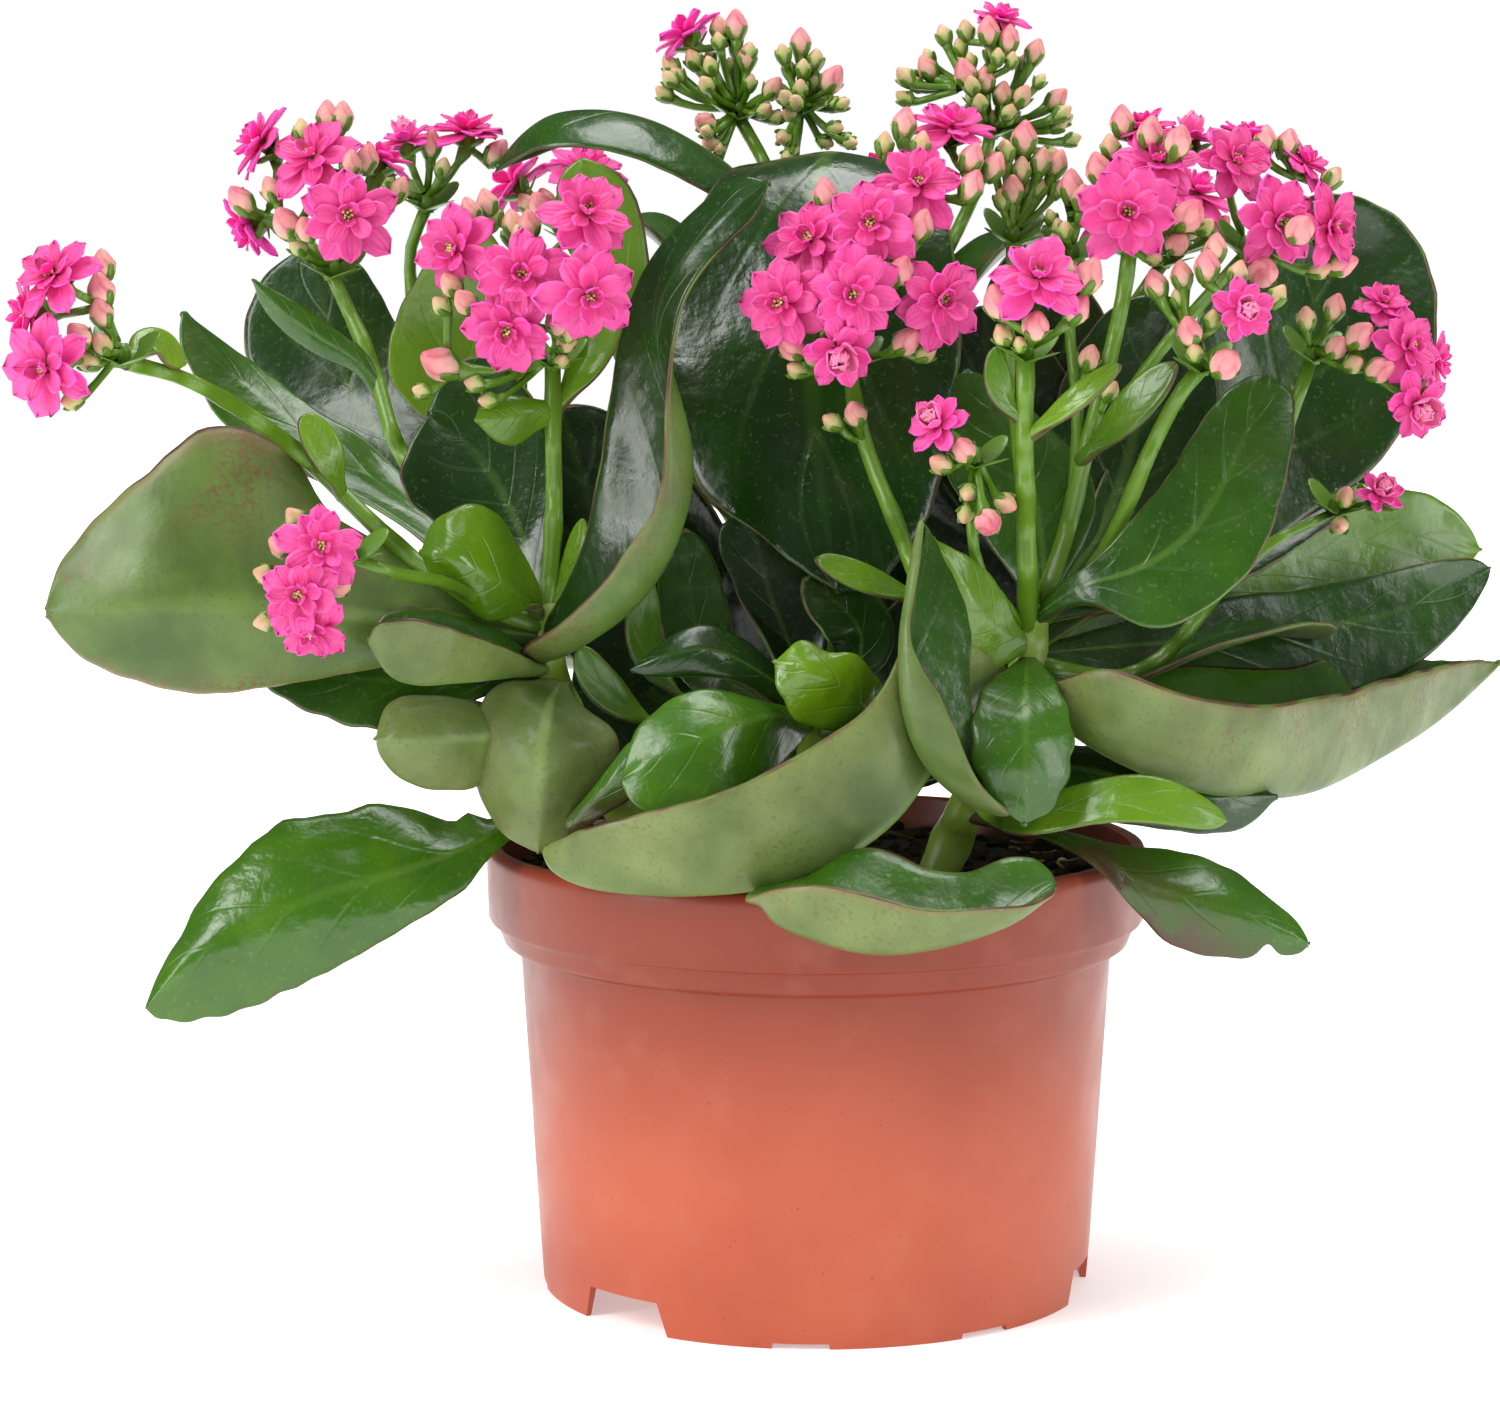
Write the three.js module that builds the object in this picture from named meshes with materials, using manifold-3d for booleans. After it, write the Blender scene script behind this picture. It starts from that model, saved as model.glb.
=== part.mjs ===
// Potted kalanchoe: double pink flowers, round fleshy leaves, terracotta-coloured plastic pot.
// Millimetres, +Z up. The origin is on the pot's axis, on the surface that the pot stands on.
// The viewer looks along +Y, so -Y is the front of the plant.

import * as THREE from "three";
import { mergeVertices } from "three/addons/utils/BufferGeometryUtils.js";
import Module from "manifold-3d";

const wasm = await Module();
wasm.setup();

// Clearances and materials: GAP round what stands in a hole, CUT_GAP where plant meets plant

const GAP = 0.3;
const CUT_GAP = 0.5;
const plain = (color, roughness) => new THREE.MeshStandardMaterial({ color, roughness, metalness: 0 });
const POT_PLASTIC = plain(0xb8583c, 0.45);
const POTTING_SOIL = plain(0x2e2018, 0.95);
const FOLIAGE = plain(0x3f7022, 0.4);
const BUD_GREEN = plain(0x8d9a4c, 0.6);
const PETAL_PINK = plain(0xe8318f, 0.6);

// Pot sizes

const POT = {
  rimRadius: 60,
  rimTop: 81.5,
  rimInner: 57.2,
  rimRoll: 79,
  ringStep: 67.7,
  ringBottom: 63.4,
  ringRadius: 57,
  neckRadius: 53.9,
  footRadius: 50,
  footRise: 1,
  wall: 1.2,
  floorUnder: 6.5,
  floorTop: 7.7,
  sides: 32,
};
const NOTCH = { width: 18, top: 6, angles: [-43.7, 76.3, 196.3] };
const FOOT_GAP = { width: 10, afterNotch: [40, 79.5] };
const DRAIN = { radius: 3.5, ring: 27, count: 6 };
const SOIL = { edge: 76, middle: 79, inset: 0.9, sides: 20 };

// Where things are seen from: EYE looks at the plane y = 0

const EYE = new THREE.Vector3(-12, -750, 200);

// A place is written [x, z, y]: x and z where the line of sight crosses the plane y = 0,
// then the real depth y. This gives the real point.
function seen([x, z, y]) {
  const onPlane = new THREE.Vector3(x, 0, z);
  const reach = (y - EYE.y) / -EYE.y;
  return onPlane.sub(EYE).multiplyScalar(reach).add(EYE);
}

// Leaves: name, stem, width, upper side's direction, fold of the two halves in degrees,
// share of the rib that is stalk, and the rib from its root to its tip

const LEAVES = [
  ["bract_c2", "left", 8, [-0.3, -0.9, 0.3], [10, 10], 0.14,
    [[-47, 160, -25], [-42, 167, -24], [-36, 178, -22]]],
  ["tip", "left", 5, [-0.5, -0.8, 0.2], [10, 10], 0.14,
    [[-48.5, 123, -27], [-44, 132, -28], [-42, 140, -28]]],
  ["bract_a", "left", 7, [0.3, -0.8, 0.4], [10, 10], 0.14,
    [[-86, 145, -36], [-88, 151, -40], [-92.5, 159, -40]]],
  ["bract_a2", "left", 7, [0.2, -0.7, 0.7], [10, 10], 0.1,
    [[-124, 168.5, -68], [-119.5, 172, -64], [-114, 168, -60]]],
  ["inner", "right", 32, [0.1, -0.95, 0.2], [6, 6], 0.1,
    [[40, 122, -25], [51, 138, -4], [57, 155, 4], [60, 180, 6]]],
  ["far", "right", 24, [0, -0.8, 0.6], [6, 6], 0.2,
    [[40, 118, -24], [60, 131, 6], [80, 142, 20], [99, 149, 28]]],
  ["bract_g", "right", 8, [-0.3, -0.8, 0.5], [10, 10], 0.14,
    [[48, 151, -20], [56, 159, -26], [64.5, 168, -27]]],
  ["bract_e", "right", 5, [-0.3, -0.8, 0.5], [10, 10], 0.14,
    [[37.6, 154.5, -41], [46, 161, -46], [54.5, 168, -46]]],
  ["bract_e2", "right", 5, [0.2, -0.9, 0.4], [10, 10], 0.14,
    [[37.6, 157, -41], [33, 163, -44], [32, 171, -44]]],
  ["slim", "right", 6, [0, -0.8, 0.6], [10, 10], 0.14,
    [[20, 125, -28], [9, 129, -31], [0, 133, -31]]],
  ["shaded", "front", 14, [0.2, -0.8, 0.55], [8, 8], 0.2,
    [[4, 106, -27], [8, 116, -26], [6, 122, -25], [-2, 129, -24]]],
  ["small_a", "front", 7, [-0.2, -0.9, 0.4], [10, 10], 0.6,
    [[-4, 96, -24], [-30, 103, -30], [-39, 110, -31], [-43, 117, -31]]],
  ["small_c", "front", 7, [0.2, -0.9, 0.3], [10, 10], 0.5,
    [[-3, 101, -24], [-22, 106, -22], [-31, 116, -22], [-31, 130, -22]]],
  ["olive", "front", 13, [0, -0.9, 0.3], [8, 8], 0.3,
    [[-1, 102, -25], [-18, 112, -8], [-22, 122, -6], [-24, 138, -4]]],
  ["fill_left", "back", 38, [-0.1, -0.95, 0.2], [6, 6], 0.14,
    [[2, 107, 23], [-22, 118, 8], [-38, 138, 6], [-46, 160, 8]]],
  ["fill_right", "back", 36, [0.1, -0.95, 0.2], [6, 6], 0.14,
    [[4, 111, 25], [24, 128, 8], [31, 148, 6], [30, 178, 8]]],
  ["low_left", "back", 34, [-0.1, -0.9, 0.4], [8, 8], 0.1,
    [[1, 92, 22], [-13, 98, 10], [-27, 106, 6], [-41, 119, 6]]],
  ["low_right", "back", 34, [0.1, -0.9, 0.4], [8, 8], 0.1,
    [[3, 95, 23], [14, 103, 12], [26, 113, 8], [40, 126, 6]]],
];

// Traced leaves: name, stem, share of the rib that is stalk, and three lines of places that run
// from the root to the tip: the left margin, the rib and the right margin of the upper side

const TRACED_LEAVES = [
  ["big", "left", 0.14,
    [[-86, 140, -36], [-93, 150.5, -37], [-102, 156.3, -40], [-111, 156.8, -43], [-119.5, 149.8, -45],
     [-130, 140.2, -46], [-136.5, 131.5, -48], [-139.3, 123, -50]],
    [[-49, 118, -27], [-67, 120.5, -38], [-90, 123, -48], [-112, 124.5, -55], [-127, 124, -54],
     [-139.3, 123, -50]],
    [[-62, 117, -34], [-80, 113, -42], [-100, 109.5, -47], [-112, 107.8, -48], [-123, 110, -49],
     [-133, 115, -49], [-139.3, 123, -50]]],
  ["long", "left", 0.14,
    [[-62, 128, -16], [-74, 138, -8], [-84, 144, -2], [-95, 149.5, 2], [-107, 157.3, 6], [-112, 166, 8],
     [-114.5, 172, 10], [-114, 177.3, 13]],
    [[-50, 122, -22], [-66, 136, -8], [-80, 147, 2], [-92, 155, 8], [-104, 165, 12], [-114, 177.3, 13]],
    [[-60, 133, -10], [-76, 149.5, 2], [-83, 156, 9], [-89, 159, 12], [-98, 166, 17], [-106, 171.5, 18],
     [-114, 177.3, 13]]],
  ["gloss", "left", 0.14,
    [[-50, 124.5, -32], [-56.5, 121.7, -36], [-60, 121.6, -38], [-63.5, 124, -39], [-67, 127, -40],
     [-70, 130, -41], [-71.5, 134, -42]],
    [[-49, 122, -27], [-56, 127.5, -37], [-63, 131.5, -43], [-68, 133.5, -44.5], [-71.5, 134, -42]],
    [[-51, 130, -31], [-55, 138, -33], [-58.5, 142.3, -35], [-63, 143, -37], [-67, 141.5, -39],
     [-70, 138.5, -40], [-71.5, 134, -42]]],
  ["cupped", "left", 0.14,
    [[-58, 117.5, -44], [-62, 119, -49], [-66, 120.3, -53], [-70, 121.8, -55], [-75, 122.3, -56],
     [-79, 121.5, -55], [-81, 118.5, -52]],
    [[-49, 113, -27], [-58, 111.5, -40], [-66, 110.7, -47], [-72, 110.3, -50], [-77, 112, -51.5],
     [-81, 118.5, -52]],
    [[-56, 119, -34], [-64, 123, -38], [-72, 124.4, -43], [-78, 123, -48], [-81, 118.5, -52]]],
  ["glossy_low", "left", 0.14,
    [[-58, 108.5, -33], [-72, 103, -40], [-80, 101.5, -42], [-88, 103.3, -43], [-96, 106.7, -43.5],
     [-100.2, 110, -43], [-101.7, 114, -43]],
    [[-48, 111, -25], [-66, 110.5, -34], [-82, 110.5, -38], [-94, 112, -41], [-101.7, 114, -43]],
    [[-60, 114.5, -28], [-75, 117.5, -32], [-87, 119, -35], [-94, 119.2, -38], [-99.5, 118.3, -41],
     [-101.7, 114, -43]]],
  ["round", "left", 0.14,
    [[-56, 106, -30], [-62, 107, -35], [-68, 107.9, -39], [-74, 108, -41], [-78, 106.3, -43],
     [-80, 100, -46]],
    [[-46, 105, -23], [-56, 101, -37], [-66, 100, -45], [-75, 100, -48], [-80, 100, -46]],
    [[-54, 96, -31], [-62, 91.5, -37], [-67, 90.8, -40], [-72, 91.2, -42], [-76, 93, -43.5],
     [-79, 96.5, -44.5], [-80, 100, -46]]],
  ["pale", "left", 0.08,
    [[-52, 111, -33], [-57, 110.7, -36], [-60.5, 108, -37], [-62.5, 102, -38], [-62.5, 95, -37],
     [-60.8, 89, -36], [-57, 83, -34.5], [-50.5, 79.3, -33]],
    [[-46, 110, -25], [-48.5, 106, -39], [-50, 97, -46], [-50.5, 88, -43], [-50.5, 79.3, -33]],
    [[-44, 108.5, -33], [-40, 105, -36], [-36.5, 102, -38], [-35.5, 98, -39], [-38, 92, -39],
     [-42, 86.5, -37], [-46, 82, -35], [-50.5, 79.3, -33]]],
  ["twist", "left", 0.06,
    [[-50, 120, -28], [-45, 128, -32], [-41.5, 137, -34], [-39.5, 148, -34], [-38, 160, -32],
     [-36, 170, -31], [-33, 180, -30], [-28.5, 189, -29], [-21, 197, -28], [-14, 201.6, -28],
     [-8.5, 200.5, -30]],
    [[-50, 115, -27], [-44, 117, -37], [-38, 120.5, -41], [-33, 124.5, -43], [-29, 129.5, -44],
     [-25.7, 136, -44], [-23.5, 144, -43], [-23, 152, -42], [-25, 161, -40], [-27.7, 170, -38],
     [-27.8, 178, -36], [-23, 187, -34], [-15, 195, -32], [-8.5, 200.5, -30]],
    [[-54.5, 116, -33], [-46, 121.3, -43], [-38, 129, -48], [-33.5, 135.5, -50], [-29, 143, -50],
     [-28, 152, -48], [-27.5, 163, -44], [-26, 173, -41], [-23.5, 181, -39], [-18, 188, -36],
     [-11, 194.5, -33], [-8.5, 200.5, -30]]],
  ["droop", "left", 0.2,
    [[-52, 84, -26], [-60.2, 77.5, -32], [-64, 72, -35], [-72, 67, -38], [-82, 61, -41], [-92, 55.5, -43],
     [-104, 50, -45], [-114, 47.8, -46], [-120, 48, -46], [-122.7, 50, -46]],
    [[-40, 90, -18], [-51, 87, -24], [-61.5, 80.5, -31], [-75, 75.5, -37], [-90, 71.2, -42],
     [-103, 65.5, -45], [-114, 59.5, -47], [-122.7, 50, -46]],
    [[-52, 88.5, -21], [-60, 83.5, -26], [-63.3, 87.5, -27], [-65.5, 84, -25], [-72, 86.8, -26],
     [-80, 88.3, -28], [-88, 86, -31], [-95, 86, -32], [-100, 83.5, -34], [-104, 79.3, -36],
     [-111.5, 71.5, -39], [-115.7, 64, -42], [-119.7, 58, -44], [-122.7, 50, -46]]],
  ["pale_front", "right", 0.12,
    [[29, 117, -42], [21, 121, -50], [16, 119, -55], [13.5, 111.5, -58], [7.5, 104.5, -61],
     [-1, 98.7, -64], [-10, 93.7, -66], [-20, 89.6, -66], [-32, 86.5, -63], [-43, 83.5, -57],
     [-49.3, 80, -49]],
    [[36, 110, -27], [28, 108, -42], [21, 96, -52], [15, 86, -58], [5, 78.3, -61], [-6, 73.6, -62],
     [-18, 71.8, -61], [-30, 71.6, -58], [-41, 73, -54], [-47.5, 76, -51], [-49.3, 80, -49]],
    [[30, 106, -34], [24, 99, -42], [15, 93, -44], [2, 88, -46], [-12, 83, -46], [-26, 81, -45],
     [-40, 81.5, -46], [-49.3, 80, -49]]],
  ["folded", "right", 0.3,
    [[36, 86.5, -52], [33, 88.5, -58], [28.7, 94, -62], [26, 101, -63], [22, 109.5, -63],
     [18.3, 115, -62], [16.6, 120, -60], [17.2, 126.5, -56], [18.2, 132, -53], [19.2, 139.5, -48]],
    [[31, 93, -24], [33, 88, -48], [26, 90, -56], [19.5, 96.5, -59], [16.3, 105, -60], [15.8, 114, -59],
     [16.6, 122, -56], [17.6, 131, -52], [19.2, 139.5, -48]],
    [[36, 92, -46], [31, 99, -49], [28.5, 106, -51], [27.8, 113, -50], [28, 119, -48], [26.5, 125.5, -46],
     [24, 131, -45], [21, 136.5, -46], [19.2, 139.5, -48]]],
  ["hanging", "right", 0.2,
    [[42, 112.5, -38], [45, 107.5, -47], [46.8, 102, -50], [47, 97.5, -52], [45.7, 92, -53],
     [43, 87.3, -54], [38, 84.4, -54]],
    [[38.5, 114.5, -29], [38, 108, -47], [38, 99, -55], [38, 91, -56], [38, 84.4, -54]],
    [[34, 112, -38], [30, 108.5, -47], [28.3, 103, -52], [28.2, 97, -55], [30.5, 91, -56], [34, 87, -55],
     [38, 84.4, -54]]],
  ["bright", "right", 0.2,
    [[33, 89.5, -34], [42, 90, -46], [50, 92.5, -48], [58, 94, -49], [64, 93, -49], [70, 90, -49],
     [74, 87, -48.5], [74.8, 84.8, -48]],
    [[29, 90, -22], [36, 85.5, -40], [46, 87, -48], [58, 88.5, -51], [68, 87, -51], [74.8, 84.8, -48]],
    [[30, 85, -32], [36, 81.8, -44], [44, 82.7, -49], [52, 84.6, -52], [60, 84.4, -53], [68, 83.4, -52],
     [72.8, 83.2, -50], [74.8, 84.8, -48]]],
  ["big_pale", "right", 0.06,
    [[48, 109, -26], [60, 112, -18], [70, 113.2, -10], [82, 113.3, 2], [93, 114.6, 14], [104, 115, 26],
     [114, 114.5, 36], [124, 114, 46]],
    [[38, 112, -28], [45, 103, -38], [55, 96, -42], [66, 91.5, -40], [78, 89.4, -30], [90, 90.2, -14],
     [102, 96.3, 8], [113, 103.5, 28], [124, 114, 46]],
    [[43, 110, -40], [49.5, 113.3, -46], [56, 113.3, -50], [63, 109.8, -50], [72, 107.4, -45],
     [82, 106.3, -36], [92, 107.8, -20], [103, 110.8, 2], [112, 113.4, 22], [119, 114.6, 36],
     [124, 114, 46]]],
  ["long", "right", 0.2,
    [[54, 121, -8], [75, 126, 8], [88, 127.2, 16], [97, 129.3, 22], [106, 131.3, 28], [114, 133, 33],
     [119, 133, 37], [122, 131.3, 40]],
    [[38, 115, -26], [60, 117, -6], [80, 119, 8], [98, 121.5, 20], [112, 126, 32], [122, 131.3, 40]],
    [[56, 111, -14], [80, 107.5, 0], [96, 108, 12], [106, 111.5, 21], [113, 116.7, 28], [118.5, 123, 34],
     [121.5, 128.5, 38], [122, 131.3, 40]]],
  ["light", "right", 0.14,
    [[70, 129, 16], [82, 135.5, 24], [93, 141, 31], [101, 144.5, 36], [107, 145.5, 40], [113, 143.5, 43],
     [118, 139, 45], [120, 134.5, 47]],
    [[60, 121, 8], [80, 130, 23], [97, 135.5, 34], [110, 137, 42], [120, 134.5, 47]],
    [[72, 123.5, 14], [86, 126.5, 24], [100, 129, 34], [112, 130.5, 41], [118, 132, 45], [120, 134.5, 47]]],
  ["up", "right", 0.14,
    [[44, 128.5, -33], [50, 132.5, -36], [54.5, 137, -36], [59, 142.5, -34], [63.5, 148, -32],
     [67.5, 155, -28], [72, 161.3, -25], [77, 165.7, -22], [81.5, 166, -21]],
    [[40, 122, -30], [48, 127.5, -36], [57, 130.5, -37], [65, 135, -36], [71, 142, -33], [76, 152, -28],
     [81.5, 166, -21]],
    [[47, 124.5, -36], [53, 123.7, -40], [60, 120, -42], [67, 121.3, -42], [73, 125.3, -41],
     [79, 131, -39], [82.7, 139, -36], [85, 148, -32], [86.3, 157, -27], [85.7, 163, -23],
     [81.5, 166, -21]]],
  ["top", "right", 0.2,
    [[43, 129, -16], [48, 139, -8], [53, 149, 0], [58, 159, 8], [64, 169, 16], [70, 179, 22],
     [76, 188, 26], [82, 195, 28], [90, 198.7, 30]],
    [[39, 122, -24], [56, 133, 0], [70, 145, 14], [80, 157, 22], [87, 170, 28], [90, 184, 31],
     [90, 198.7, 30]],
    [[56, 124, -8], [74, 129.5, 8], [84, 137, 16], [93, 143.5, 20], [101, 149.5, 23], [106, 156, 26],
     [110, 165, 28], [111.7, 174, 30], [111.2, 182, 31], [108.5, 189, 31], [104, 194.5, 31],
     [97, 198, 30], [90, 198.7, 30]]],
  ["mid", "right", 0.14,
    [[36.5, 128, -24], [30, 137, -20], [24, 147, -16], [20.5, 156, -12], [21.5, 163, -10],
     [27, 166.8, -9]],
    [[40, 122, -27], [41, 134, -22], [37, 149, -17], [27, 166.8, -9]],
    [[44.5, 129, -23], [49, 137, -19], [50.3, 144, -16], [48.5, 149.5, -13], [44, 155, -11],
     [38, 160.8, -9], [33, 164.5, -8], [27, 166.8, -9]]],
  ["droop", "right", 0.36,
    [[40, 84.5, -28], [48, 82, -33], [56, 80.4, -37], [64, 79.9, -38], [71, 78.3, -39], [78, 75, -40],
     [82.5, 71, -41], [85, 69.2, -42], [88.3, 65.7, -43], [90.3, 62, -44]],
    [[27, 86, -18], [40, 83, -29], [52, 78.3, -38], [60, 73, -43], [70, 69.8, -46], [79, 67.3, -46],
     [84, 65, -45.5], [90.3, 62, -44]],
    [[43, 81.4, -32], [52, 75.8, -40], [56, 70.8, -42], [60, 66.8, -43], [64, 62.4, -44], [70, 60.1, -45],
     [76, 59.4, -45.5], [80.5, 59.7, -45.5], [82.7, 62.6, -45.5], [85, 60, -45], [88.3, 60.3, -44.5],
     [90.3, 62, -44]]],
  ["green", "front", 0.14,
    [[-4, 98, -36], [-10, 92, -48], [-18, 87, -56], [-27, 85, -58], [-33, 87.5, -57], [-35.5, 92, -54]],
    [[-2, 103, -30], [-9, 104, -44], [-20, 100.5, -52], [-29, 96, -54], [-35.5, 92, -54]],
    [[-6, 105, -33], [-12, 107.4, -41], [-18, 109.2, -45], [-24, 108.6, -47], [-29, 105.6, -49],
     [-33.4, 100.8, -51], [-35.5, 92, -54]]],
  ["low", "front", 0.4,
    [[2, 82.5, -32], [8, 81.5, -52], [4, 79.5, -60], [8, 80.5, -62], [14, 79.8, -63], [20, 76.5, -65],
     [28, 75.7, -66], [34, 78.2, -66], [39.5, 78.3, -65], [43, 75.8, -65], [43.8, 73, -66]],
    [[-1, 84, -22], [6, 78, -44], [-1, 74, -61], [-8, 67.5, -70], [0, 63.3, -75], [10, 60.6, -77],
     [22, 61.8, -77], [34, 66, -74], [43.8, 73, -66]],
    [[-2, 79, -33], [-6, 75.5, -52], [-13.5, 70.3, -68], [-7, 72.6, -76], [0, 73.4, -80], [10, 71.8, -83],
     [20, 69.2, -84], [30, 69, -82], [38, 69.3, -77], [42.7, 71.5, -70], [43.8, 73, -66]]],
  ["grey", "front", 0.14,
    [[-6, 105, -32], [-14, 110.5, -38], [-22, 111.3, -40], [-29, 111.2, -41], [-33.7, 112.3, -40]],
    [[-1, 104, -27], [-10, 111.5, -34], [-20, 116.3, -39], [-28, 114.5, -41], [-33.7, 112.3, -40]],
    [[-5, 109.5, -27], [-9, 115, -30], [-14.5, 119.3, -33], [-20.5, 121.6, -35], [-26, 119.2, -37],
     [-31, 114.7, -39], [-33.7, 112.3, -40]]],
  ["gloss", "front", 0.3,
    [[5, 102.5, -32], [3, 102, -40], [-2, 102.4, -42], [-5, 105, -43], [-7.2, 109.5, -43],
     [-7.4, 114, -42]],
    [[1, 101, -27], [8, 105, -39], [4.5, 109.5, -43], [-1.5, 112.5, -44], [-7.4, 114, -42]],
    [[4, 104.5, -26], [12, 107.5, -34], [10.5, 111.8, -38], [7, 115.5, -40], [1.8, 116, -41],
     [-3, 118, -41], [-7.4, 114, -42]]],
  ["arch", "back", 0.2,
    [[-5, 186, 17], [-10, 192.5, 12], [-18, 197.5, 9], [-26, 201.7, 7], [-34, 205.3, 6], [-42, 206.5, 6],
     [-50, 206, 9], [-57.5, 202.7, 15]],
    [[-3, 176, 26], [-8, 192, 23], [-14, 201, 19], [-22, 207, 17], [-31, 211.3, 16], [-40, 212.7, 16],
     [-49, 211, 16], [-57.5, 202.7, 15]],
    [[-7, 188, 30], [-14, 198, 29], [-24, 203.5, 28], [-35, 207, 27], [-46, 207, 25], [-57.5, 202.7, 15]]],
  ["young", "back", 0.3,
    [[-14, 137, 16], [-32, 160, 9], [-41, 180, 4], [-46, 194, 2], [-47.2, 201, 2], [-42, 205, 2]],
    [[1, 128, 25], [-22, 150, 12], [-34, 173, 5], [-39, 190, 4], [-42, 205, 2]],
    [[-8, 136, 18], [-18, 152, 12], [-27, 172, 6], [-30, 186, 3], [-30.8, 195, 1], [-34.5, 202, 1],
     [-42, 205, 2]]],
  ["huge", "back", 0.3,
    [[10, 165, 32], [17, 185, 38], [20, 198, 28], [21.5, 202, 14], [23, 197, 4], [25, 185, -4],
     [25.5, 168, -9], [24, 153, -14], [20.5, 141, -18], [15, 132, -22], [10, 127.6, -24], [4, 126.8, -25]],
    [[3, 150, 27], [8, 183, 42], [5, 201, 30], [2, 205.6, 14], [0, 199, 2], [-1, 183, -9], [-1, 163, -16],
     [1, 143, -22], [4, 126.8, -25]],
    [[-3, 165, 32], [-10, 185, 38], [-13, 199, 28], [-15, 202.5, 14], [-20, 197, 4], [-25.5, 185, -4],
     [-27, 168, -8], [-24.5, 153, -14], [-19.7, 143.5, -18], [-11.5, 138.2, -21], [-4, 131.7, -24],
     [4, 126.8, -25]]],
  ["silver", "left", 0.14,
    [[-82, 166.5, -7], [-89, 169, -7], [-95, 173, -7], [-99.5, 178, -7], [-101.2, 183.3, -7]],
    [[-79, 163, -7], [-82, 168.5, -8], [-88, 172, -8.5], [-95, 177, -8.5], [-101.2, 183.3, -7]],
    [[-80, 169.5, -8], [-84.5, 172.8, -8], [-90, 177, -8], [-96, 180.6, -8], [-101.2, 183.3, -7]]],
  ["behind", "left", 0.14,
    [[-68, 140, 14], [-88, 150, 36], [-101, 166, 44], [-103, 174, 46], [-99, 184, 47], [-91, 189.5, 46]],
    [[-58, 134, 2], [-72, 148, 26], [-84, 164, 40], [-91, 189.5, 46]],
    [[-60, 148, 20], [-68, 160, 34], [-75, 174, 42], [-82, 186, 45], [-91, 189.5, 46]]],
  ["bright", "left", 0.14,
    [[-53, 137, -6], [-62, 152, 4], [-70, 157.5, 8], [-76.5, 164, 10], [-77.3, 170, 11], [-75.5, 177, 11],
     [-71.5, 184, 10], [-67.5, 190, 9], [-64, 194, 8]],
    [[-49, 124, -22], [-56, 142, 0], [-62, 158, 8], [-65, 176, 12], [-64, 194, 8]],
    [[-50, 140, -4], [-52, 156, 6], [-52, 170, 10], [-53, 182, 10], [-58, 191, 9], [-64, 194, 8]]],
  ["dark", "left", 0.2,
    [[-56, 128, -21], [-64, 134, -18], [-70, 140, -17], [-74, 143.5, -17], [-75.3, 148, -16],
     [-74, 152.5, -15], [-70, 159, -14]],
    [[-49, 123, -25], [-53, 137, -18], [-60, 150, -14], [-70, 159, -14]],
    [[-48, 136, -20], [-47.5, 152, -16], [-53, 165, -14], [-61, 170, -13], [-67, 166, -13],
     [-70, 159, -14]]],
  ["bract_c", "left", 0.14,
    [[-51, 155.5, -27], [-54, 153, -29], [-58, 154, -31], [-61.5, 158, -32]],
    [[-47.5, 159.5, -26], [-54, 159, -30], [-61.5, 158, -32]],
    [[-52, 162, -27], [-57, 162.5, -29], [-60.5, 161, -31], [-61.5, 158, -32]]],
  ["torn", "left", 0.14,
    [[-46.5, 84, -38], [-42, 89, -42], [-38, 94, -45], [-34, 99.6, -46], [-31, 100, -47]],
    [[-38, 84, -20], [-45, 83.5, -38], [-38, 91, -46], [-31, 100, -47]],
    [[-41, 84.3, -41], [-35, 88, -46], [-29.5, 92, -48], [-28, 97.5, -48], [-31, 100, -47]]],
  ["young", "right", 0.14,
    [[33, 113, -36], [27, 114, -41], [23, 122, -43], [20.5, 130, -43], [20.8, 136.5, -42]],
    [[38, 117.5, -30], [32, 120, -37], [27, 127, -41], [20.8, 136.5, -42]],
    [[36, 121, -32], [34.6, 125.4, -35], [30, 131.3, -38], [25, 134.7, -41], [20.8, 136.5, -42]]],
  ["shaded", "right", 0.2,
    [[50, 99, -29], [64, 97, -29], [76, 94, -28], [83.8, 89.2, -29]],
    [[32, 97, -24], [50, 94, -35], [67, 89.5, -36], [83.8, 89.2, -29]],
    [[50, 86, -36], [62, 83.5, -37], [72, 82.4, -35], [79, 84, -32], [83.8, 89.2, -29]]],
  ["dark", "front", 0.14,
    [[-7.7, 114, -24], [-10.4, 119.6, -21], [-13.1, 123.8, -19], [-15.4, 129.2, -17], [-18.1, 137.7, -15],
     [-12, 142, -15]],
    [[0, 106, -26], [-5, 117, -20], [-9, 128, -17], [-12, 142, -15]],
    [[2, 115, -22], [3, 125, -18], [0, 136, -16], [-6, 142, -15], [-12, 142, -15]]],
];

// Stalks: stem, radius at the foot and at the end, path. A stem's first one is its main stem.

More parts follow.
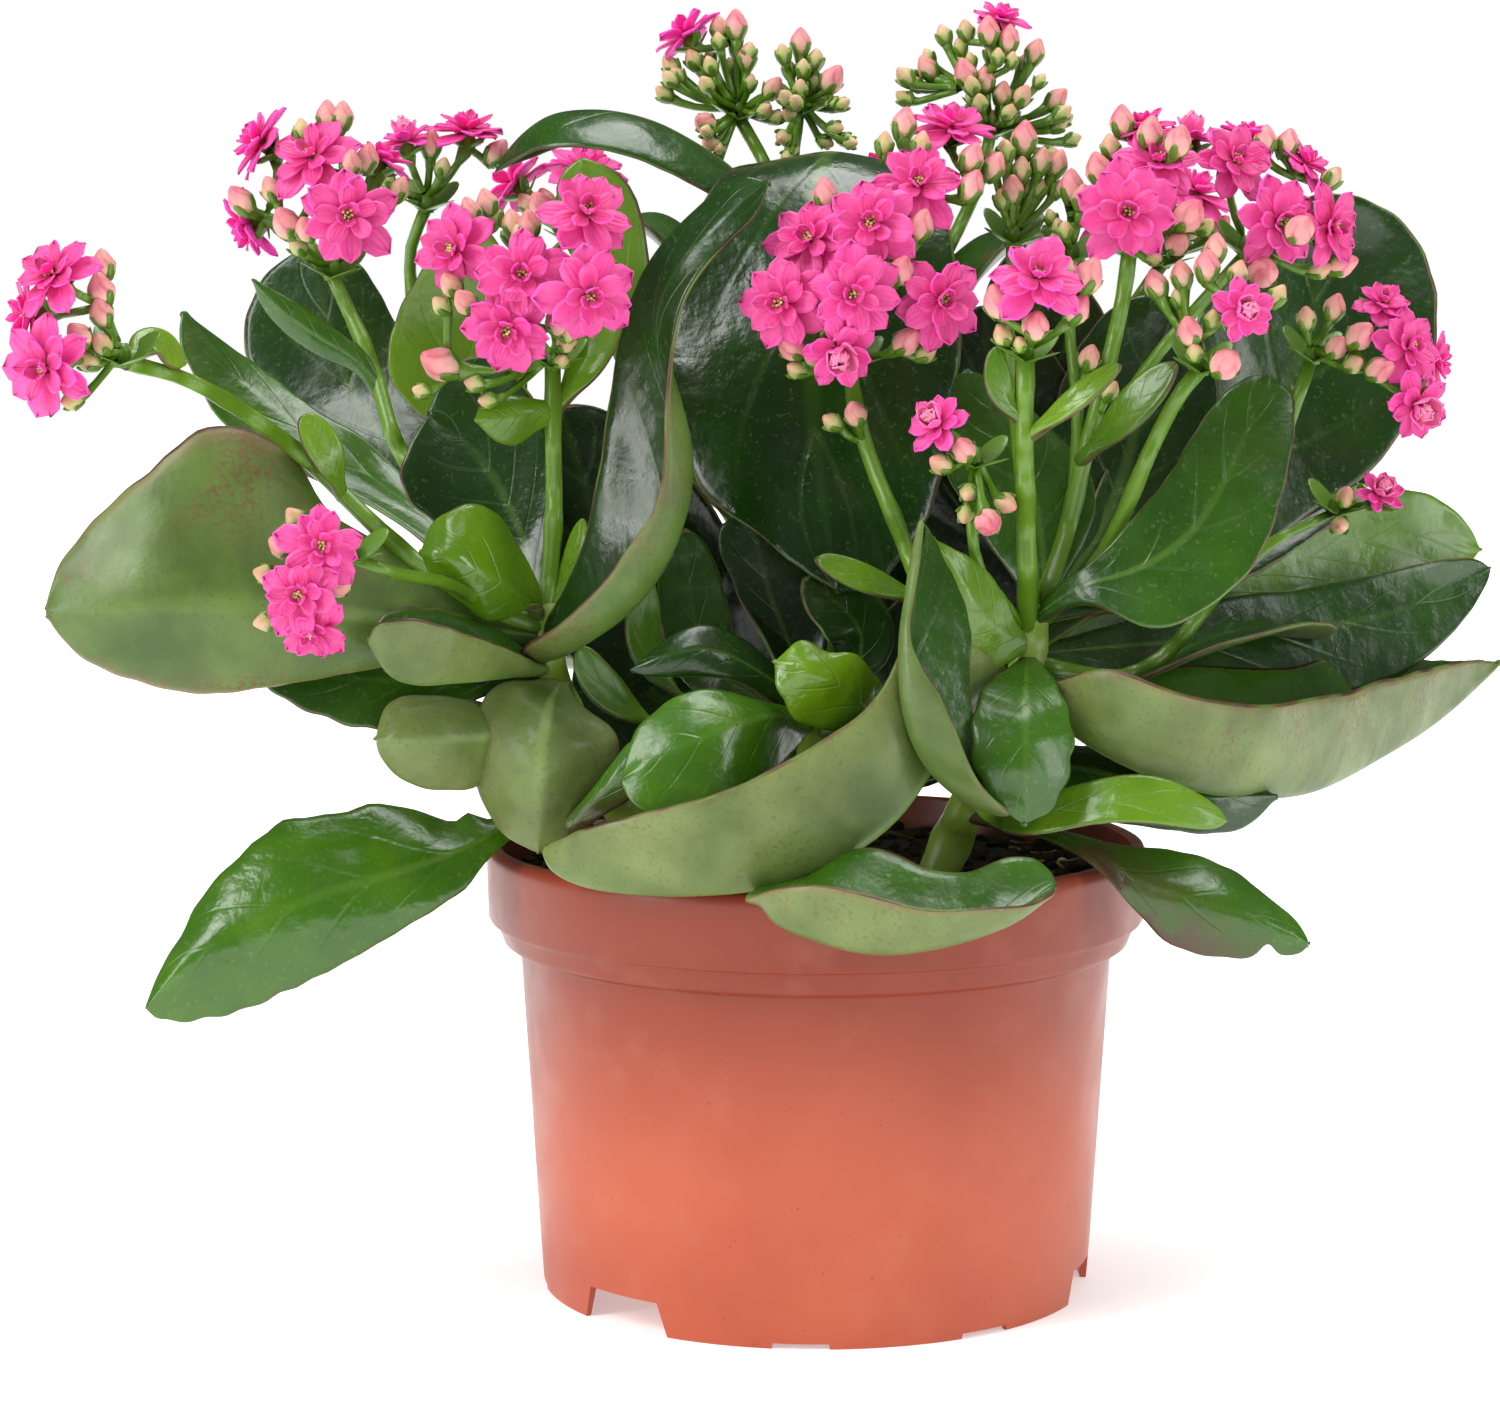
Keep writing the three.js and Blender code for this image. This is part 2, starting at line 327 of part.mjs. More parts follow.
const STALKS = [
  ["left", 4.2, 3.2, [[-26, 70, -12], [-32, 82, -14], [-42, 98, -20], [-48, 112, -26], [-49, 125, -27]]],
  ["left", 1.9, 1.7, [[-49, 122, -27], [-47.5, 140, -27], [-47.5, 155, -26], [-47.5, 168, -26]]],
  ["left", 2, 1.4, [[-49, 120, -27], [-60, 124.5, -33], [-72, 132, -34], [-82, 141, -35], [-92, 151, -38],
    [-104, 160, -49], [-114, 165.5, -59], [-125, 168.5, -69]]],
  ["left", 1.4, 1.1, [[-59, 124, -32], [-67, 128.5, -49], [-75, 130, -53], [-84, 133, -58]]],
  ["left", 1.9, 1.5, [[-49, 121, -24], [-64, 138, -16], [-75, 152, -9], [-80, 168, -7], [-87, 184, -7]]],
  ["left", 1.7, 1.3, [[-49, 121, -22], [-60, 142, 10], [-70, 165, 20], [-73, 186, 22], [-70, 196, 24]]],
  ["right", 4.4, 3.4, [[20, 70, -12], [26, 84, -16], [33, 100, -24], [38, 113, -28], [39.5, 125, -29]]],
  ["right", 2.1, 1.8, [[38.5, 118, -29], [38, 135, -36], [37.5, 152, -41], [37.5, 169, -43]]],
  ["right", 2, 1.6, [[40, 122, -28], [45, 137, -22], [48, 150, -19], [52, 166, -18], [55, 180, -18],
    [56, 188, -18]]],
  ["right", 1.3, 1.1, [[46, 140, -21], [47, 158, -17], [45.5, 174, -15], [45.5, 187, -15]]],
  ["right", 1.4, 1.2, [[48, 150, -19], [60, 168, -16], [70, 180, -14], [77, 188, -15]]],
  ["right", 1.8, 1.5, [[41, 122, -29], [50, 131, -31], [55, 140, -32], [60, 152, -33], [65, 162, -34],
    [69, 167, -35]]],
  ["right", 1.7, 1.3, [[38, 114, -27], [58, 112, -17], [72, 126, -13], [80, 142, -9], [86, 160, -7],
    [89, 169, -4]]],
  ["right", 1.2, 1, [[72, 126, -13], [82, 135.5, -3], [94, 141.5, 6]]],
  ["right", 1.8, 1.6, [[38, 115, -28], [28, 119, -30], [20, 126, -29], [15, 138, -27], [10, 150, -26],
    [7, 160, -25], [6, 168, -25]]],
  ["right", 1.3, 1.1, [[38, 120, -30], [30, 130, -36], [28, 140, -38], [28.5, 150, -38]]],
  ["right", 1.5, 1.1, [[39.5, 122, -29], [38.5, 136, -28], [35.5, 160, -21], [34.5, 176, -16],
    [35, 190, -13]]],
  ["front", 3.8, 2.8, [[-1, 70, -18], [-2, 86, -22], [-1, 97, -26], [0, 106, -27]]],
  ["back", 4.4, 2.6, [[2, 70, 20], [3, 100, 24], [3, 130, 26], [2, 155, 27], [0, 178, 27]]],
  ["back", 1.8, 1.4, [[1, 172, 27], [-4, 190, 38], [-9, 203, 50], [-14, 212, 56]]],
  ["back", 1.2, 1, [[-7, 198, 46], [-4, 206, 52], [-3, 213, 54]]],
  ["back", 1.8, 1.4, [[3, 150, 28], [18, 178, 40], [28, 198, 48], [31, 209, 50]]],
  ["back", 1.7, 1.2, [[2, 112, 25], [-40, 135, 44], [-76, 155, 54], [-91, 171, 54]]],
  ["back", 1.9, 1.5, [[1, 120, 26], [-22, 150, 52], [-38, 178, 58], [-44, 190, 60]]],
  ["back", 1.9, 1.5, [[4, 130, 28], [8, 160, 52], [10, 180, 64], [11, 188, 68]]],
  ["back", 1.9, 1.5, [[4, 115, 27], [30, 145, 50], [52, 172, 55], [62, 186, 57]]],
];

// Single small buds on a stalk: stem, root, bud, width

const SIDE_BUDS = [
  ["right", [8.6, 154, -25.5], [7, 159, -29.5], 4],
  ["right", [8.6, 154, -25.5], [3, 157.5, -28.5], 3.2],
  ["right", [47, 162, -17], [49, 169, -20], 3.8],
  ["right", [50, 158, -18.5], [52.8, 163, -21], 3.2],
];

// Flower heads: name, node where the stalk ends, flowers, buds.
// A flower is its middle [x, z, y], the way it faces and its width; a bud its middle and width.

const HEADS = [
  ["a", [-125, 168.5, -69], [
    [[-136.5, 183.5, -78], [-0.5, -0.6, 0.6], 15],
    [[-140.5, 177, -72], [-0.95, -0.2, 0.1], 14],
    [[-138, 167.5, -80], [-0.45, -0.85, -0.1], 16],
  ], [
    [[-128.5, 181, -72], 4.6],
  ]],
  ["b", [-87, 184, -7], [
    [[-99, 207, -6], [-0.85, -0.2, 0.5], 15],
    [[-90, 204.5, -14], [-0.3, -0.75, 0.6], 16],
    [[-84, 194.5, -22], [0.05, -1, 0.05], 17],
    [[-101, 193, -4], [-0.8, 0.2, -0.4], 13],
    [[-78, 204, -4], [0.3, 0.2, 0.9], 11],
  ], [
    [[-103, 197, -10], 4.6], [[-95, 193, -16], 5],
    [[-87.5, 212, -8], 4.2],
    [[-80.5, 204.5, -10], 4.2],
  ]],
  ["n", [-70, 196, 24], [
    [[-62.5, 209, 24], [0.05, -0.15, 1], 14],
    [[-73.5, 207.5, 20], [-0.15, -0.2, 1], 11],
  ], [
    [[-69, 207, 22], 4.2], [[-57.5, 205.5, 24], 4.4],
  ]],
  ["c", [-47.5, 168, -26], [
    [[-64.5, 188.5, -34], [-0.45, -0.85, 0.1], 15.5],
    [[-53, 184, -42], [0, -1, 0.15], 16],
    [[-41.5, 194.5, -40], [0.2, -0.8, 0.5], 16.5],
    [[-41, 180.5, -48], [0.25, -0.95, -0.1], 16.5],
    [[-55.5, 174.5, -42], [-0.1, -0.95, -0.25], 16],
  ], [
    [[-67.5, 168, -36], 5.8],
    [[-46.5, 175.5, -38], 4.4],
  ]],
  ["o", [-91, 171, 54], [
    [[-90, 180.5, 52], [-0.3, -0.6, 0.7], 12],
  ], [
  ]],
  ["l", [-14, 212, 56], [
    [[-23, 226, 56], [-0.6, 0.2, 0.8], 14],
  ], [
    [[-14.5, 228, 54], 4.6],
  ]],
  ["l_right", [-3, 213, 54], [], [
    [[-3, 225, 54], 4.2], [[2.5, 218.5, 52], 4.6],
  ]],
  ["m", [31, 209, 50], [
    [[32.5, 229, 50], [0.3, -0.3, 0.9], 11],
  ], [
    [[30.5, 227, 46], 4.4], [[34, 225.5, 47], 4.4],
    [[26.5, 219.5, 46], 4.6],
  ]],
  ["d", [6, 168, -25], [
    [[24, 209.5, -16], [0.1, -0.3, 0.95], 15.5],
    [[18, 199.5, -26], [0.05, -0.85, 0.5], 16.5],
    [[9.5, 193, -34], [-0.05, -0.97, 0.2], 16.5],
    [[-1, 190, -30], [-0.35, -0.85, 0.35], 15.5],
    [[-6, 179, -36], [-0.35, -0.93, 0], 16],
    [[6.5, 180.5, -40], [0, -1, 0.05], 16],
    [[4, 170.5, -38], [0, -0.92, -0.35], 14],
    [[22, 179.5, -34], [0.3, -0.95, 0.05], 16],
  ], [
    [[1.5, 198, -26], 4.6], [[15.5, 210.5, -18], 4.6],
    [[27.5, 204.5, -22], 4.4], [[31.5, 203, -20], 4.2], [[27.5, 199.5, -26], 4.6], [[18.5, 192.5, -32], 4.6],
    [[15, 184.5, -36], 4.4], [[16, 172, -34], 4.6], [[-4.5, 171, -34], 4.4],
  ]],
  ["x", [35, 190, -13], [], [
    [[37, 208, -12], 4.8],
  ]],
  ["y", [45.5, 187, -15], [], [
    [[45.5, 199.5, -16], 4.6],
  ]],
  ["e", [37.5, 169, -43], [
    [[39.5, 183, -52], [0.1, -0.8, 0.6], 16.5],
  ], [
    [[32.5, 179, -50], 5], [[39.3, 174.8, -52], 4.6],
    [[48.5, 183.5, -46], 5.2], [[46.6, 177.6, -46], 4.4],
  ]],
  ["i", [28.5, 150, -38], [
    [[22, 157, -42], [-0.45, -0.7, 0.5], 12],
  ], [
    [[26.5, 152.5, -43], 4.2],
    [[31, 139.5, -47], 4.6],
  ]],
  ["f", [56, 188, -18], [
    [[55.5, 195, -34], [0, -1, 0.1], 17.5],
    [[61, 203.5, -24], [0, -0.75, 0.65], 15],
    [[58.5, 209.5, -16], [-0.2, -0.2, 1], 12],
    [[67, 208, -10], [0, 0, 1], 11],
  ], [
    [[54.5, 211, -18], 4.4], [[59.5, 209, -24], 4.6], [[64.5, 207.5, -29], 4.6],
    [[50.5, 202.5, -22], 4.8], [[66.5, 194.5, -32], 5.4],
  ]],
  ["f_right", [77, 188, -15], [
    [[74.3, 204, -19.5], [0.35, -0.85, 0.4], 14.5],
    [[82.5, 193.5, -26], [0.25, -0.95, 0], 15.5],
    [[91.5, 192.5, -22], [0.65, -0.75, 0], 14],
    [[76.5, 208, -4], [0.2, 0.1, 1], 11],
    [[87, 203.5, -6], [0.6, -0.3, 0.7], 11],
  ], [
    [[86.5, 192, -31], 5], [[80, 184.5, -26], 5.4], [[94, 185.8, -20], 4.4],
    [[80, 207.5, -8], 4.4], [[84, 207, -6], 4.4],
  ]],
  ["g", [69, 167, -35], [
    [[76.5, 177.5, -42], [0.15, -0.97, 0.1], 12],
  ], [
    [[73.5, 168, -42], 5.2], [[67, 173.7, -40], 4.4],
    [[70, 185.3, -37], 4.6],
    [[61, 182, -33], 4.2],
  ]],
  ["h", [89, 169, -4], [
    [[101.5, 178.5, -8], [0.2, -0.6, 0.8], 11],
    [[106, 171, -12], [0.45, -0.85, 0.2], 13.5],
    [[110.5, 168.5, -4], [0.9, -0.4, 0.1], 12],
    [[108, 160.7, -14], [0.3, -0.9, -0.3], 13.5],
  ], [
    [[97.5, 173, -12], 4.8], [[101.2, 167, -14], 4.6],
  ]],
  ["k", [94, 141.5, 6], [
    [[101.5, 144.5, 2], [0.3, -0.7, 0.6], 10],
  ], [
  ]],
  ["j", [-84, 133, -58], [
    [[-89.5, 135, -68], [0.15, -0.98, 0.15], 14],
    [[-93.5, 126.5, -70], [-0.1, -0.98, 0], 14],
    [[-91.5, 120.5, -68], [-0.1, -0.85, -0.5], 12.5],
  ], [
  ]],
];

// Leaves and heads at the back, which the photo doesn't show, follow a rule. A tier of leaves
// leaves its stem at the foot [x, y, z] and fans out between two angles from the right side.

const BACK_TIERS = [
  { stem: "back", foot: [3, 25, 90], count: 4, from: 14, to: 166, reach: 60, climb: 3, width: 32 },
  { stem: "back", foot: [3, 26, 118], count: 4, from: 28, to: 152, reach: 56, climb: 24, width: 30 },
  { stem: "back", foot: [2, 27, 140], count: 3, from: 12, to: 162, reach: 45, climb: 42, width: 26 },
  { stem: "left", foot: [-48, -24, 104], count: 2, from: 112, to: 148, reach: 60, climb: 12, width: 30 },
  { stem: "right", foot: [37.7, -26.2, 103], count: 2, from: 38, to: 72, reach: 60, climb: 10, width: 30 },
];
const BACK_HEADS = [
  ["p", [-44, 190, 60], 3],
  ["q", [11, 188, 68], 3],
  ["r", [62, 186, 57], 3],
];

// A seeded random draw, so that every build is the same
function seeded(seed) {
  let state = seed;
  return () => {
    state = (state * 48271) % 2147483647;
    return state / 2147483647;
  };
}

// Solids

function solidFrom(positions, triangles) {
  const mesh = new wasm.Mesh({
    numProp: 3,
    vertProperties: Float32Array.from(positions),
    triVerts: Uint32Array.from(triangles),
  });
  return new wasm.Manifold(mesh);
}

function solidFromGeometry(geometry) {
  geometry.deleteAttribute("normal");
  geometry.deleteAttribute("uv");
  const merged = mergeVertices(geometry, 1e-3);
  const index = merged.index.array;
  const triangles = [];
  for (let i = 0; i < index.length; i += 3) {
    const [a, b, c] = index.slice(i, i + 3);
    if (a !== b && b !== c && c !== a) triangles.push(a, b, c);
  }
  return solidFrom(merged.attributes.position.array, triangles);
}

function lathed(profile, sides) {
  const points = profile.map(([radius, height]) => new THREE.Vector2(radius, height));
  const geometry = new THREE.LatheGeometry(points, sides);
  geometry.rotateX(Math.PI / 2);
  return solidFromGeometry(geometry);
}

function geometryOf(solid) {
  const { numProp, vertProperties, triVerts } = solid.getMesh();
  const geometry = new THREE.BufferGeometry();
  geometry.setAttribute("position", new THREE.BufferAttribute(vertProperties, numProp));
  geometry.setIndex(new THREE.BufferAttribute(triVerts, 1));
  return geometry;
}

// The separate bodies of a solid, largest first, without sealed hollows and loose scraps
function bodies(solid, smallest) {
  return solid
    .decompose()
    .filter((body) => body.volume() > smallest)
    .sort((a, b) => b.volume() - a.volume());
}

// Joins and cuts leave slivers along their seams: those under SEAM are closed up
const SEAM = 0.11;
const tidied = (solid) => solid.asOriginal().simplify(SEAM);

const joined = (solids) => tidied(wasm.Manifold.union(solids));

function meets(a, b) {
  const [p, q] = [a.boundingBox(), b.boundingBox()];
  return [0, 1, 2].every((axis) => p.min[axis] < q.max[axis] && q.min[axis] < p.max[axis]);
}

function without(solid, others) {
  const near = others.filter((other) => meets(solid, other));
  return tidied(near.reduce((rest, other) => rest.subtract(other), solid));
}

// A tube through the points, with one radius at each; a radius of 0 ends it in a point
function tube(points, radii, sides) {
  const positions = [];
  const triangles = [];
  const rings = [];
  const across = new THREE.Vector3(0.31, -0.87, 0.38);
  points.forEach((point, i) => {
    const before = points[Math.max(i - 1, 0)];
    const after = points[Math.min(i + 1, points.length - 1)];
    const along = after.clone().sub(before).normalize();
    across.addScaledVector(along, -across.dot(along)).normalize();
    const third = along.clone().cross(across);
    const count = radii[i] > 0 ? sides : 1;
    const ring = [];
    for (let k = 0; k < count; k += 1) {
      const angle = (2 * Math.PI * k) / sides;
      const corner = point.clone();
      corner.addScaledVector(across, radii[i] * Math.cos(angle));
      corner.addScaledVector(third, radii[i] * Math.sin(angle));
      ring.push(positions.length / 3);
      positions.push(corner.x, corner.y, corner.z);
    }
    rings.push(ring);
  });
  for (let i = 0; i + 1 < rings.length; i += 1) {
    const [low, high] = [rings[i], rings[i + 1]];
    for (let k = 0; k < sides; k += 1) {
      const next = (k + 1) % sides;
      if (low.length > 1) triangles.push(low[k], low[next], high[k % high.length]);
      if (high.length > 1) triangles.push(high[next], high[k], low[low.length > 1 ? next : 0]);
    }
  }
  const [first, last] = [rings[0], rings[rings.length - 1]];
  for (let k = 1; k + 1 < sides; k += 1) {
    if (first.length > 1) triangles.push(first[0], first[k + 1], first[k]);
    if (last.length > 1) triangles.push(last[0], last[k], last[k + 1]);
  }
  return solidFrom(positions, triangles);
}

// The pot

function potProfile() {
  const { rimRadius, rimTop, rimInner, rimRoll, ringStep, ringBottom, ringRadius } = POT;
  const { neckRadius, footRadius, wall, floorUnder, floorTop } = POT;
  return [
    [0, floorUnder],
    [footRadius - wall, floorUnder],
    [footRadius - wall, 0],
    [footRadius, 0],
    [neckRadius, ringBottom - 0.4],
    [ringRadius - 0.6, ringBottom],
    [ringRadius + 1.4, ringStep],
    [rimRadius - 0.4, ringStep + 0.4],
    [rimRadius, rimRoll],
    [rimRadius - 0.7, rimTop],
    [rimInner, rimTop],
    [ringRadius - 0.8, ringStep - 1],
    [neckRadius - wall, ringBottom - 2],
    [footRadius - wall + 0.4, floorTop],
    [0, floorTop],
  ];
}

// A wedge-sided cutter through the pot's foot, at an angle from the front
function footCutter(width, top, angle) {
  const slope = 0.25 * top;
  const shape = new THREE.Shape();
  shape.moveTo(-width / 2 - slope, -1);
  shape.lineTo(width / 2 + slope, -1);
  shape.lineTo(width / 2 - slope / 2, top);
  shape.lineTo(-width / 2 + slope / 2, top);
  const geometry = new THREE.ExtrudeGeometry(shape, { depth: 16, bevelEnabled: false });
  geometry.rotateX(Math.PI / 2);
  geometry.translate(0, -POT.footRadius + 10, 0);
  geometry.rotateZ(THREE.MathUtils.degToRad(angle));
  return solidFromGeometry(geometry);
}

function pot() {
  const cutters = [];
  for (const angle of NOTCH.angles) {
    cutters.push(footCutter(NOTCH.width, NOTCH.top, angle));
    for (const after of FOOT_GAP.afterNotch) {
      cutters.push(footCutter(FOOT_GAP.width, POT.footRise, angle + after));
    }
  }
  for (let i = 0; i < DRAIN.count; i += 1) {
    const drain = new THREE.CylinderGeometry(DRAIN.radius, DRAIN.radius, 6, 8);
    drain.rotateX(Math.PI / 2);
    const angle = (2 * Math.PI * i) / DRAIN.count;
    drain.translate(DRAIN.ring * Math.cos(angle), DRAIN.ring * Math.sin(angle), POT.floorTop - 0.5);
    cutters.push(solidFromGeometry(drain));
  }
  return without(lathed(potProfile(), POT.sides), cutters);
}

// The soil: its top is raised by a formula, and the stems stand in plain holes

function soil(stemHoles) {
  const { footRadius, neckRadius, wall, ringRadius, ringBottom, ringStep, rimInner, floorTop } = POT;
  const topRings = [40, 21];
  const profile = [
    [0, floorTop + GAP],
    [footRadius - wall - SOIL.inset, floorTop + GAP],
    [neckRadius - wall - SOIL.inset, ringBottom - 1.6],
    [ringRadius - 0.8 - SOIL.inset, ringStep - 0.6],
    [rimInner - SOIL.inset, SOIL.edge],
    ...topRings.map((radius) => [radius, SOIL.edge + 1]),
    [0, SOIL.middle],
  ];
  const points = profile.map(([radius, height]) => new THREE.Vector2(radius, height));
  const geometry = new THREE.LatheGeometry(points, SOIL.sides);
  geometry.rotateX(Math.PI / 2);
  const place = geometry.attributes.position;
  for (let i = 0; i < place.count; i += 1) {
    const [x, y, z] = [place.getX(i), place.getY(i), place.getZ(i)];
    const radius = Math.hypot(x, y);
    if (z > SOIL.edge && radius > 1) {
      const clod = Math.sin(0.31 * x + 1.7) * Math.cos(0.27 * y) + 0.6 * Math.sin(0.55 * (x - y));
      place.setZ(i, SOIL.edge + (SOIL.middle - SOIL.edge) * (1 - radius / rimInner) + 0.8 * clod);
    }
  }
  return without(solidFromGeometry(geometry), stemHoles);
}

// Stalks. What grows from a stalk starts this far behind its own first point

const ROOT_SINK = 2;

function stalkCurve(path) {
  return new THREE.CatmullRomCurve3(path.map(seen), false, "catmullrom", 0.5);
}

function stalk(path, footRadius, endRadius, grow) {
  const curve = stalkCurve(path);
  const steps = Math.max(2, Math.round(curve.getLength() / 16));
  const points = curve.getSpacedPoints(steps);
  const radii = points.map((_, i) => THREE.MathUtils.lerp(footRadius, endRadius, i / steps) + grow);
  points[0].addScaledVector(curve.getTangentAt(0), -ROOT_SINK - grow);
  points[steps].addScaledVector(curve.getTangentAt(1), grow);
  return tube(points, radii, footRadius > 2.5 ? 8 : 5);
}

// Leaves

// crease: how sharply a traced row bends at the rib, from 0 for one even curve to 1 for a V
const LEAF = { edgeNotch: 0.05, thick: 1.3, stalkThick: 2.6, bigWidth: 15, crease: 0.35 };
const RINGS = { pitch: 15.5, fewest: 5, most: 8, small: 4 };

// A thin margin has to grow by more than the rest for the same clearance beside it
const MARGIN_GROWTH = 2;

// Half the blade's width at a share of the rib, petiole included
function halfWidth(share, width, stalkShare) {
  const onBlade = Math.max(share - stalkShare, 0) / (1 - stalkShare);
  const blade = 1.065 * width * onBlade ** 0.6 * Math.max(1 - onBlade, 0) ** 0.5;
  const petiole = Math.min(2, 0.09 * width + 0.6);
  return share < 0.5 ? Math.max(blade, petiole) : blade;
}

// How far across and up a point of a folded half lies, for a blade of half width 1
function foldedHalf(across, fold) {
  const bend = THREE.MathUtils.degToRad(fold);
  const atRib = 0.45 * bend;
  const there = atRib + (1.55 * bend - atRib) * across;
  if (Math.abs(there - atRib) < 1e-6) return [across * Math.cos(atRib), across * Math.sin(atRib), atRib];
  const scale = across / (there - atRib);
  const out = scale * (Math.sin(there) - Math.sin(atRib));
  const up = scale * (Math.cos(atRib) - Math.cos(there));
  return [out, up, there];
}

// A line through the places from a leaf's root to its tip
const leafLine = (points) => new THREE.CatmullRomCurve3(points, false, "catmullrom", 0.5);

// A folded blade: a formula gives its width, and its halves fold up from the rib
function foldedBlade(rib, width, face, folds, stalkShare) {
  const curve = leafLine(rib);
  const upper = new THREE.Vector3(...face).normalize();
  const at = (share, across, notch, growth) => {
    const along = curve.getTangentAt(share);
    const up = upper.clone().addScaledVector(along, -upper.dot(along)).normalize();
    const side = along.clone().cross(up);
    const half = halfWidth(share, width, stalkShare) * notch + growth;
    const sign = Math.sign(across);
    const [out, rise, angle] = foldedHalf(Math.abs(across), folds[across < 0 ? 0 : 1]);
    const point = curve.getPointAt(share).addScaledVector(side, half * out * sign);
    point.addScaledVector(up, half * rise);
    const normal = up.multiplyScalar(Math.cos(angle)).addScaledVector(side, -sign * Math.sin(angle));
    return { point, normal };
  };
  return { curve, width, stalkShare, notch: LEAF.edgeNotch, at };
}

// A traced blade: each row runs from the left margin over the rib to the right margin
function tracedBlade(left, rib, right, stalkShare) {
  const curve = leafLine(rib);
  const start = curve.getTangentAt(0);
  const aside = right[0].clone().sub(left[0]);
  aside.addScaledVector(start, -aside.dot(start)).setLength(LEAF.stalkThick / 2);
  const margins = [
    leafLine([rib[0].clone().sub(aside), ...left]),
    leafLine([rib[0].clone().add(aside), ...right]),
  ];
  const widths = [0.3, 0.5, 0.7].map((share) => {
    const [a, b] = margins.map((margin) => margin.getPointAt(share));
    return a.distanceTo(b);
  });
  const at = (share, across, notch, growth) => {
    const middle = curve.getPointAt(share);
    const halves = margins.map((margin) => {
      const half = margin.getPointAt(share).sub(middle);
      return half.setLength(half.length() * notch + growth);
    });
    const [a, b] = halves;
    const even = b.clone().sub(a).multiplyScalar(across / 2);
    even.addScaledVector(a, across ** 2 / 2).addScaledVector(b, across ** 2 / 2);
    const straight = (across < 0 ? a : b).clone().multiplyScalar(Math.abs(across));
    const reach = across < 0 ? a.clone().negate() : b.clone();
    if (across === 0) reach.sub(a);
    const normal = reach.cross(curve.getTangentAt(share)).normalize();
    return { point: middle.add(even.lerp(straight, LEAF.crease)), normal };
  };
  return { curve, width: Math.max(...widths), stalkShare, notch: 0, at };
}

// A closed leaf: rings of columns on the upper and the under side that share both edges
function leaf(blade, grow) {
  const { curve, width, stalkShare } = blade;
  const big = width > LEAF.bigWidth;
  const columns = big ? 5 : 3;
  const wanted = Math.round(curve.getLength() / RINGS.pitch);
  const rings = big ? THREE.MathUtils.clamp(wanted, RINGS.fewest, RINGS.most) : RINGS.small;
  const positions = [];
  const addPoint = (point) => positions.push(point.x, point.y, point.z) / 3 - 1;
  const rows = [];
  for (let i = 0; i < rings; i += 1) {
    const share = (0.97 * i) / (rings - 1);
    const sink = i === 0 ? ROOT_SINK : 0;
    const notch = big && share > 0.35 ? 1 + blade.notch * (i % 2 ? 1 : -1) : 1;
    const petiole = Math.max(0, 1 - share / (stalkShare + 0.08));
    const thick = THREE.MathUtils.lerp(LEAF.thick, LEAF.stalkThick, petiole) + 2 * grow;
    const row = { top: [], under: [] };
    for (let j = 0; j < columns; j += 1) {
      const across = -1 + (2 * j) / (columns - 1);
      const { point, normal } = blade.at(share, across, notch, MARGIN_GROWTH * grow);
      point.addScaledVector(curve.getTangentAt(share), -sink);
      if (j === 0 || j === columns - 1) {
        const edge = addPoint(point);
        row.top.push(edge);
        row.under.push(edge);
      } else {
        row.top.push(addPoint(point.clone().addScaledVector(normal, thick / 2)));
        row.under.push(addPoint(point.clone().addScaledVector(normal, -thick / 2)));
      }
    }
    rows.push(row);
  }
  const tip = addPoint(curve.getPointAt(1).addScaledVector(curve.getTangentAt(1), grow));
  const triangles = [];
  const face4 = (a, b, c, d) => {
    if (a !== b) triangles.push(a, b, c);
    if (c !== d) triangles.push(a, c, d);
  };
  for (let i = 0; i + 1 < rings; i += 1) {
    for (let j = 0; j + 1 < columns; j += 1) {
      const [low, high] = [rows[i], rows[i + 1]];
      face4(low.top[j], low.top[j + 1], high.top[j + 1], high.top[j]);
      face4(high.under[j], high.under[j + 1], low.under[j + 1], low.under[j]);
    }
  }
  for (let j = 0; j + 1 < columns; j += 1) {
    const [first, last] = [rows[0], rows[rings - 1]];
    triangles.push(last.top[j], last.top[j + 1], tip);
    triangles.push(last.under[j + 1], last.under[j], tip);
    if (j + 1 < columns - 1) triangles.push(first.top[j], first.under[j + 1], first.top[j + 1]);
    if (j > 0) triangles.push(first.top[j], first.under[j], first.under[j + 1]);
  }
  return solidFrom(positions, triangles);
}

// Leaves at the back: tiers of them leave a stem all round its hidden half
function backLeaves(stem) {
  const draw = seeded(41);
  const leaves = [];
  for (const tier of BACK_TIERS.filter((each) => each.stem === stem)) {
    for (let i = 0; i < tier.count; i += 1) {
      const turn = THREE.MathUtils.lerp(tier.from, tier.to, i / (tier.count - 1)) + 8 * (draw() - 0.5);
      const angle = THREE.MathUtils.degToRad(turn);
      const out = new THREE.Vector3(Math.cos(angle), Math.sin(angle), 0);
      const root = new THREE.Vector3(...tier.foot);
      root.z += 2 * i + 6 * draw();
      const reach = tier.reach + 6 * draw();
      const climb = tier.climb + 7 * draw();
      const at = (share, rise) => {
        const point = root.clone().addScaledVector(out, reach * share);
        return point.setZ(root.z + climb * rise);
      };
      const rib = [at(0, 0), at(0.35, 0.5), at(0.75, 0.95), at(1.05, 0.85)];
      const face = [-0.35 * out.x, -0.35 * out.y, 0.9];
      const width = tier.width * (0.85 + 0.25 * draw());
      leaves.push(foldedBlade(rib, width, face, [14, 14], 0.2));
    }
  }
  return leaves;
}

// Buds and flowers are each one closed skin, stalk included

const BUD_LEAN = new THREE.Vector3(0, -0.1, 0.45);
const HEAD = { stalk: 0.7, calyx: 1.9, calyxDrop: 2.4, bigBud: 4.3, bigFlower: 15 };

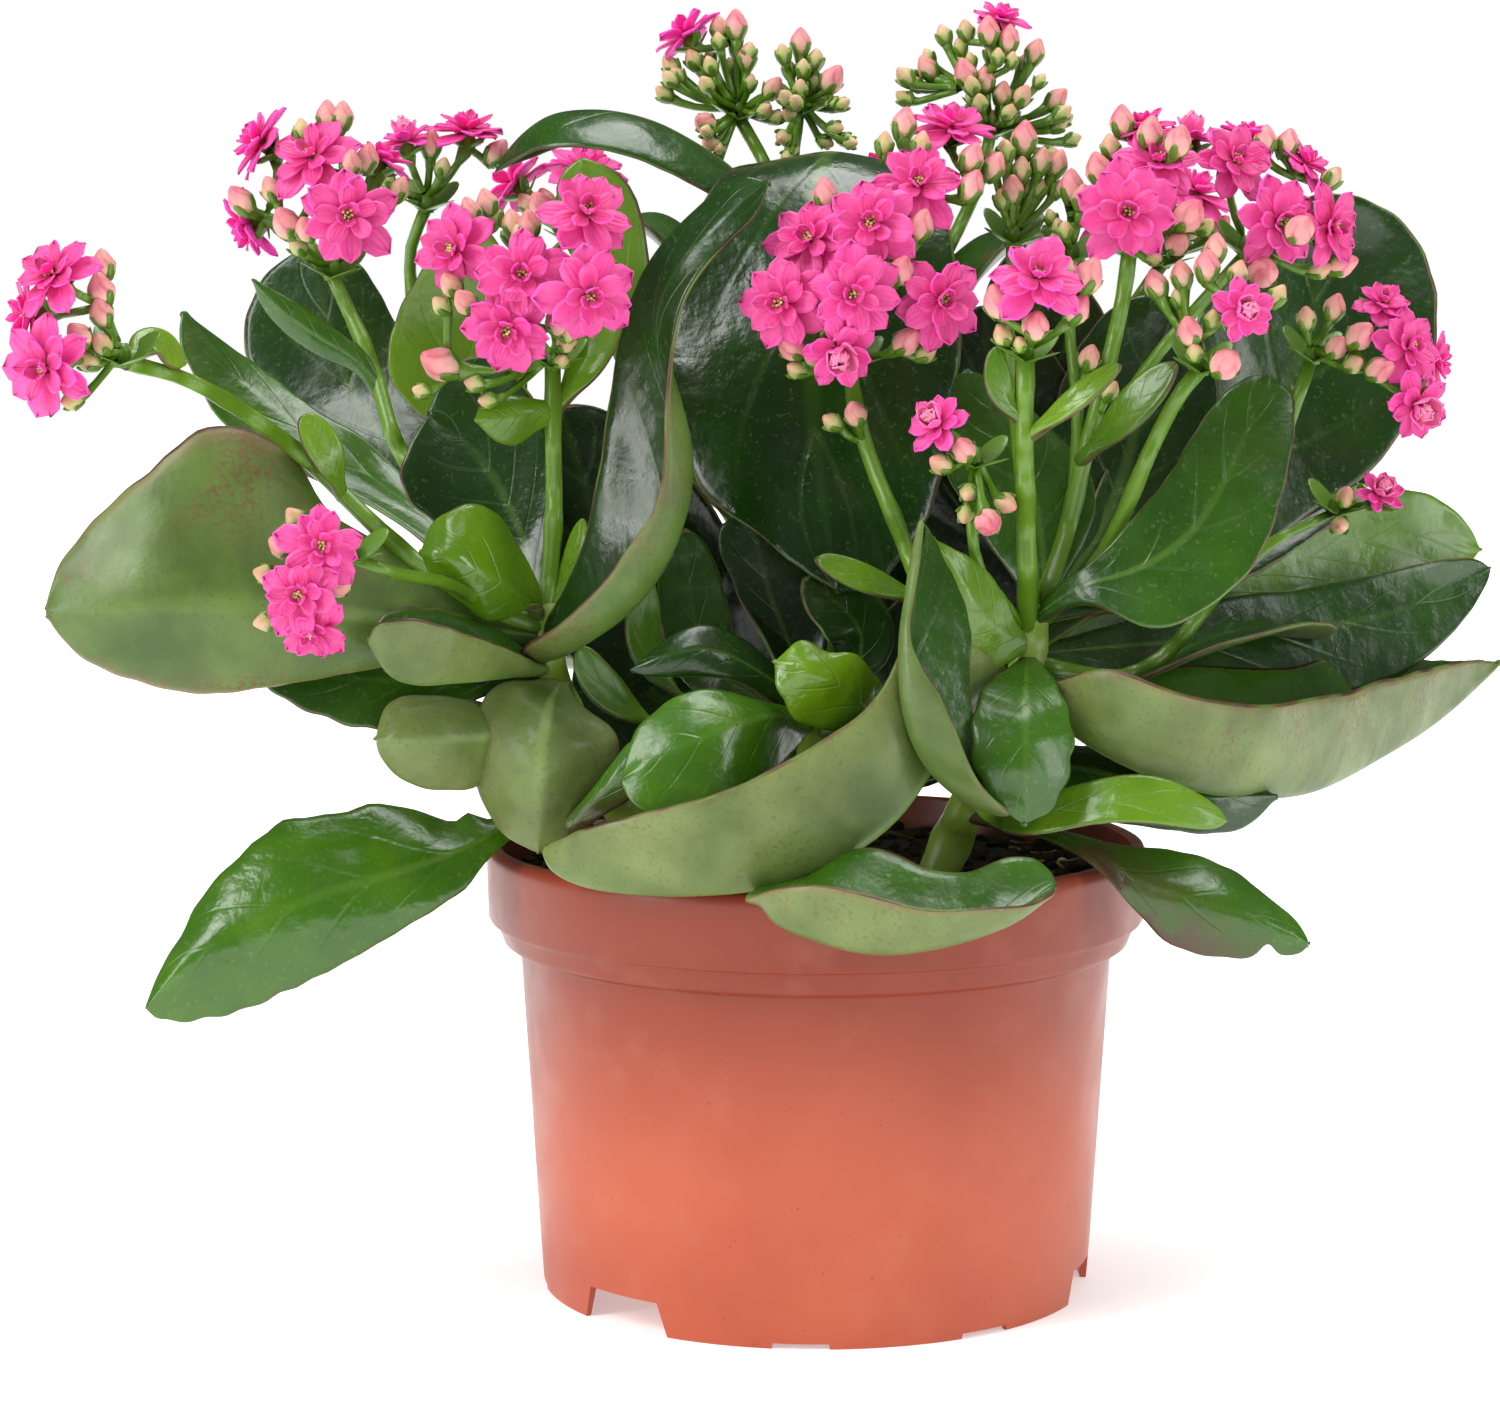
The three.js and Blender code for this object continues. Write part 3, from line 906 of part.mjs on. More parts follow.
function budSolid(root, middle, toward, width) {
  const points = [root];
  const radii = [HEAD.stalk];
  if (width >= HEAD.bigBud) {
    points.push(middle.clone().addScaledVector(toward, -0.55 * width));
    radii.push(0.3 * width);
  }
  points.push(middle.clone().addScaledVector(toward, 0.1 * width));
  points.push(middle.clone().addScaledVector(toward, 0.7 * width));
  radii.push(width / 2, 0);
  return tube(points, radii, 4);
}

// Three directions at right angles, the last one the way that a flower faces
function frameFacing(toward) {
  const guide = Math.abs(toward.z) > 0.9 ? new THREE.Vector3(0, 1, 0) : new THREE.Vector3(0, 0, 1);
  const right = guide.cross(toward).normalize();
  return [right, toward.clone().cross(right), toward];
}

// A flower's skin as rings of five fans: stalk, calyx, outer petals, the groove between
// the two layers, inner petals. Each ring lists [share of radius, height, offset] by petal.
const PETALS = 5;
const POINTED = [[0.55, 0.02, -0.5], [1, 0.1, -0.17], [1, 0.1, 0.17]];
const SIMPLE = [[0.55, 0.02, -0.5], [1, 0.1, 0]];
const GROOVE = [[0.34, 0.16, -0.5]];
const INNER = [[0.34, 0.34, -0.5], [0.68, 0.5, 0]];

function flowerSolid(root, { middle, toward, width, turn }) {
  const [right, up, out] = frameFacing(toward);
  const radius = width / 2;
  const positions = [];
  const place = (center, reach, lift, angle, bend) => {
    const spoke = right.clone().multiplyScalar(reach * Math.cos(angle));
    spoke.addScaledVector(up, reach * Math.sin(angle)).addScaledVector(out, lift);
    const point = spoke.applyQuaternion(bend).add(center);
    return positions.push(point.x, point.y, point.z) / 3 - 1;
  };
  const straight = new THREE.Quaternion();
  const petalRing = (outline) => {
    const ring = [];
    for (let k = 0; k < PETALS; k += 1) {
      for (const [share, lift, offset] of outline) {
        const angle = turn + ((k + offset) * 2 * Math.PI) / PETALS;
        ring.push(place(middle, share * radius, lift * radius, angle, straight));
      }
    }
    return ring;
  };
  const plainRing = (center, reach, bend) => {
    const ring = [];
    for (let k = 0; k < PETALS; k += 1) {
      ring.push(place(center, reach, 0, turn + ((k - 0.5) * 2 * Math.PI) / PETALS, bend));
    }
    return ring;
  };
  const calyx = middle.clone().addScaledVector(out, -HEAD.calyxDrop);
  const bend = new THREE.Quaternion().setFromUnitVectors(out, calyx.clone().sub(root).normalize());
  const rings = [
    plainRing(root, HEAD.stalk, bend),
    plainRing(calyx, HEAD.calyx, straight.clone().slerp(bend, 0.5)),
    petalRing(width > HEAD.bigFlower ? POINTED : SIMPLE),
    petalRing(GROOVE),
    petalRing(INNER),
  ];
  const triangles = [];
  for (let i = 0; i + 1 < rings.length; i += 1) stitch(rings[i], rings[i + 1], triangles);
  const [first, last] = [rings[0], rings[rings.length - 1]];
  for (let k = 1; k + 1 < PETALS; k += 1) triangles.push(first[0], first[k + 1], first[k]);
  const top = place(middle, 0, 0.3 * radius, 0, straight);
  last.forEach((corner, k) => triangles.push(corner, last[(k + 1) % last.length], top));
  return solidFrom(positions, triangles);
}

// Triangles between two rings whose counts are both multiples of the petals
function stitch(low, high, triangles) {
  const [m, n] = [low.length / PETALS, high.length / PETALS];
  for (let k = 0; k < PETALS; k += 1) {
    let [i, j] = [0, 0];
    while (i < m || j < n) {
      const [a, b] = [low[(k * m + i) % low.length], high[(k * n + j) % high.length]];
      if (i < m && (j >= n || (i + 0.5) / m <= (j + 0.5) / n)) {
        triangles.push(a, low[(k * m + i + 1) % low.length], b);
        i += 1;
      } else {
        triangles.push(a, high[(k * n + j + 1) % high.length], b);
        j += 1;
      }
    }
  }
}

// One body for a head: every bud and flower grows from the nearest big piece that is closer
// to the node, so that the branches fork as they do on the plant
function headSolid(head) {
  const ends = [];
  for (const flower of head.flowers) {
    const base = flower.middle.clone().addScaledVector(flower.toward, -HEAD.calyxDrop);
    ends.push({ base, holds: true, solid: (root) => flowerSolid(root, flower) });
  }
  for (const { middle, width } of head.buds) {
    const toward = middle.clone().sub(head.node).normalize().add(BUD_LEAN).normalize();
    const base = middle.clone().addScaledVector(toward, -0.5 * width);
    const holds = width >= HEAD.bigBud;
    ends.push({ base, holds, solid: (root) => budSolid(root, middle, toward, width) });
  }
  const fromNode = (end) => end.base.distanceTo(head.node);
  ends.sort((a, b) => fromNode(a) - fromNode(b));
  const [low, high] = [head.node.clone(), head.node.clone()];
  low.z += 0.3;
  high.z += 3;
  const solids = [tube([low, high], [1.7, 1.3], 5)];
  const held = [{ base: low.clone().lerp(high, 0.5) }];
  for (const end of ends) {
    const cost = ({ base }) => base.distanceTo(end.base) + 0.35 * base.distanceTo(head.node);
    const holder = held.reduce((best, next) => (cost(next) < cost(best) ? next : best));
    solids.push(end.solid(holder.base));
    if (end.holds) held.push(end);
  }
  return joined(solids);
}

function headFromTable([name, node, flowers, buds]) {
  return {
    name,
    node: seen(node),
    flowers: flowers.map(([middle, toward, width], i) => ({
      middle: seen(middle),
      toward: new THREE.Vector3(...toward).normalize(),
      width,
      turn: 1.3 * i + 0.4,
    })),
    buds: buds.map(([middle, width]) => ({ middle: seen(middle), width })),
  };
}

// A head at the back: flowers fan out over its node, with buds between and below them
function backHead([name, node, count], index) {
  const middle = seen(node);
  const draw = seeded(7 + index);
  const flowers = [];
  const buds = [];
  for (let i = 0; i < count; i += 1) {
    const turn = 2.4 * i + draw();
    const lean = i === 0 ? 0.1 : 0.75;
    const toward = new THREE.Vector3(lean * Math.cos(turn), lean * Math.sin(turn) + 0.35, 0.75).normalize();
    flowers.push({
      middle: middle.clone().addScaledVector(toward, 14 + 2 * draw()),
      toward,
      width: 14.5 + 1.5 * draw(),
      turn: 6 * draw(),
    });
    const aside = turn + 0.8;
    const side = new THREE.Vector3(Math.cos(aside), Math.sin(aside), 0.35 + 0.5 * draw()).normalize();
    buds.push({ middle: middle.clone().addScaledVector(side, 10.5 + 3 * draw()), width: 3.8 + 1.2 * draw() });
  }
  return { name, node: middle, flowers, buds };
}

// Stems: all of a stem's stalks, leaves and small side buds are one body

function stemSolid(stem, grow) {
  const solids = [];
  for (const [owner, footRadius, endRadius, path] of STALKS) {
    if (owner === stem) solids.push(stalk(path, footRadius, endRadius, grow));
  }
  for (const [, owner, width, face, folds, stalkShare, rib] of LEAVES) {
    if (owner === stem) solids.push(leaf(foldedBlade(rib.map(seen), width, face, folds, stalkShare), grow));
  }
  for (const [, owner, stalkShare, ...lines] of TRACED_LEAVES) {
    const [left, rib, right] = lines.map((line) => line.map(seen));
    if (owner === stem) solids.push(leaf(tracedBlade(left, rib, right, stalkShare), grow));
  }
  for (const [owner, root, bud, width] of SIDE_BUDS) {
    if (owner !== stem) continue;
    const [from, to] = [seen(root), seen(bud)];
    const toward = to.clone().sub(from).normalize();
    solids.push(budSolid(from, to, toward, width));
  }
  for (const blade of backLeaves(stem)) solids.push(leaf(blade, grow));
  return joined(solids);
}

// The plant put together: each node is cut clear of the grown bodies of the nodes before it

const kalanchoe = new THREE.Group();
const SMALLEST_BODY = 30;

function add(name, solid, material) {
  const mesh = new THREE.Mesh(geometryOf(solid), material);
  mesh.name = name;
  kalanchoe.add(mesh);
}

const STEMS = ["left", "right", "front", "back"];
const stemHoles = STEMS.map((stem) => {
  const [, footRadius, endRadius, path] = STALKS.find(([owner]) => owner === stem);
  return stalk(path, footRadius + GAP, endRadius + GAP, GAP);
});

add("pot", pot(), POT_PLASTIC);
add("soil", soil(stemHoles), POTTING_SOIL);

const taken = [];
for (const stem of STEMS) {
  const [body] = bodies(without(stemSolid(stem, 0), taken), SMALLEST_BODY);
  add(`stem_${stem}`, body, FOLIAGE);
  taken.push(stemSolid(stem, CUT_GAP));
}

for (const head of [...HEADS.map(headFromTable), ...BACK_HEADS.map(backHead)]) {
  const [body] = bodies(without(headSolid(head), taken), SMALLEST_BODY);
  add(`head_${head.name}`, body, head.flowers.length > 0 ? PETAL_PINK : BUD_GREEN);
}

export default kalanchoe;
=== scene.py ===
"""Potted kalanchoe: the looks of a flowering kalanchoe in a terracotta-coloured nursery pot.

Metres, +Z up, and the plant's front faces -Y. Sizes and places below are real ones in
millimetres: each mesh is shaped in millimetres and brought to metres when it is finished.
"""

import math

import bmesh
import bpy
from mathutils import Matrix, Vector, noise


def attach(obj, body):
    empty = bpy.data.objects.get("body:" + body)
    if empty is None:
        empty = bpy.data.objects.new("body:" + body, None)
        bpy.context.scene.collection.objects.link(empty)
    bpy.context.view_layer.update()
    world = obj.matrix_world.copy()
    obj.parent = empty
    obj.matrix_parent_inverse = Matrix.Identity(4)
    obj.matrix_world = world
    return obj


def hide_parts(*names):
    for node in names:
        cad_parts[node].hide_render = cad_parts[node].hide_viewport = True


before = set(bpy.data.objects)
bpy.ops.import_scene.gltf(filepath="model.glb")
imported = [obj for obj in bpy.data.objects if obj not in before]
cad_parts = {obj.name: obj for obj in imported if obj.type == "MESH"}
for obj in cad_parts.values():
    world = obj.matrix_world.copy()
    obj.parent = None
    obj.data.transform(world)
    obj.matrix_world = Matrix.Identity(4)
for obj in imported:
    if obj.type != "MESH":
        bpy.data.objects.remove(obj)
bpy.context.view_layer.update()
# Millimetres to metres, what counts as zero, and how near vertices are merged in millimetres
MM = 0.001
TINY = 1e-6
MERGE = 0.01

# Camera: the photograph's view, looking along +Y and a little down. EYE, the lens and the width
# of its sensor are in millimetres, and LOOK_DOWN is in degrees.

EYE = Vector((-12, -750, 200))
LOOK_DOWN = 7.1
LENS = 99.8
SENSOR = 36


def make_camera():
    data = bpy.data.cameras.new("photo_view")
    data.sensor_fit = "HORIZONTAL"
    data.sensor_width = SENSOR
    data.lens = LENS
    camera = place_object("photo_view", data)
    camera.location = EYE * MM
    camera.rotation_euler = (math.radians(90 - LOOK_DOWN), 0, 0)
    bpy.context.scene.camera = camera


def seen(place):
    """The real point of a place [x, z, y]: x and z where the line of sight from EYE crosses
    the plane y = 0, then the real depth y."""
    x, z, y = place
    reach = (y - EYE.y) / -EYE.y
    return EYE + (Vector((x, 0, z)) - EYE) * reach


# Pot sizes. Heights count from the table, and angles are degrees from the front.

POT = {
    "rim_radius": 60, "rim_top": 81.5, "rim_inner": 57.2, "rim_roll": 79, "ring_step": 67.7,
    "ring_bottom": 63.4, "ring_radius": 57, "neck_radius": 53.9, "foot_radius": 50,
    "foot_rise": 1, "wall": 1.2, "floor_under": 6.5, "floor_top": 7.7,
}
NOTCH = {"width": 18, "top": 6, "angles": (-43.7, 76.3, 196.3)}
FOOT_GAP = {"width": 10, "after_notch": (40, 79.5)}
FOOT_CUT = {"slope": 0.25, "outward": 6, "inward": 10, "below": 1}
DRAIN = {"radius": 3.5, "ring": 27, "count": 6, "sides": 20, "height": 7, "depth": 6}
POT_STEPS = 144
SHARP_EDGE = 38
SOIL = {
    "edge": 76, "middle": 79, "lowered": 0.6, "inset": 0.5, "over_floor": 0.3, "rings": 28,
    "steps": 96, "seed": 19,
}

# Leaves: name, stem, width, upper side's direction, how many degrees the halves fold up, share
# of the rib that is stalk, tone from 0 (dark) to 1 (light), and the rib's places

LEAVES = [
    ("bract_c2", "left", 8, (-0.3, -0.9, 0.3), 10, 0.14, 0.8,
     [(-47, 160, -25), (-42, 167, -24), (-36, 178, -22)]),
    ("tip", "left", 5, (-0.5, -0.8, 0.2), 10, 0.14, 0.8,
     [(-48.5, 123, -27), (-44, 132, -28), (-42, 140, -28)]),
    ("bract_a", "left", 7, (0.3, -0.8, 0.4), 10, 0.14, 0.85,
     [(-86, 145, -36), (-88, 151, -40), (-92.5, 159, -40)]),
    ("bract_a2", "left", 7, (0.2, -0.7, 0.7), 10, 0.1, 0.9,
     [(-124, 168.5, -68), (-119.5, 172, -64), (-114, 168, -60)]),
    ("inner", "right", 32, (0.1, -0.95, 0.2), 6, 0.1, 0.15,
     [(40, 122, -25), (51, 138, -4), (57, 155, 4), (60, 180, 6)]),
    ("far", "right", 24, (0, -0.8, 0.6), 6, 0.2, 0.2,
     [(40, 118, -24), (60, 131, 6), (80, 142, 20), (99, 149, 28)]),
    ("screen", "right", 27, (0.05, -0.95, 0.25), 8, 0.12, 0.12,
     [(41, 125, -14), (43, 148, 6), (41, 170, 12), (37, 189, 14)]),
    ("bract_g", "right", 8, (-0.3, -0.8, 0.5), 10, 0.14, 0.7,
     [(48, 151, -20), (56, 159, -26), (64.5, 168, -27)]),
    ("bract_e", "right", 5, (-0.3, -0.8, 0.5), 10, 0.14, 0.85,
     [(37.6, 154.5, -41), (46, 161, -46), (54.5, 168, -46)]),
    ("bract_e2", "right", 5, (0.2, -0.9, 0.4), 10, 0.14, 0.7,
     [(37.6, 157, -41), (33, 163, -44), (32, 171, -44)]),
    ("slim", "right", 6, (0, -0.8, 0.6), 10, 0.14, 0.8,
     [(20, 125, -28), (9, 129, -31), (0, 133, -31)]),
    ("shaded", "front", 14, (0.2, -0.8, 0.55), 8, 0.2, 0.2,
     [(4, 106, -27), (8, 116, -26), (6, 122, -25), (-2, 129, -24)]),
    ("small_a", "front", 7, (-0.2, -0.9, 0.4), 10, 0.6, 0.7,
     [(-4, 96, -24), (-30, 103, -30), (-39, 110, -31), (-43, 117, -31)]),
    ("small_c", "front", 7, (0.2, -0.9, 0.3), 10, 0.5, 0.7,
     [(-3, 101, -24), (-22, 106, -22), (-31, 116, -22), (-31, 130, -22)]),
    ("olive", "front", 13, (0, -0.9, 0.3), 8, 0.3, 0.45,
     [(-1, 102, -25), (-18, 112, -8), (-22, 122, -6), (-24, 138, -4)]),
    ("fill_left", "back", 38, (-0.1, -0.95, 0.2), 6, 0.14, 0.05,
     [(2, 107, 23), (-22, 118, 8), (-38, 138, 6), (-46, 160, 8)]),
    ("fill_right", "back", 36, (0.1, -0.95, 0.2), 6, 0.14, 0.05,
     [(4, 111, 25), (24, 128, 8), (31, 148, 6), (30, 178, 8)]),
    ("low_left", "back", 34, (-0.1, -0.9, 0.4), 8, 0.1, 0.1,
     [(1, 92, 22), (-13, 98, 10), (-27, 106, 6), (-41, 119, 6)]),
    ("low_right", "back", 34, (0.1, -0.9, 0.4), 8, 0.1, 0.1,
     [(3, 95, 23), (14, 103, 12), (26, 113, 8), (40, 126, 6)]),
]

# Traced leaves: name, stem, share of the rib that is stalk, tone, and three lines of places from
# the root on: the left margin, the rib and the right margin of the upper side. All three end at
# the tip, which only the rib's list holds.

TRACED_LEAVES = [
    ("big", "left", 0.14, 0.3,
     [(-86, 140, -36), (-93, 150.5, -37), (-102, 156.3, -40), (-111, 156.8, -43),
      (-119.5, 149.8, -45), (-130, 140.2, -46), (-136.5, 131.5, -48)],
     [(-49, 118, -27), (-67, 120.5, -38), (-90, 123, -48), (-112, 124.5, -55), (-127, 124, -54),
      (-139.3, 123, -50)],
     [(-62, 117, -34), (-80, 113, -42), (-100, 109.5, -47), (-112, 107.8, -48), (-123, 110, -49),
      (-133, 115, -49)]),
    ("long", "left", 0.14, 0.5,
     [(-62, 128, -16), (-74, 138, -8), (-84, 144, -2), (-95, 149.5, 2), (-107, 157.3, 6),
      (-112, 166, 8), (-114.5, 172, 10)],
     [(-50, 122, -22), (-66, 136, -8), (-80, 147, 2), (-92, 155, 8), (-104, 165, 12),
      (-114, 177.3, 13)],
     [(-60, 133, -10), (-76, 149.5, 2), (-83, 156, 9), (-89, 159, 12), (-98, 166, 17),
      (-106, 171.5, 18)]),
    ("gloss", "left", 0.14, 0.75,
     [(-50, 124.5, -32), (-56.5, 121.7, -36), (-60, 121.6, -38), (-63.5, 124, -39), (-67, 127, -40),
      (-70, 130, -41)],
     [(-49, 122, -27), (-56, 127.5, -37), (-63, 131.5, -43), (-68, 133.5, -44.5), (-71.5, 134, -42)],
     [(-51, 130, -31), (-55, 138, -33), (-58.5, 142.3, -35), (-63, 143, -37), (-67, 141.5, -39),
      (-70, 138.5, -40)]),
    ("cupped", "left", 0.14, 0.5,
     [(-58, 117.5, -44), (-62, 119, -49), (-66, 120.3, -53), (-70, 121.8, -55), (-75, 122.3, -56),
      (-79, 121.5, -55)],
     [(-49, 113, -27), (-58, 111.5, -40), (-66, 110.7, -47), (-72, 110.3, -50), (-77, 112, -51.5),
      (-81, 118.5, -52)],
     [(-56, 119, -34), (-64, 123, -38), (-72, 124.4, -43), (-78, 123, -48)]),
    ("glossy_low", "left", 0.14, 0.4,
     [(-58, 108.5, -33), (-72, 103, -40), (-80, 101.5, -42), (-88, 103.3, -43), (-96, 106.7, -43.5),
      (-100.2, 110, -43)],
     [(-48, 111, -25), (-66, 110.5, -34), (-82, 110.5, -38), (-94, 112, -41), (-101.7, 114, -43)],
     [(-60, 114.5, -28), (-75, 117.5, -32), (-87, 119, -35), (-94, 119.2, -38), (-99.5, 118.3, -41)]),
    ("round", "left", 0.14, 0.5,
     [(-56, 106, -30), (-62, 107, -35), (-68, 107.9, -39), (-74, 108, -41), (-78, 106.3, -43)],
     [(-46, 105, -23), (-56, 101, -37), (-66, 100, -45), (-75, 100, -48), (-80, 100, -46)],
     [(-54, 96, -31), (-62, 91.5, -37), (-67, 90.8, -40), (-72, 91.2, -42), (-76, 93, -43.5),
      (-79, 96.5, -44.5)]),
    ("pale", "left", 0.08, 0.45,
     [(-52, 111, -33), (-57, 110.7, -36), (-60.5, 108, -37), (-62.5, 102, -38), (-62.5, 95, -37),
      (-60.8, 89, -36), (-57, 83, -34.5)],
     [(-46, 110, -25), (-48.5, 106, -39), (-50, 97, -46), (-50.5, 88, -43), (-50.5, 79.3, -33)],
     [(-44, 108.5, -33), (-40, 105, -36), (-36.5, 102, -38), (-35.5, 98, -39), (-38, 92, -39),
      (-42, 86.5, -37), (-46, 82, -35)]),
    ("twist", "left", 0.06, 0.22,
     [(-50, 120, -28), (-45, 128, -32), (-41.5, 137, -34), (-39.5, 148, -34), (-38, 160, -32),
      (-36, 170, -31), (-33, 180, -30), (-28.5, 189, -29), (-21, 197, -28), (-14, 201.6, -28)],
     [(-50, 115, -27), (-44, 117, -37), (-38, 120.5, -41), (-33, 124.5, -43), (-29, 129.5, -44),
      (-25.7, 136, -44), (-23.5, 144, -43), (-23, 152, -42), (-25, 161, -40), (-27.7, 170, -38),
      (-27.8, 178, -36), (-23, 187, -34), (-15, 195, -32), (-8.5, 200.5, -30)],
     [(-54.5, 116, -33), (-46, 121.3, -43), (-38, 129, -48), (-33.5, 135.5, -50), (-29, 143, -50),
      (-28, 152, -48), (-27.5, 163, -44), (-26, 173, -41), (-23.5, 181, -39), (-18, 188, -36),
      (-11, 194.5, -33)]),
    ("droop", "left", 0.2, 0.6,
     [(-52, 84, -26), (-60.2, 77.5, -32), (-64, 72, -35), (-72, 67, -38), (-82, 61, -41),
      (-92, 55.5, -43), (-104, 50, -45), (-114, 47.8, -46), (-120, 48, -46)],
     [(-40, 90, -18), (-51, 87, -24), (-61.5, 80.5, -31), (-75, 75.5, -37), (-90, 71.2, -42),
      (-103, 65.5, -45), (-114, 59.5, -47), (-122.7, 50, -46)],
     [(-52, 88.5, -21), (-60, 83.5, -26), (-63.3, 87.5, -27), (-65.5, 84, -25), (-72, 86.8, -26),
      (-80, 88.3, -28), (-88, 86, -31), (-95, 86, -32), (-100, 83.5, -34), (-104, 79.3, -36),
      (-111.5, 71.5, -39), (-115.7, 64, -42), (-119.7, 58, -44)]),
    ("pale_front", "right", 0.12, 0.5,
     [(29, 117, -42), (21, 121, -50), (16, 119, -55), (13.5, 111.5, -58), (7.5, 104.5, -61),
      (-1, 98.7, -64), (-10, 93.7, -66), (-20, 89.6, -66), (-32, 86.5, -63), (-43, 83.5, -57)],
     [(36, 110, -27), (28, 108, -42), (21, 96, -52), (15, 86, -58), (5, 78.3, -61), (-6, 73.6, -62),
      (-18, 71.8, -61), (-30, 71.6, -58), (-41, 73, -54), (-47.5, 76, -51), (-49.3, 80, -49)],
     [(30, 106, -34), (24, 99, -42), (15, 93, -44), (2, 88, -46), (-12, 83, -46), (-26, 81, -45),
      (-40, 81.5, -46)]),
    ("folded", "right", 0.3, 0.35,
     [(36, 86.5, -52), (33, 88.5, -58), (28.7, 94, -62), (26, 101, -63), (22, 109.5, -63),
      (18.3, 115, -62), (16.6, 120, -60), (17.2, 126.5, -56), (18.2, 132, -53)],
     [(31, 93, -24), (33, 88, -48), (26, 90, -56), (19.5, 96.5, -59), (16.3, 105, -60),
      (15.8, 114, -59), (16.6, 122, -56), (17.6, 131, -52), (19.2, 139.5, -48)],
     [(36, 92, -46), (31, 99, -49), (28.5, 106, -51), (27.8, 113, -50), (28, 119, -48),
      (26.5, 125.5, -46), (24, 131, -45), (21, 136.5, -46)]),
    ("hanging", "right", 0.2, 0.5,
     [(42, 112.5, -38), (45, 107.5, -47), (46.8, 102, -50), (47, 97.5, -52), (45.7, 92, -53),
      (43, 87.3, -54)],
     [(38.5, 114.5, -29), (38, 108, -47), (38, 99, -55), (38, 91, -56), (38, 84.4, -54)],
     [(34, 112, -38), (30, 108.5, -47), (28.3, 103, -52), (28.2, 97, -55), (30.5, 91, -56),
      (34, 87, -55)]),
    ("bright", "right", 0.2, 0.8,
     [(33, 89.5, -34), (42, 90, -46), (50, 92.5, -48), (58, 94, -49), (64, 93, -49), (70, 90, -49),
      (74, 87, -48.5)],
     [(29, 90, -22), (36, 85.5, -40), (46, 87, -48), (58, 88.5, -51), (68, 87, -51),
      (74.8, 84.8, -48)],
     [(30, 85, -32), (36, 81.8, -44), (44, 82.7, -49), (52, 84.6, -52), (60, 84.4, -53),
      (68, 83.4, -52), (72.8, 83.2, -50)]),
    ("big_pale", "right", 0.06, 0.5,
     [(48, 109, -26), (60, 112, -18), (70, 113.2, -10), (82, 113.3, 2), (93, 114.6, 14),
      (104, 115, 26), (114, 114.5, 36)],
     [(38, 112, -28), (45, 103, -38), (55, 96, -42), (66, 91.5, -40), (78, 89.4, -30),
      (90, 90.2, -14), (102, 96.3, 8), (113, 103.5, 28), (124, 114, 46)],
     [(43, 110, -40), (49.5, 113.3, -46), (56, 113.3, -50), (63, 109.8, -50), (72, 107.4, -45),
      (82, 106.3, -36), (92, 107.8, -20), (103, 110.8, 2), (112, 113.4, 22), (119, 114.6, 36)]),
    ("long", "right", 0.2, 0.3,
     [(54, 121, -8), (75, 126, 8), (88, 127.2, 16), (97, 129.3, 22), (106, 131.3, 28),
      (114, 133, 33), (119, 133, 37)],
     [(38, 115, -26), (60, 117, -6), (80, 119, 8), (98, 121.5, 20), (112, 126, 32), (122, 131.3, 40)],
     [(56, 111, -14), (80, 107.5, 0), (96, 108, 12), (106, 111.5, 21), (113, 116.7, 28),
      (118.5, 123, 34), (121.5, 128.5, 38)]),
    ("light", "right", 0.14, 0.75,
     [(70, 129, 16), (82, 135.5, 24), (93, 141, 31), (101, 144.5, 36), (107, 145.5, 40),
      (113, 143.5, 43), (118, 139, 45)],
     [(60, 121, 8), (80, 130, 23), (97, 135.5, 34), (110, 137, 42), (120, 134.5, 47)],
     [(72, 123.5, 14), (86, 126.5, 24), (100, 129, 34), (112, 130.5, 41), (118, 132, 45)]),
    ("up", "right", 0.14, 0.4,
     [(44, 128.5, -33), (50, 132.5, -36), (54.5, 137, -36), (59, 142.5, -34), (63.5, 148, -32),
      (67.5, 155, -28), (72, 161.3, -25), (77, 165.7, -22)],
     [(40, 122, -30), (48, 127.5, -36), (57, 130.5, -37), (65, 135, -36), (71, 142, -33),
      (76, 152, -28), (81.5, 166, -21)],
     [(47, 124.5, -36), (53, 123.7, -40), (60, 120, -42), (67, 121.3, -42), (73, 125.3, -41),
      (79, 131, -39), (82.7, 139, -36), (85, 148, -32), (86.3, 157, -27), (85.7, 163, -23)]),
    ("top", "right", 0.2, 0.25,
     [(43, 129, -16), (48, 139, -8), (53, 149, 0), (58, 159, 8), (64, 169, 16), (70, 179, 22),
      (76, 188, 26), (82, 195, 28)],
     [(39, 122, -24), (56, 133, 0), (70, 145, 14), (80, 157, 22), (87, 170, 28), (90, 184, 31),
      (90, 198.7, 30)],
     [(56, 124, -8), (74, 129.5, 8), (84, 137, 16), (93, 143.5, 20), (101, 149.5, 23),
      (106, 156, 26), (110, 165, 28), (111.7, 174, 30), (111.2, 182, 31), (108.5, 189, 31),
      (104, 194.5, 31), (97, 198, 30)]),
    ("mid", "right", 0.14, 0.45,
     [(36.5, 128, -24), (30, 137, -20), (24, 147, -16), (20.5, 156, -12), (21.5, 163, -10)],
     [(40, 122, -27), (41, 134, -22), (37, 149, -17), (27, 166.8, -9)],
     [(44.5, 129, -23), (49, 137, -19), (50.3, 144, -16), (48.5, 149.5, -13), (44, 155, -11),
      (38, 160.8, -9), (33, 164.5, -8)]),
    ("droop", "right", 0.36, 0.55,
     [(40, 84.5, -28), (48, 82, -33), (56, 80.4, -37), (64, 79.9, -38), (71, 78.3, -39),
      (78, 75, -40), (82.5, 71, -41), (85, 69.2, -42), (88.3, 65.7, -43)],
     [(27, 86, -18), (40, 83, -29), (52, 78.3, -38), (60, 73, -43), (70, 69.8, -46), (79, 67.3, -46),
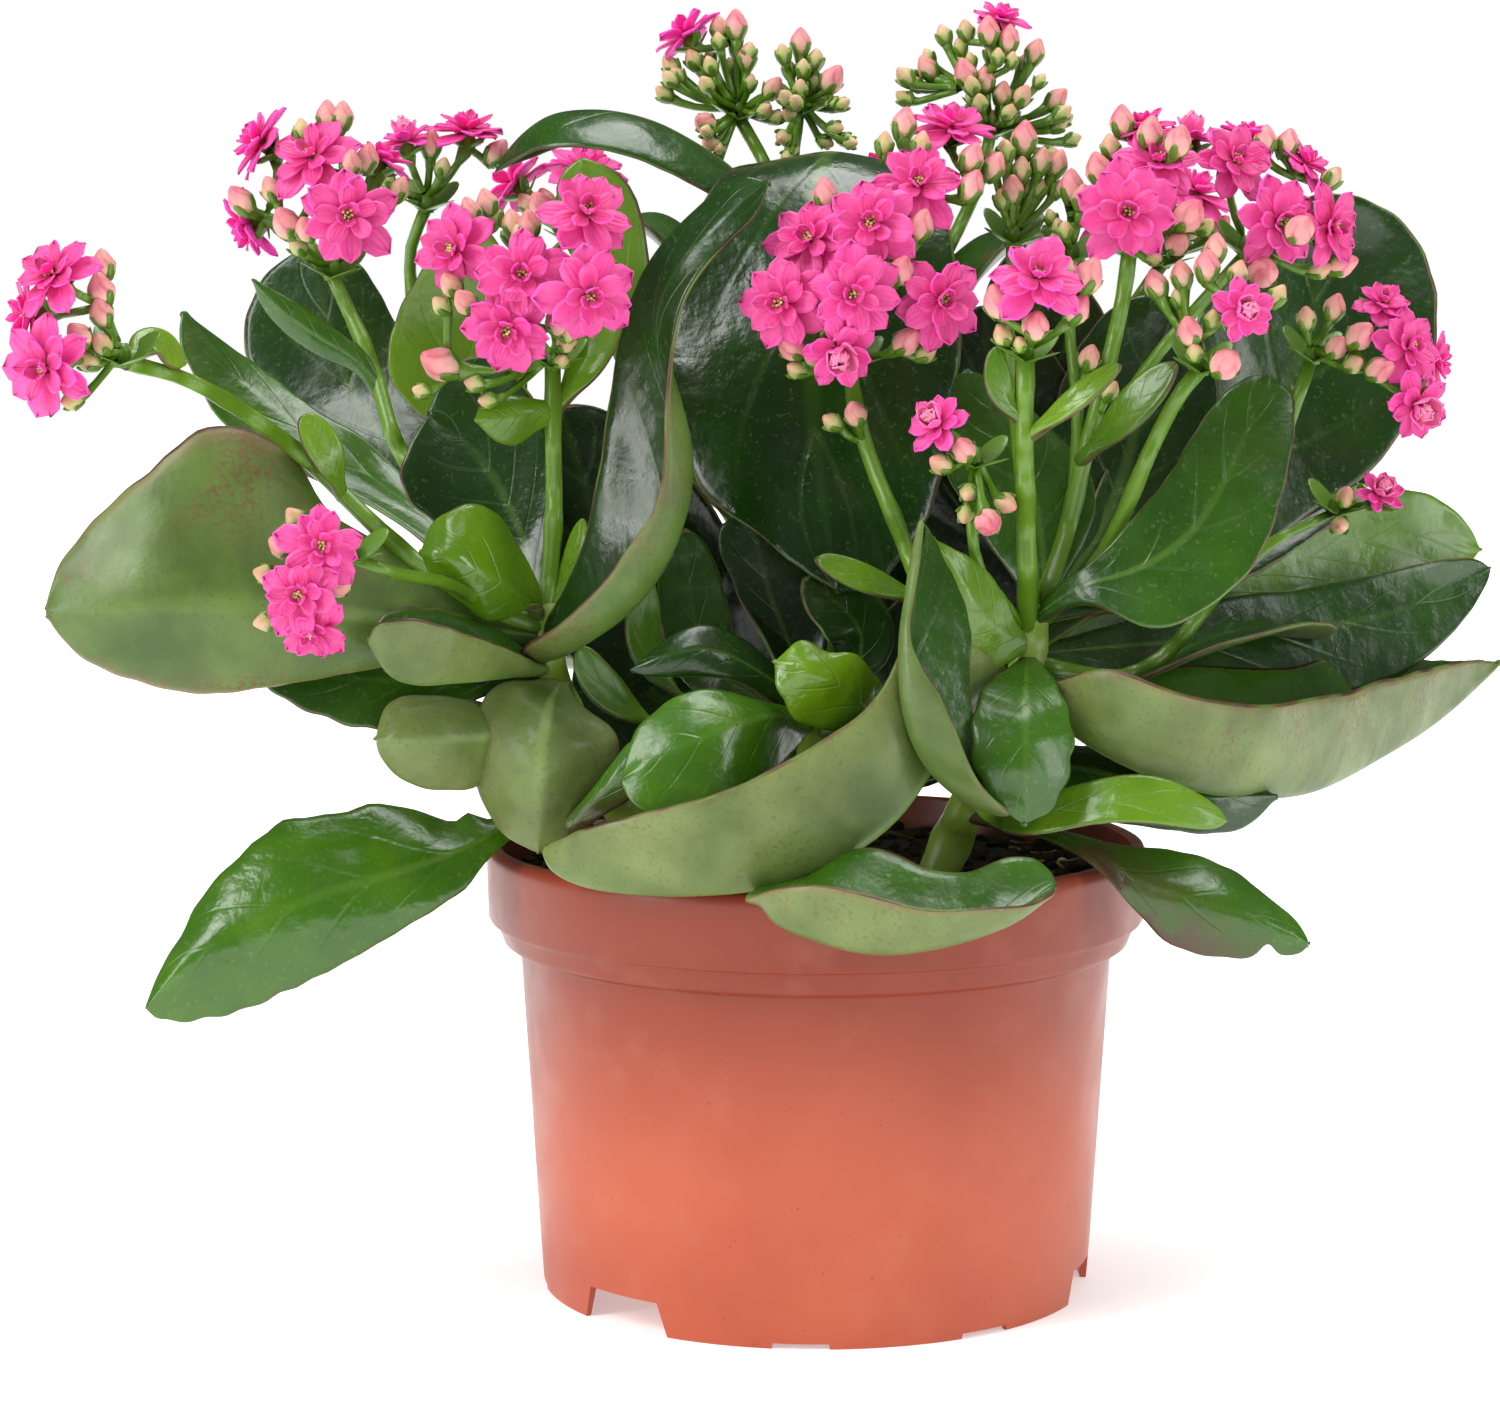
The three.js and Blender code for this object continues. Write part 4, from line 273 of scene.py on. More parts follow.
      (84, 65, -45.5), (90.3, 62, -44)],
     [(43, 81.4, -32), (52, 75.8, -40), (56, 70.8, -42), (60, 66.8, -43), (64, 62.4, -44),
      (70, 60.1, -45), (76, 59.4, -45.5), (80.5, 59.7, -45.5), (82.7, 62.6, -45.5), (85, 60, -45),
      (88.3, 60.3, -44.5)]),
    ("green", "front", 0.14, 0.6,
     [(-4, 98, -36), (-10, 92, -48), (-18, 87, -56), (-27, 85, -58), (-33, 87.5, -57)],
     [(-2, 103, -30), (-9, 104, -44), (-20, 100.5, -52), (-29, 96, -54), (-35.5, 92, -54)],
     [(-6, 105, -33), (-12, 107.4, -41), (-18, 109.2, -45), (-24, 108.6, -47), (-29, 105.6, -49),
      (-33.4, 100.8, -51)]),
    ("low", "front", 0.4, 0.5,
     [(2, 82.5, -32), (8, 81.5, -52), (4, 79.5, -60), (8, 80.5, -62), (14, 79.8, -63),
      (20, 76.5, -65), (28, 75.7, -66), (34, 78.2, -66), (39.5, 78.3, -65), (43, 75.8, -65)],
     [(-1, 84, -22), (6, 78, -44), (-1, 74, -61), (-8, 67.5, -70), (0, 63.3, -75), (10, 60.6, -77),
      (22, 61.8, -77), (34, 66, -74), (43.8, 73, -66)],
     [(-2, 79, -33), (-6, 75.5, -52), (-13.5, 70.3, -68), (-7, 72.6, -76), (0, 73.4, -80),
      (10, 71.8, -83), (20, 69.2, -84), (30, 69, -82), (38, 69.3, -77), (42.7, 71.5, -70)]),
    ("grey", "front", 0.14, 0.25,
     [(-6, 105, -32), (-14, 110.5, -38), (-22, 111.3, -40), (-29, 111.2, -41)],
     [(-1, 104, -27), (-10, 111.5, -34), (-20, 116.3, -39), (-28, 114.5, -41), (-33.7, 112.3, -40)],
     [(-5, 109.5, -27), (-9, 115, -30), (-14.5, 119.3, -33), (-20.5, 121.6, -35), (-26, 119.2, -37),
      (-31, 114.7, -39)]),
    ("gloss", "front", 0.3, 0.85,
     [(5, 102.5, -32), (3, 102, -40), (-2, 102.4, -42), (-5, 105, -43), (-7.2, 109.5, -43)],
     [(1, 101, -27), (8, 105, -39), (4.5, 109.5, -43), (-1.5, 112.5, -44), (-7.4, 114, -42)],
     [(4, 104.5, -26), (12, 107.5, -34), (10.5, 111.8, -38), (7, 115.5, -40), (1.8, 116, -41),
      (-3, 118, -41)]),
    ("arch", "back", 0.2, 0.35,
     [(-5, 186, 17), (-10, 192.5, 12), (-18, 197.5, 9), (-26, 201.7, 7), (-34, 205.3, 6),
      (-42, 206.5, 6), (-50, 206, 9)],
     [(-3, 176, 26), (-8, 192, 23), (-14, 201, 19), (-22, 207, 17), (-31, 211.3, 16),
      (-40, 212.7, 16), (-49, 211, 16), (-57.5, 202.7, 15)],
     [(-7, 188, 30), (-14, 198, 29), (-24, 203.5, 28), (-35, 207, 27), (-46, 207, 25)]),
    ("young", "back", 0.3, 0.8,
     [(-14, 137, 16), (-32, 160, 9), (-41, 180, 4), (-46, 194, 2), (-47.2, 201, 2)],
     [(1, 128, 25), (-22, 150, 12), (-34, 173, 5), (-39, 190, 4), (-42, 205, 2)],
     [(-8, 136, 18), (-18, 152, 12), (-27, 172, 6), (-30, 186, 3), (-30.8, 195, 1), (-34.5, 202, 1)]),
    ("huge", "back", 0.3, 0.2,
     [(10, 165, 32), (17, 185, 38), (20, 198, 28), (21.5, 202, 14), (23, 197, 4), (25, 185, -4),
      (25.5, 168, -9), (24, 153, -14), (20.5, 141, -18), (15, 132, -22), (10, 127.6, -24)],
     [(3, 150, 27), (8, 183, 42), (5, 201, 30), (2, 205.6, 14), (0, 199, 2), (-1, 183, -9),
      (-1, 163, -16), (1, 143, -22), (4, 126.8, -25)],
     [(-3, 165, 32), (-10, 185, 38), (-13, 199, 28), (-15, 202.5, 14), (-20, 197, 4),
      (-25.5, 185, -4), (-27, 168, -8), (-24.5, 153, -14), (-19.7, 143.5, -18), (-11.5, 138.2, -21),
      (-4, 131.7, -24)]),
    ("silver", "left", 0.14, 0.5,
     [(-82, 166.5, -7), (-89, 169, -7), (-95, 173, -7), (-99.5, 178, -7)],
     [(-79, 163, -7), (-82, 168.5, -8), (-88, 172, -8.5), (-95, 177, -8.5), (-101.2, 183.3, -7)],
     [(-80, 169.5, -8), (-84.5, 172.8, -8), (-90, 177, -8), (-96, 180.6, -8)]),
    ("behind", "left", 0.14, 0.2,
     [(-68, 140, 14), (-88, 150, 36), (-101, 166, 44), (-103, 174, 46), (-99, 184, 47)],
     [(-58, 134, 2), (-72, 148, 26), (-84, 164, 40), (-91, 189.5, 46)],
     [(-60, 148, 20), (-68, 160, 34), (-75, 174, 42), (-82, 186, 45)]),
    ("bright", "left", 0.14, 0.9,
     [(-53, 137, -6), (-62, 152, 4), (-70, 157.5, 8), (-76.5, 164, 10), (-77.3, 170, 11),
      (-75.5, 177, 11), (-71.5, 184, 10), (-67.5, 190, 9)],
     [(-49, 124, -22), (-56, 142, 0), (-62, 158, 8), (-65, 176, 12), (-64, 194, 8)],
     [(-50, 140, -4), (-52, 156, 6), (-52, 170, 10), (-53, 182, 10), (-58, 191, 9)]),
    ("dark", "left", 0.2, 0.25,
     [(-56, 128, -21), (-64, 134, -18), (-70, 140, -17), (-74, 143.5, -17), (-75.3, 148, -16),
      (-74, 152.5, -15)],
     [(-49, 123, -25), (-53, 137, -18), (-60, 150, -14), (-70, 159, -14)],
     [(-48, 136, -20), (-47.5, 152, -16), (-53, 165, -14), (-61, 170, -13), (-67, 166, -13)]),
    ("bract_c", "left", 0.14, 0.85,
     [(-51, 155.5, -27), (-54, 153, -29), (-58, 154, -31)],
     [(-47.5, 159.5, -26), (-54, 159, -30), (-61.5, 158, -32)],
     [(-52, 162, -27), (-57, 162.5, -29), (-60.5, 161, -31)]),
    ("torn", "left", 0.14, 0.6,
     [(-46.5, 84, -38), (-42, 89, -42), (-38, 94, -45), (-34, 99.6, -46)],
     [(-38, 84, -20), (-45, 83.5, -38), (-38, 91, -46), (-31, 100, -47)],
     [(-41, 84.3, -41), (-35, 88, -46), (-29.5, 92, -48), (-28, 97.5, -48)]),
    ("young", "right", 0.14, 0.8,
     [(33, 113, -36), (27, 114, -41), (23, 122, -43), (20.5, 130, -43)],
     [(38, 117.5, -30), (32, 120, -37), (27, 127, -41), (20.8, 136.5, -42)],
     [(36, 121, -32), (34.6, 125.4, -35), (30, 131.3, -38), (25, 134.7, -41)]),
    ("shaded", "right", 0.2, 0.3,
     [(50, 99, -29), (64, 97, -29), (76, 94, -28)],
     [(32, 97, -24), (50, 94, -35), (67, 89.5, -36), (83.8, 89.2, -29)],
     [(50, 86, -36), (62, 83.5, -37), (72, 82.4, -35), (79, 84, -32)]),
    ("dark", "front", 0.14, 0.1,
     [(-7.7, 114, -24), (-10.4, 119.6, -21), (-13.1, 123.8, -19), (-15.4, 129.2, -17),
      (-18.1, 137.7, -15)],
     [(0, 106, -26), (-5, 117, -20), (-9, 128, -17), (-12, 142, -15)],
     [(2, 115, -22), (3, 125, -18), (0, 136, -16), (-6, 142, -15)]),
]

# Stalks: stem, radius at the foot and at the end, places. A stem's first one is its main stem.

STALKS = [
    ("left", 4.2, 3.2, [(-26, 70, -12), (-32, 82, -14), (-42, 98, -20), (-48, 112, -26),
     (-49, 125, -27)]),
    ("left", 1.9, 1.7, [(-49, 122, -27), (-47.5, 140, -27), (-47.5, 155, -26), (-47.5, 168, -26)]),
    ("left", 2, 1.4, [(-49, 120, -27), (-60, 124.5, -33), (-72, 132, -34), (-82, 141, -35),
     (-92, 151, -38), (-104, 160, -49), (-114, 165.5, -59), (-125, 168.5, -69)]),
    ("left", 1.4, 1.1, [(-59, 124, -32), (-67, 128.5, -49), (-75, 130, -53), (-84, 133, -58)]),
    ("left", 1.9, 1.5, [(-49, 121, -24), (-64, 138, -16), (-75, 152, -9), (-80, 168, -7),
     (-87, 184, -7)]),
    ("left", 1.7, 1.3, [(-49, 121, -22), (-60, 142, 10), (-70, 165, 20), (-73, 186, 22),
     (-70, 196, 24)]),
    ("right", 4.4, 3.4, [(20, 70, -12), (26, 84, -16), (33, 100, -24), (38, 113, -28),
     (39.5, 125, -29)]),
    ("right", 2.1, 1.8, [(38.5, 118, -29), (38, 135, -36), (37.5, 152, -41), (37.5, 169, -43)]),
    ("right", 2, 1.6, [(40, 122, -28), (45, 137, -22), (48, 150, -19), (52, 166, -18),
     (55, 180, -18), (56, 188, -18)]),
    ("right", 1.3, 1.1, [(46, 140, -21), (47, 158, -17), (45.5, 174, -15), (45.5, 187, -15)]),
    ("right", 1.4, 1.2, [(48, 150, -19), (60, 168, -16), (70, 180, -14), (77, 188, -15)]),
    ("right", 1.8, 1.5, [(41, 122, -29), (50, 131, -31), (55, 140, -32), (60, 152, -33),
     (65, 162, -34), (69, 167, -35)]),
    ("right", 1.7, 1.3, [(38, 114, -27), (58, 112, -17), (72, 126, -13), (80, 142, -9),
     (86, 160, -7), (89, 169, -4)]),
    ("right", 1.2, 1, [(72, 126, -13), (82, 135.5, -3), (94, 141.5, 6)]),
    ("right", 1.8, 1.6, [(38, 115, -28), (28, 119, -30), (20, 126, -29), (15, 138, -27),
     (10, 150, -26), (7, 160, -25), (6, 168, -25)]),
    ("right", 1.3, 1.1, [(38, 120, -30), (30, 130, -36), (28, 140, -38), (28.5, 150, -38)]),
    ("right", 1.5, 1.1, [(39.5, 122, -29), (38.5, 136, -28), (35.5, 160, -21), (34.5, 176, -16),
     (35, 190, -13)]),
    ("front", 3.8, 2.8, [(-1, 70, -18), (-2, 86, -22), (-1, 97, -26), (0, 106, -27)]),
    ("back", 4.4, 2.6, [(2, 70, 20), (3, 100, 24), (3, 130, 26), (2, 155, 27), (0, 178, 27)]),
    ("back", 1.8, 1.4, [(1, 172, 27), (-4, 190, 38), (-9, 203, 50), (-14, 212, 56)]),
    ("back", 1.2, 1, [(-7, 198, 46), (-4, 206, 52), (-3, 213, 54)]),
    ("back", 1.8, 1.4, [(3, 150, 28), (18, 178, 40), (28, 198, 48), (31, 209, 50)]),
    ("back", 1.7, 1.2, [(2, 112, 25), (-40, 135, 44), (-76, 155, 54), (-91, 171, 54)]),
    ("back", 1.9, 1.5, [(1, 120, 26), (-22, 150, 52), (-38, 178, 58), (-44, 190, 60)]),
    ("back", 1.9, 1.5, [(4, 130, 28), (8, 160, 52), (10, 180, 64), (11, 188, 68)]),
    ("back", 1.9, 1.5, [(4, 115, 27), (30, 145, 50), (52, 172, 55), (62, 186, 57)]),
]

# Single small buds on a stalk: stem, root, bud, width

SIDE_BUDS = [
    ("right", (8.6, 154, -25.5), (7, 159, -29.5), 4),
    ("right", (8.6, 154, -25.5), (3, 157.5, -28.5), 3.2),
    ("right", (47, 162, -17), (49, 169, -20), 3.8),
    ("right", (50, 158, -18.5), (52.8, 163, -21), 3.2),
]

# Flower heads: name, node where the stalk ends, flowers, buds. A flower is its middle,
# the way it faces and its width; a bud is its middle and width.

HEADS = [
    ("a", (-125, 168.5, -69), [
        ((-136.5, 183.5, -78), (-0.5, -0.6, 0.6), 15),
        ((-140.5, 177, -72), (-0.95, -0.2, 0.1), 14),
        ((-138, 167.5, -80), (-0.45, -0.85, -0.1), 16),
    ], [
        ((-128, 185.5, -70), 4), ((-128.5, 181, -72), 4.6), ((-128.5, 177, -73), 4),
        ((-132.5, 173, -75), 4), ((-128.5, 171.5, -74), 3.4), ((-134, 161.5, -76), 3.2),
        ((-131, 168.5, -73), 3.4),
    ]),
    ("b", (-87, 184, -7), [
        ((-99, 207, -6), (-0.85, -0.2, 0.5), 15),
        ((-90, 204.5, -14), (-0.3, -0.75, 0.6), 16),
        ((-84, 194.5, -22), (0.05, -1, 0.05), 17),
        ((-101, 193, -4), (-0.8, 0.2, -0.4), 13),
        ((-78, 204, -4), (0.3, 0.2, 0.9), 11),
    ], [
        ((-103, 197, -10), 4.6), ((-97.5, 199, -12), 3.8), ((-95, 193, -16), 5), ((-91.5, 192, -18), 4),
        ((-93, 189, -14), 3.2), ((-92, 209.5, -12), 3.2), ((-87.5, 212, -8), 4.2),
        ((-84.8, 212, -8), 4), ((-83.5, 203.5, -16), 4), ((-80.5, 204.5, -10), 4.2),
        ((-75, 199, -8), 3.8),
    ]),
    ("n", (-70, 196, 24), [
        ((-62.5, 209, 24), (0.05, -0.15, 1), 14),
        ((-73.5, 207.5, 20), (-0.15, -0.2, 1), 11),
    ], [
        ((-69, 207, 22), 4.2), ((-57.5, 205.5, 24), 4.4), ((-67, 203, 20), 3), ((-77, 201, 18), 3),
    ]),
    ("c", (-47.5, 168, -26), [
        ((-64.5, 188.5, -34), (-0.45, -0.85, 0.1), 15.5),
        ((-53, 184, -42), (0, -1, 0.15), 16),
        ((-41.5, 194.5, -40), (0.2, -0.8, 0.5), 16.5),
        ((-41, 180.5, -48), (0.25, -0.95, -0.1), 16.5),
        ((-55.5, 174.5, -42), (-0.1, -0.95, -0.25), 16),
    ], [
        ((-67.5, 168, -36), 5.8), ((-63, 179, -40), 4), ((-65.5, 182, -36), 3.8),
        ((-61.5, 164.5, -34), 3), ((-46.5, 175.5, -38), 4.4), ((-45, 172, -36), 3.6),
        ((-54.5, 193, -34), 3.8), ((-51.5, 192.8, -36), 4), ((-59, 196.5, -26), 4),
        ((-62, 195, -30), 4),
    ]),
    ("o", (-91, 171, 54), [
        ((-90, 180.5, 52), (-0.3, -0.6, 0.7), 12),
    ], [
        ((-97, 175, 50), 4), ((-94, 170.5, 50), 3.6),
    ]),
    ("l", (-14, 212, 56), [
        ((-23, 226, 56), (-0.6, 0.2, 0.8), 14),
    ], [
        ((-14.5, 228, 54), 4.6), ((-17.5, 227.5, 56), 3.8), ((-22, 222, 54), 3.4),
        ((-26, 221, 54), 3.4), ((-19, 221, 52), 3), ((-12.5, 222.5, 54), 4), ((-8, 217, 52), 3.8),
        ((-20, 211, 48), 4), ((-19, 207.5, 48), 3.4),
    ]),
    ("l_right", (-3, 213, 54), [
    ], [
        ((-3, 225, 54), 4.2), ((-0.5, 222, 54), 3.2), ((2.5, 218.5, 52), 4.6), ((-3, 217, 50), 3),
        ((-6, 208.5, 48), 3), ((3, 210, 50), 3),
    ]),
    ("m", (31, 209, 50), [
        ((32.5, 229, 50), (0.3, -0.3, 0.9), 11),
    ], [
        ((30.5, 227, 46), 4.4), ((34, 225.5, 47), 4.4), ((26.5, 227, 50), 3.4),
        ((22.6, 226.3, 50), 3.2), ((38.7, 223.3, 50), 4), ((15.8, 219, 48), 3.4),
        ((19.8, 220.5, 50), 4), ((26.5, 219.5, 46), 4.6), ((30, 218.5, 46), 4), ((33, 216, 46), 3.8),
        ((36.5, 215.6, 46), 3.6), ((42.5, 215, 50), 4), ((43, 210.5, 50), 3),
    ]),
    ("d", (6, 168, -25), [
        ((24, 209.5, -16), (0.1, -0.3, 0.95), 15.5),
        ((18, 199.5, -26), (0.05, -0.85, 0.5), 16.5),
        ((9.5, 193, -34), (-0.05, -0.97, 0.2), 16.5),
        ((-1, 190, -30), (-0.35, -0.85, 0.35), 15.5),
        ((-6, 179, -36), (-0.35, -0.93, 0), 16),
        ((6.5, 180.5, -40), (0, -1, 0.05), 16),
        ((4, 170.5, -38), (0, -0.92, -0.35), 14),
        ((22, 179.5, -34), (0.3, -0.95, 0.05), 16),
    ], [
        ((1.5, 198, -26), 4.6), ((15.5, 210.5, -18), 4.6), ((12, 207, -22), 3.4),
        ((18.5, 207, -24), 3.6), ((27.5, 204.5, -22), 4.4), ((31.5, 203, -20), 4.2),
        ((27.5, 199.5, -26), 4.6), ((18.5, 192.5, -32), 4.6), ((15, 184.5, -36), 4.4),
        ((16, 172, -34), 4.6), ((19.5, 170, -32), 3.4), ((-4.5, 171, -34), 4.4),
        ((-0.5, 169.5, -34), 3.6), ((-3.5, 167, -32), 3.2),
    ]),
    ("x", (35, 190, -13), [
    ], [
        ((37, 208, -12), 4.8), ((36.5, 202.5, -14), 3.6), ((40, 204, -12), 3.8),
        ((42.8, 203.5, -10), 4), ((35, 199, -16), 4), ((33.5, 206, -10), 3),
    ]),
    ("y", (45.5, 187, -15), [
    ], [
        ((45.5, 199.5, -16), 4.6), ((47.5, 197.5, -19), 3.8), ((43.5, 192, -16), 3),
    ]),
    ("e", (37.5, 169, -43), [
        ((39.5, 183, -52), (0.1, -0.8, 0.6), 16.5),
    ], [
        ((32.5, 179, -50), 5), ((33.5, 173, -48), 3.4), ((39.3, 174.8, -52), 4.6),
        ((44.5, 184.8, -48), 3.4), ((48.5, 183.5, -46), 5.2), ((46.6, 177.6, -46), 4.4),
        ((36.5, 171.5, -48), 2.6),
    ]),
    ("i", (28.5, 150, -38), [
        ((22, 157, -42), (-0.45, -0.7, 0.5), 12),
    ], [
        ((22.5, 150, -42), 3.6), ((27.5, 145, -41), 3.2), ((26.5, 152.5, -43), 4.2),
        ((27, 141, -42), 3), ((31, 139.5, -47), 4.6), ((34, 143, -42), 3.6),
    ]),
    ("f", (56, 188, -18), [
        ((55.5, 195, -34), (0, -1, 0.1), 17.5),
        ((61, 203.5, -24), (0, -0.75, 0.65), 15),
        ((58.5, 209.5, -16), (-0.2, -0.2, 1), 12),
        ((67, 208, -10), (0, 0, 1), 11),
    ], [
        ((54.5, 211, -18), 4.4), ((52.5, 206.5, -20), 3.6), ((59.5, 209, -24), 4.6),
        ((64.5, 207.5, -29), 4.6), ((50.5, 202.5, -22), 4.8), ((66.5, 194.5, -32), 5.4),
        ((69.5, 192.5, -29), 3), ((64.5, 189.5, -30), 4), ((60.5, 187, -30), 2.8),
    ]),
    ("f_right", (77, 188, -15), [
        ((74.3, 204, -19.5), (0.35, -0.85, 0.4), 14.5),
        ((82.5, 193.5, -26), (0.25, -0.95, 0), 15.5),
        ((91.5, 192.5, -22), (0.65, -0.75, 0), 14),
        ((76.5, 208, -4), (0.2, 0.1, 1), 11),
        ((87, 203.5, -6), (0.6, -0.3, 0.7), 11),
    ], [
        ((86.5, 192, -31), 5), ((80, 184.5, -26), 5.4), ((94, 185.8, -20), 4.4), ((90, 185, -20), 3.6),
        ((80, 207.5, -8), 4.4), ((84, 207, -6), 4.4), ((92, 201, -8), 3.6),
    ]),
    ("g", (69, 167, -35), [
        ((76.5, 177.5, -42), (0.15, -0.97, 0.1), 12),
    ], [
        ((73.5, 168, -42), 5.2), ((67, 173.7, -40), 4.4), ((71, 175.7, -38), 3), ((68, 170, -40), 3),
        ((75.5, 184, -38), 3.6), ((82.5, 180, -36), 3.4), ((70, 185.3, -37), 4.6),
        ((71.5, 188.5, -36), 4), ((61, 182, -33), 4.2), ((65.5, 183.7, -34), 4), ((65, 179.5, -34), 3),
    ]),
    ("h", (89, 169, -4), [
        ((101.5, 178.5, -8), (0.2, -0.6, 0.8), 11),
        ((106, 171, -12), (0.45, -0.85, 0.2), 13.5),
        ((110.5, 168.5, -4), (0.9, -0.4, 0.1), 12),
        ((108, 160.7, -14), (0.3, -0.9, -0.3), 13.5),
    ], [
        ((97.5, 173, -12), 4.8), ((93.5, 171, -10), 4), ((101.2, 167, -14), 4.6),
        ((96.5, 168, -12), 3.4), ((93, 178, -8), 4), ((88, 176, -8), 3.6),
    ]),
    ("k", (94, 141.5, 6), [
        ((101.5, 144.5, 2), (0.3, -0.7, 0.6), 10),
    ], [
        ((95.5, 144, 2), 3.6), ((94.5, 139, 2), 3.4),
    ]),
    ("j", (-84, 133, -58), [
        ((-89.5, 135, -68), (0.15, -0.98, 0.15), 14),
        ((-93.5, 126.5, -70), (-0.1, -0.98, 0), 14),
        ((-91.5, 120.5, -68), (-0.1, -0.85, -0.5), 12.5),
    ], [
        ((-96.5, 135, -64), 4), ((-94, 140, -62), 3.4), ((-99.5, 130, -64), 3.4),
        ((-86.5, 128, -64), 4), ((-99.5, 121.5, -62), 3.4),
    ]),
]

# What the photograph doesn't show follows a rule. A tier of leaves leaves its stem at the
# foot (x, y, z) and fans out between two angles from the right side. A head at the back is its
# name, the node where its stalk ends and its number of flowers.

BACK_TIERS = [
    {"stem": "back", "foot": (3, 25, 90), "count": 4, "from": 14, "to": 166,
     "reach": 60, "climb": 3, "width": 32},
    {"stem": "back", "foot": (3, 26, 118), "count": 4, "from": 28, "to": 152,
     "reach": 56, "climb": 24, "width": 30},
    {"stem": "back", "foot": (2, 27, 140), "count": 3, "from": 12, "to": 162,
     "reach": 45, "climb": 42, "width": 26},
    {"stem": "left", "foot": (-48, -24, 104), "count": 2, "from": 112, "to": 148,
     "reach": 60, "climb": 12, "width": 30},
    {"stem": "right", "foot": (37.7, -26.2, 103), "count": 2, "from": 38, "to": 72,
     "reach": 60, "climb": 10, "width": 30},
]
BACK_HEADS = [
    ("p", (-44, 190, 60), 3),
    ("q", (11, 188, 68), 3),
    ("r", (62, 186, 57), 3),
]

# What single leaves show beyond their tone: blush is reddish freckles on the underside,
# gloss is a wet-looking upper side, wither is a dried brown base, teeth are its edge's scallops

LEAF_LOOKS = {
    ("left", "big"): {"blush": 0.8, "teeth": 0.5},
    ("left", "gloss"): {"gloss": 1, "teeth": 0.6},
    ("left", "round"): {"gloss": 0.4, "teeth": 0.3},
    ("left", "pale"): {"blush": 0.3, "teeth": 0},
    ("left", "torn"): {"wither": 0.9, "teeth": 0},
    ("left", "droop"): {"teeth": 1.2, "gloss": 0.6},
    ("left", "twist"): {"blush": 0.5, "teeth": 0.3},
    ("left", "glossy_low"): {"teeth": 1.2},
    ("right", "pale_front"): {"blush": 0.15, "teeth": 0.35},
    ("right", "folded"): {"teeth": 0.5},
    ("right", "hanging"): {"teeth": 1.3},
    ("right", "big_pale"): {"blush": 0.5, "teeth": 0.8},
    ("right", "long"): {"teeth": 0.4},
    ("right", "top"): {"teeth": 0.6},
    ("right", "droop"): {"wither": 1, "teeth": 0.6},
    ("front", "low"): {"blush": 0.7, "teeth": 0.3},
    ("front", "green"): {"gloss": 0.3, "teeth": 0.4},
    ("front", "gloss"): {"gloss": 1, "teeth": 1},
    ("back", "huge"): {"gloss": 0.5, "teeth": 0.7},
}

# Flowers that are half open: head and place in its list, counted from 0

HALF_OPEN = {("d", 6), ("h", 3), ("i", 0), ("g", 0), ("k", 0), ("n", 1), ("f", 3)}


def seeded(seed):
    """A seeded random draw between 0 and 1, so that every run is the same."""
    factor = 48271
    limit = 2147483647
    state = seed
    while True:
        state = state * factor % limit
        yield state / limit


def lerp(low, high, share):
    return low + (high - low) * share


def between(draw, low, high):
    return lerp(low, high, next(draw))


def smoothstep(low, high, value):
    share = min(max((value - low) / (high - low), 0), 1)
    return share * share * (3 - 2 * share)


class Line:
    """A smooth line through given points: an even Catmull-Rom curve, read by length."""

    SAMPLES = 24
    NUDGE = 0.002

    def __init__(self, points):
        first = 2 * points[0] - points[1]
        last = 2 * points[-1] - points[-2]
        self.points = [first, *points, last]
        self.spans = len(points) - 1
        self.lengths = [0]
        before = self.bare(0)
        for i in range(1, self.spans * self.SAMPLES + 1):
            here = self.bare(i / self.SAMPLES)
            self.lengths.append(self.lengths[-1] + (here - before).length)
            before = here

    def bare(self, place):
        """The point at a place that counts the spans between the given points."""
        span = min(int(place), self.spans - 1)
        t = place - span
        a, b, c, d = self.points[span:span + 4]
        leave = (c - a) / 2
        reach = (d - b) / 2
        bend = 3 * (c - b) - 2 * leave - reach
        close = 2 * (b - c) + leave + reach
        return b + leave * t + bend * t * t + close * t * t * t

    def place(self, share):
        """The place at a share of the whole length."""
        goal = share * self.lengths[-1]
        low = 0
        high = len(self.lengths) - 1
        while high - low > 1:
            middle = (low + high) // 2
            if self.lengths[middle] <= goal:
                low = middle
            else:
                high = middle
        gap = self.lengths[high] - self.lengths[low]
        return (low + (goal - self.lengths[low]) / gap) / self.SAMPLES

    def at(self, share):
        return self.bare(self.place(share))

    def along(self, share):
        """The direction in which the line runs at a share of its length."""
        place = self.place(share)
        low = max(place - self.NUDGE, 0)
        high = min(place + self.NUDGE, self.spans)
        return (self.bare(high) - self.bare(low)).normalized()

    def length(self):
        return self.lengths[-1]


# Meshes

def new_mesh(*layer_names):
    """An empty bmesh and its named float layers."""
    mesh = bmesh.new()
    layers = {name: mesh.verts.layers.float.new(name) for name in layer_names}
    return mesh, layers


def paint(verts, layers, **values):
    for vert in verts:
        for name, value in values.items():
            vert[layers[name]] = value


def use_material(verts, index):
    """Gives the faces at the vertices a material by its place in the piece's list."""
    for face in {face for vert in verts for face in vert.link_faces}:
        face.material_index = index


def place_object(name, data):
    """Puts an object with this data into the scene."""
    made = bpy.data.objects.new(name, data)
    bpy.context.scene.collection.objects.link(made)
    return made


def mesh_object(name, mesh):
    """Turns a bmesh in millimetres into an object in metres."""
    bmesh.ops.scale(mesh, vec=(MM, MM, MM), verts=mesh.verts)
    data = bpy.data.meshes.new(name)
    mesh.to_mesh(data)
    mesh.free()
    return place_object(name, data)


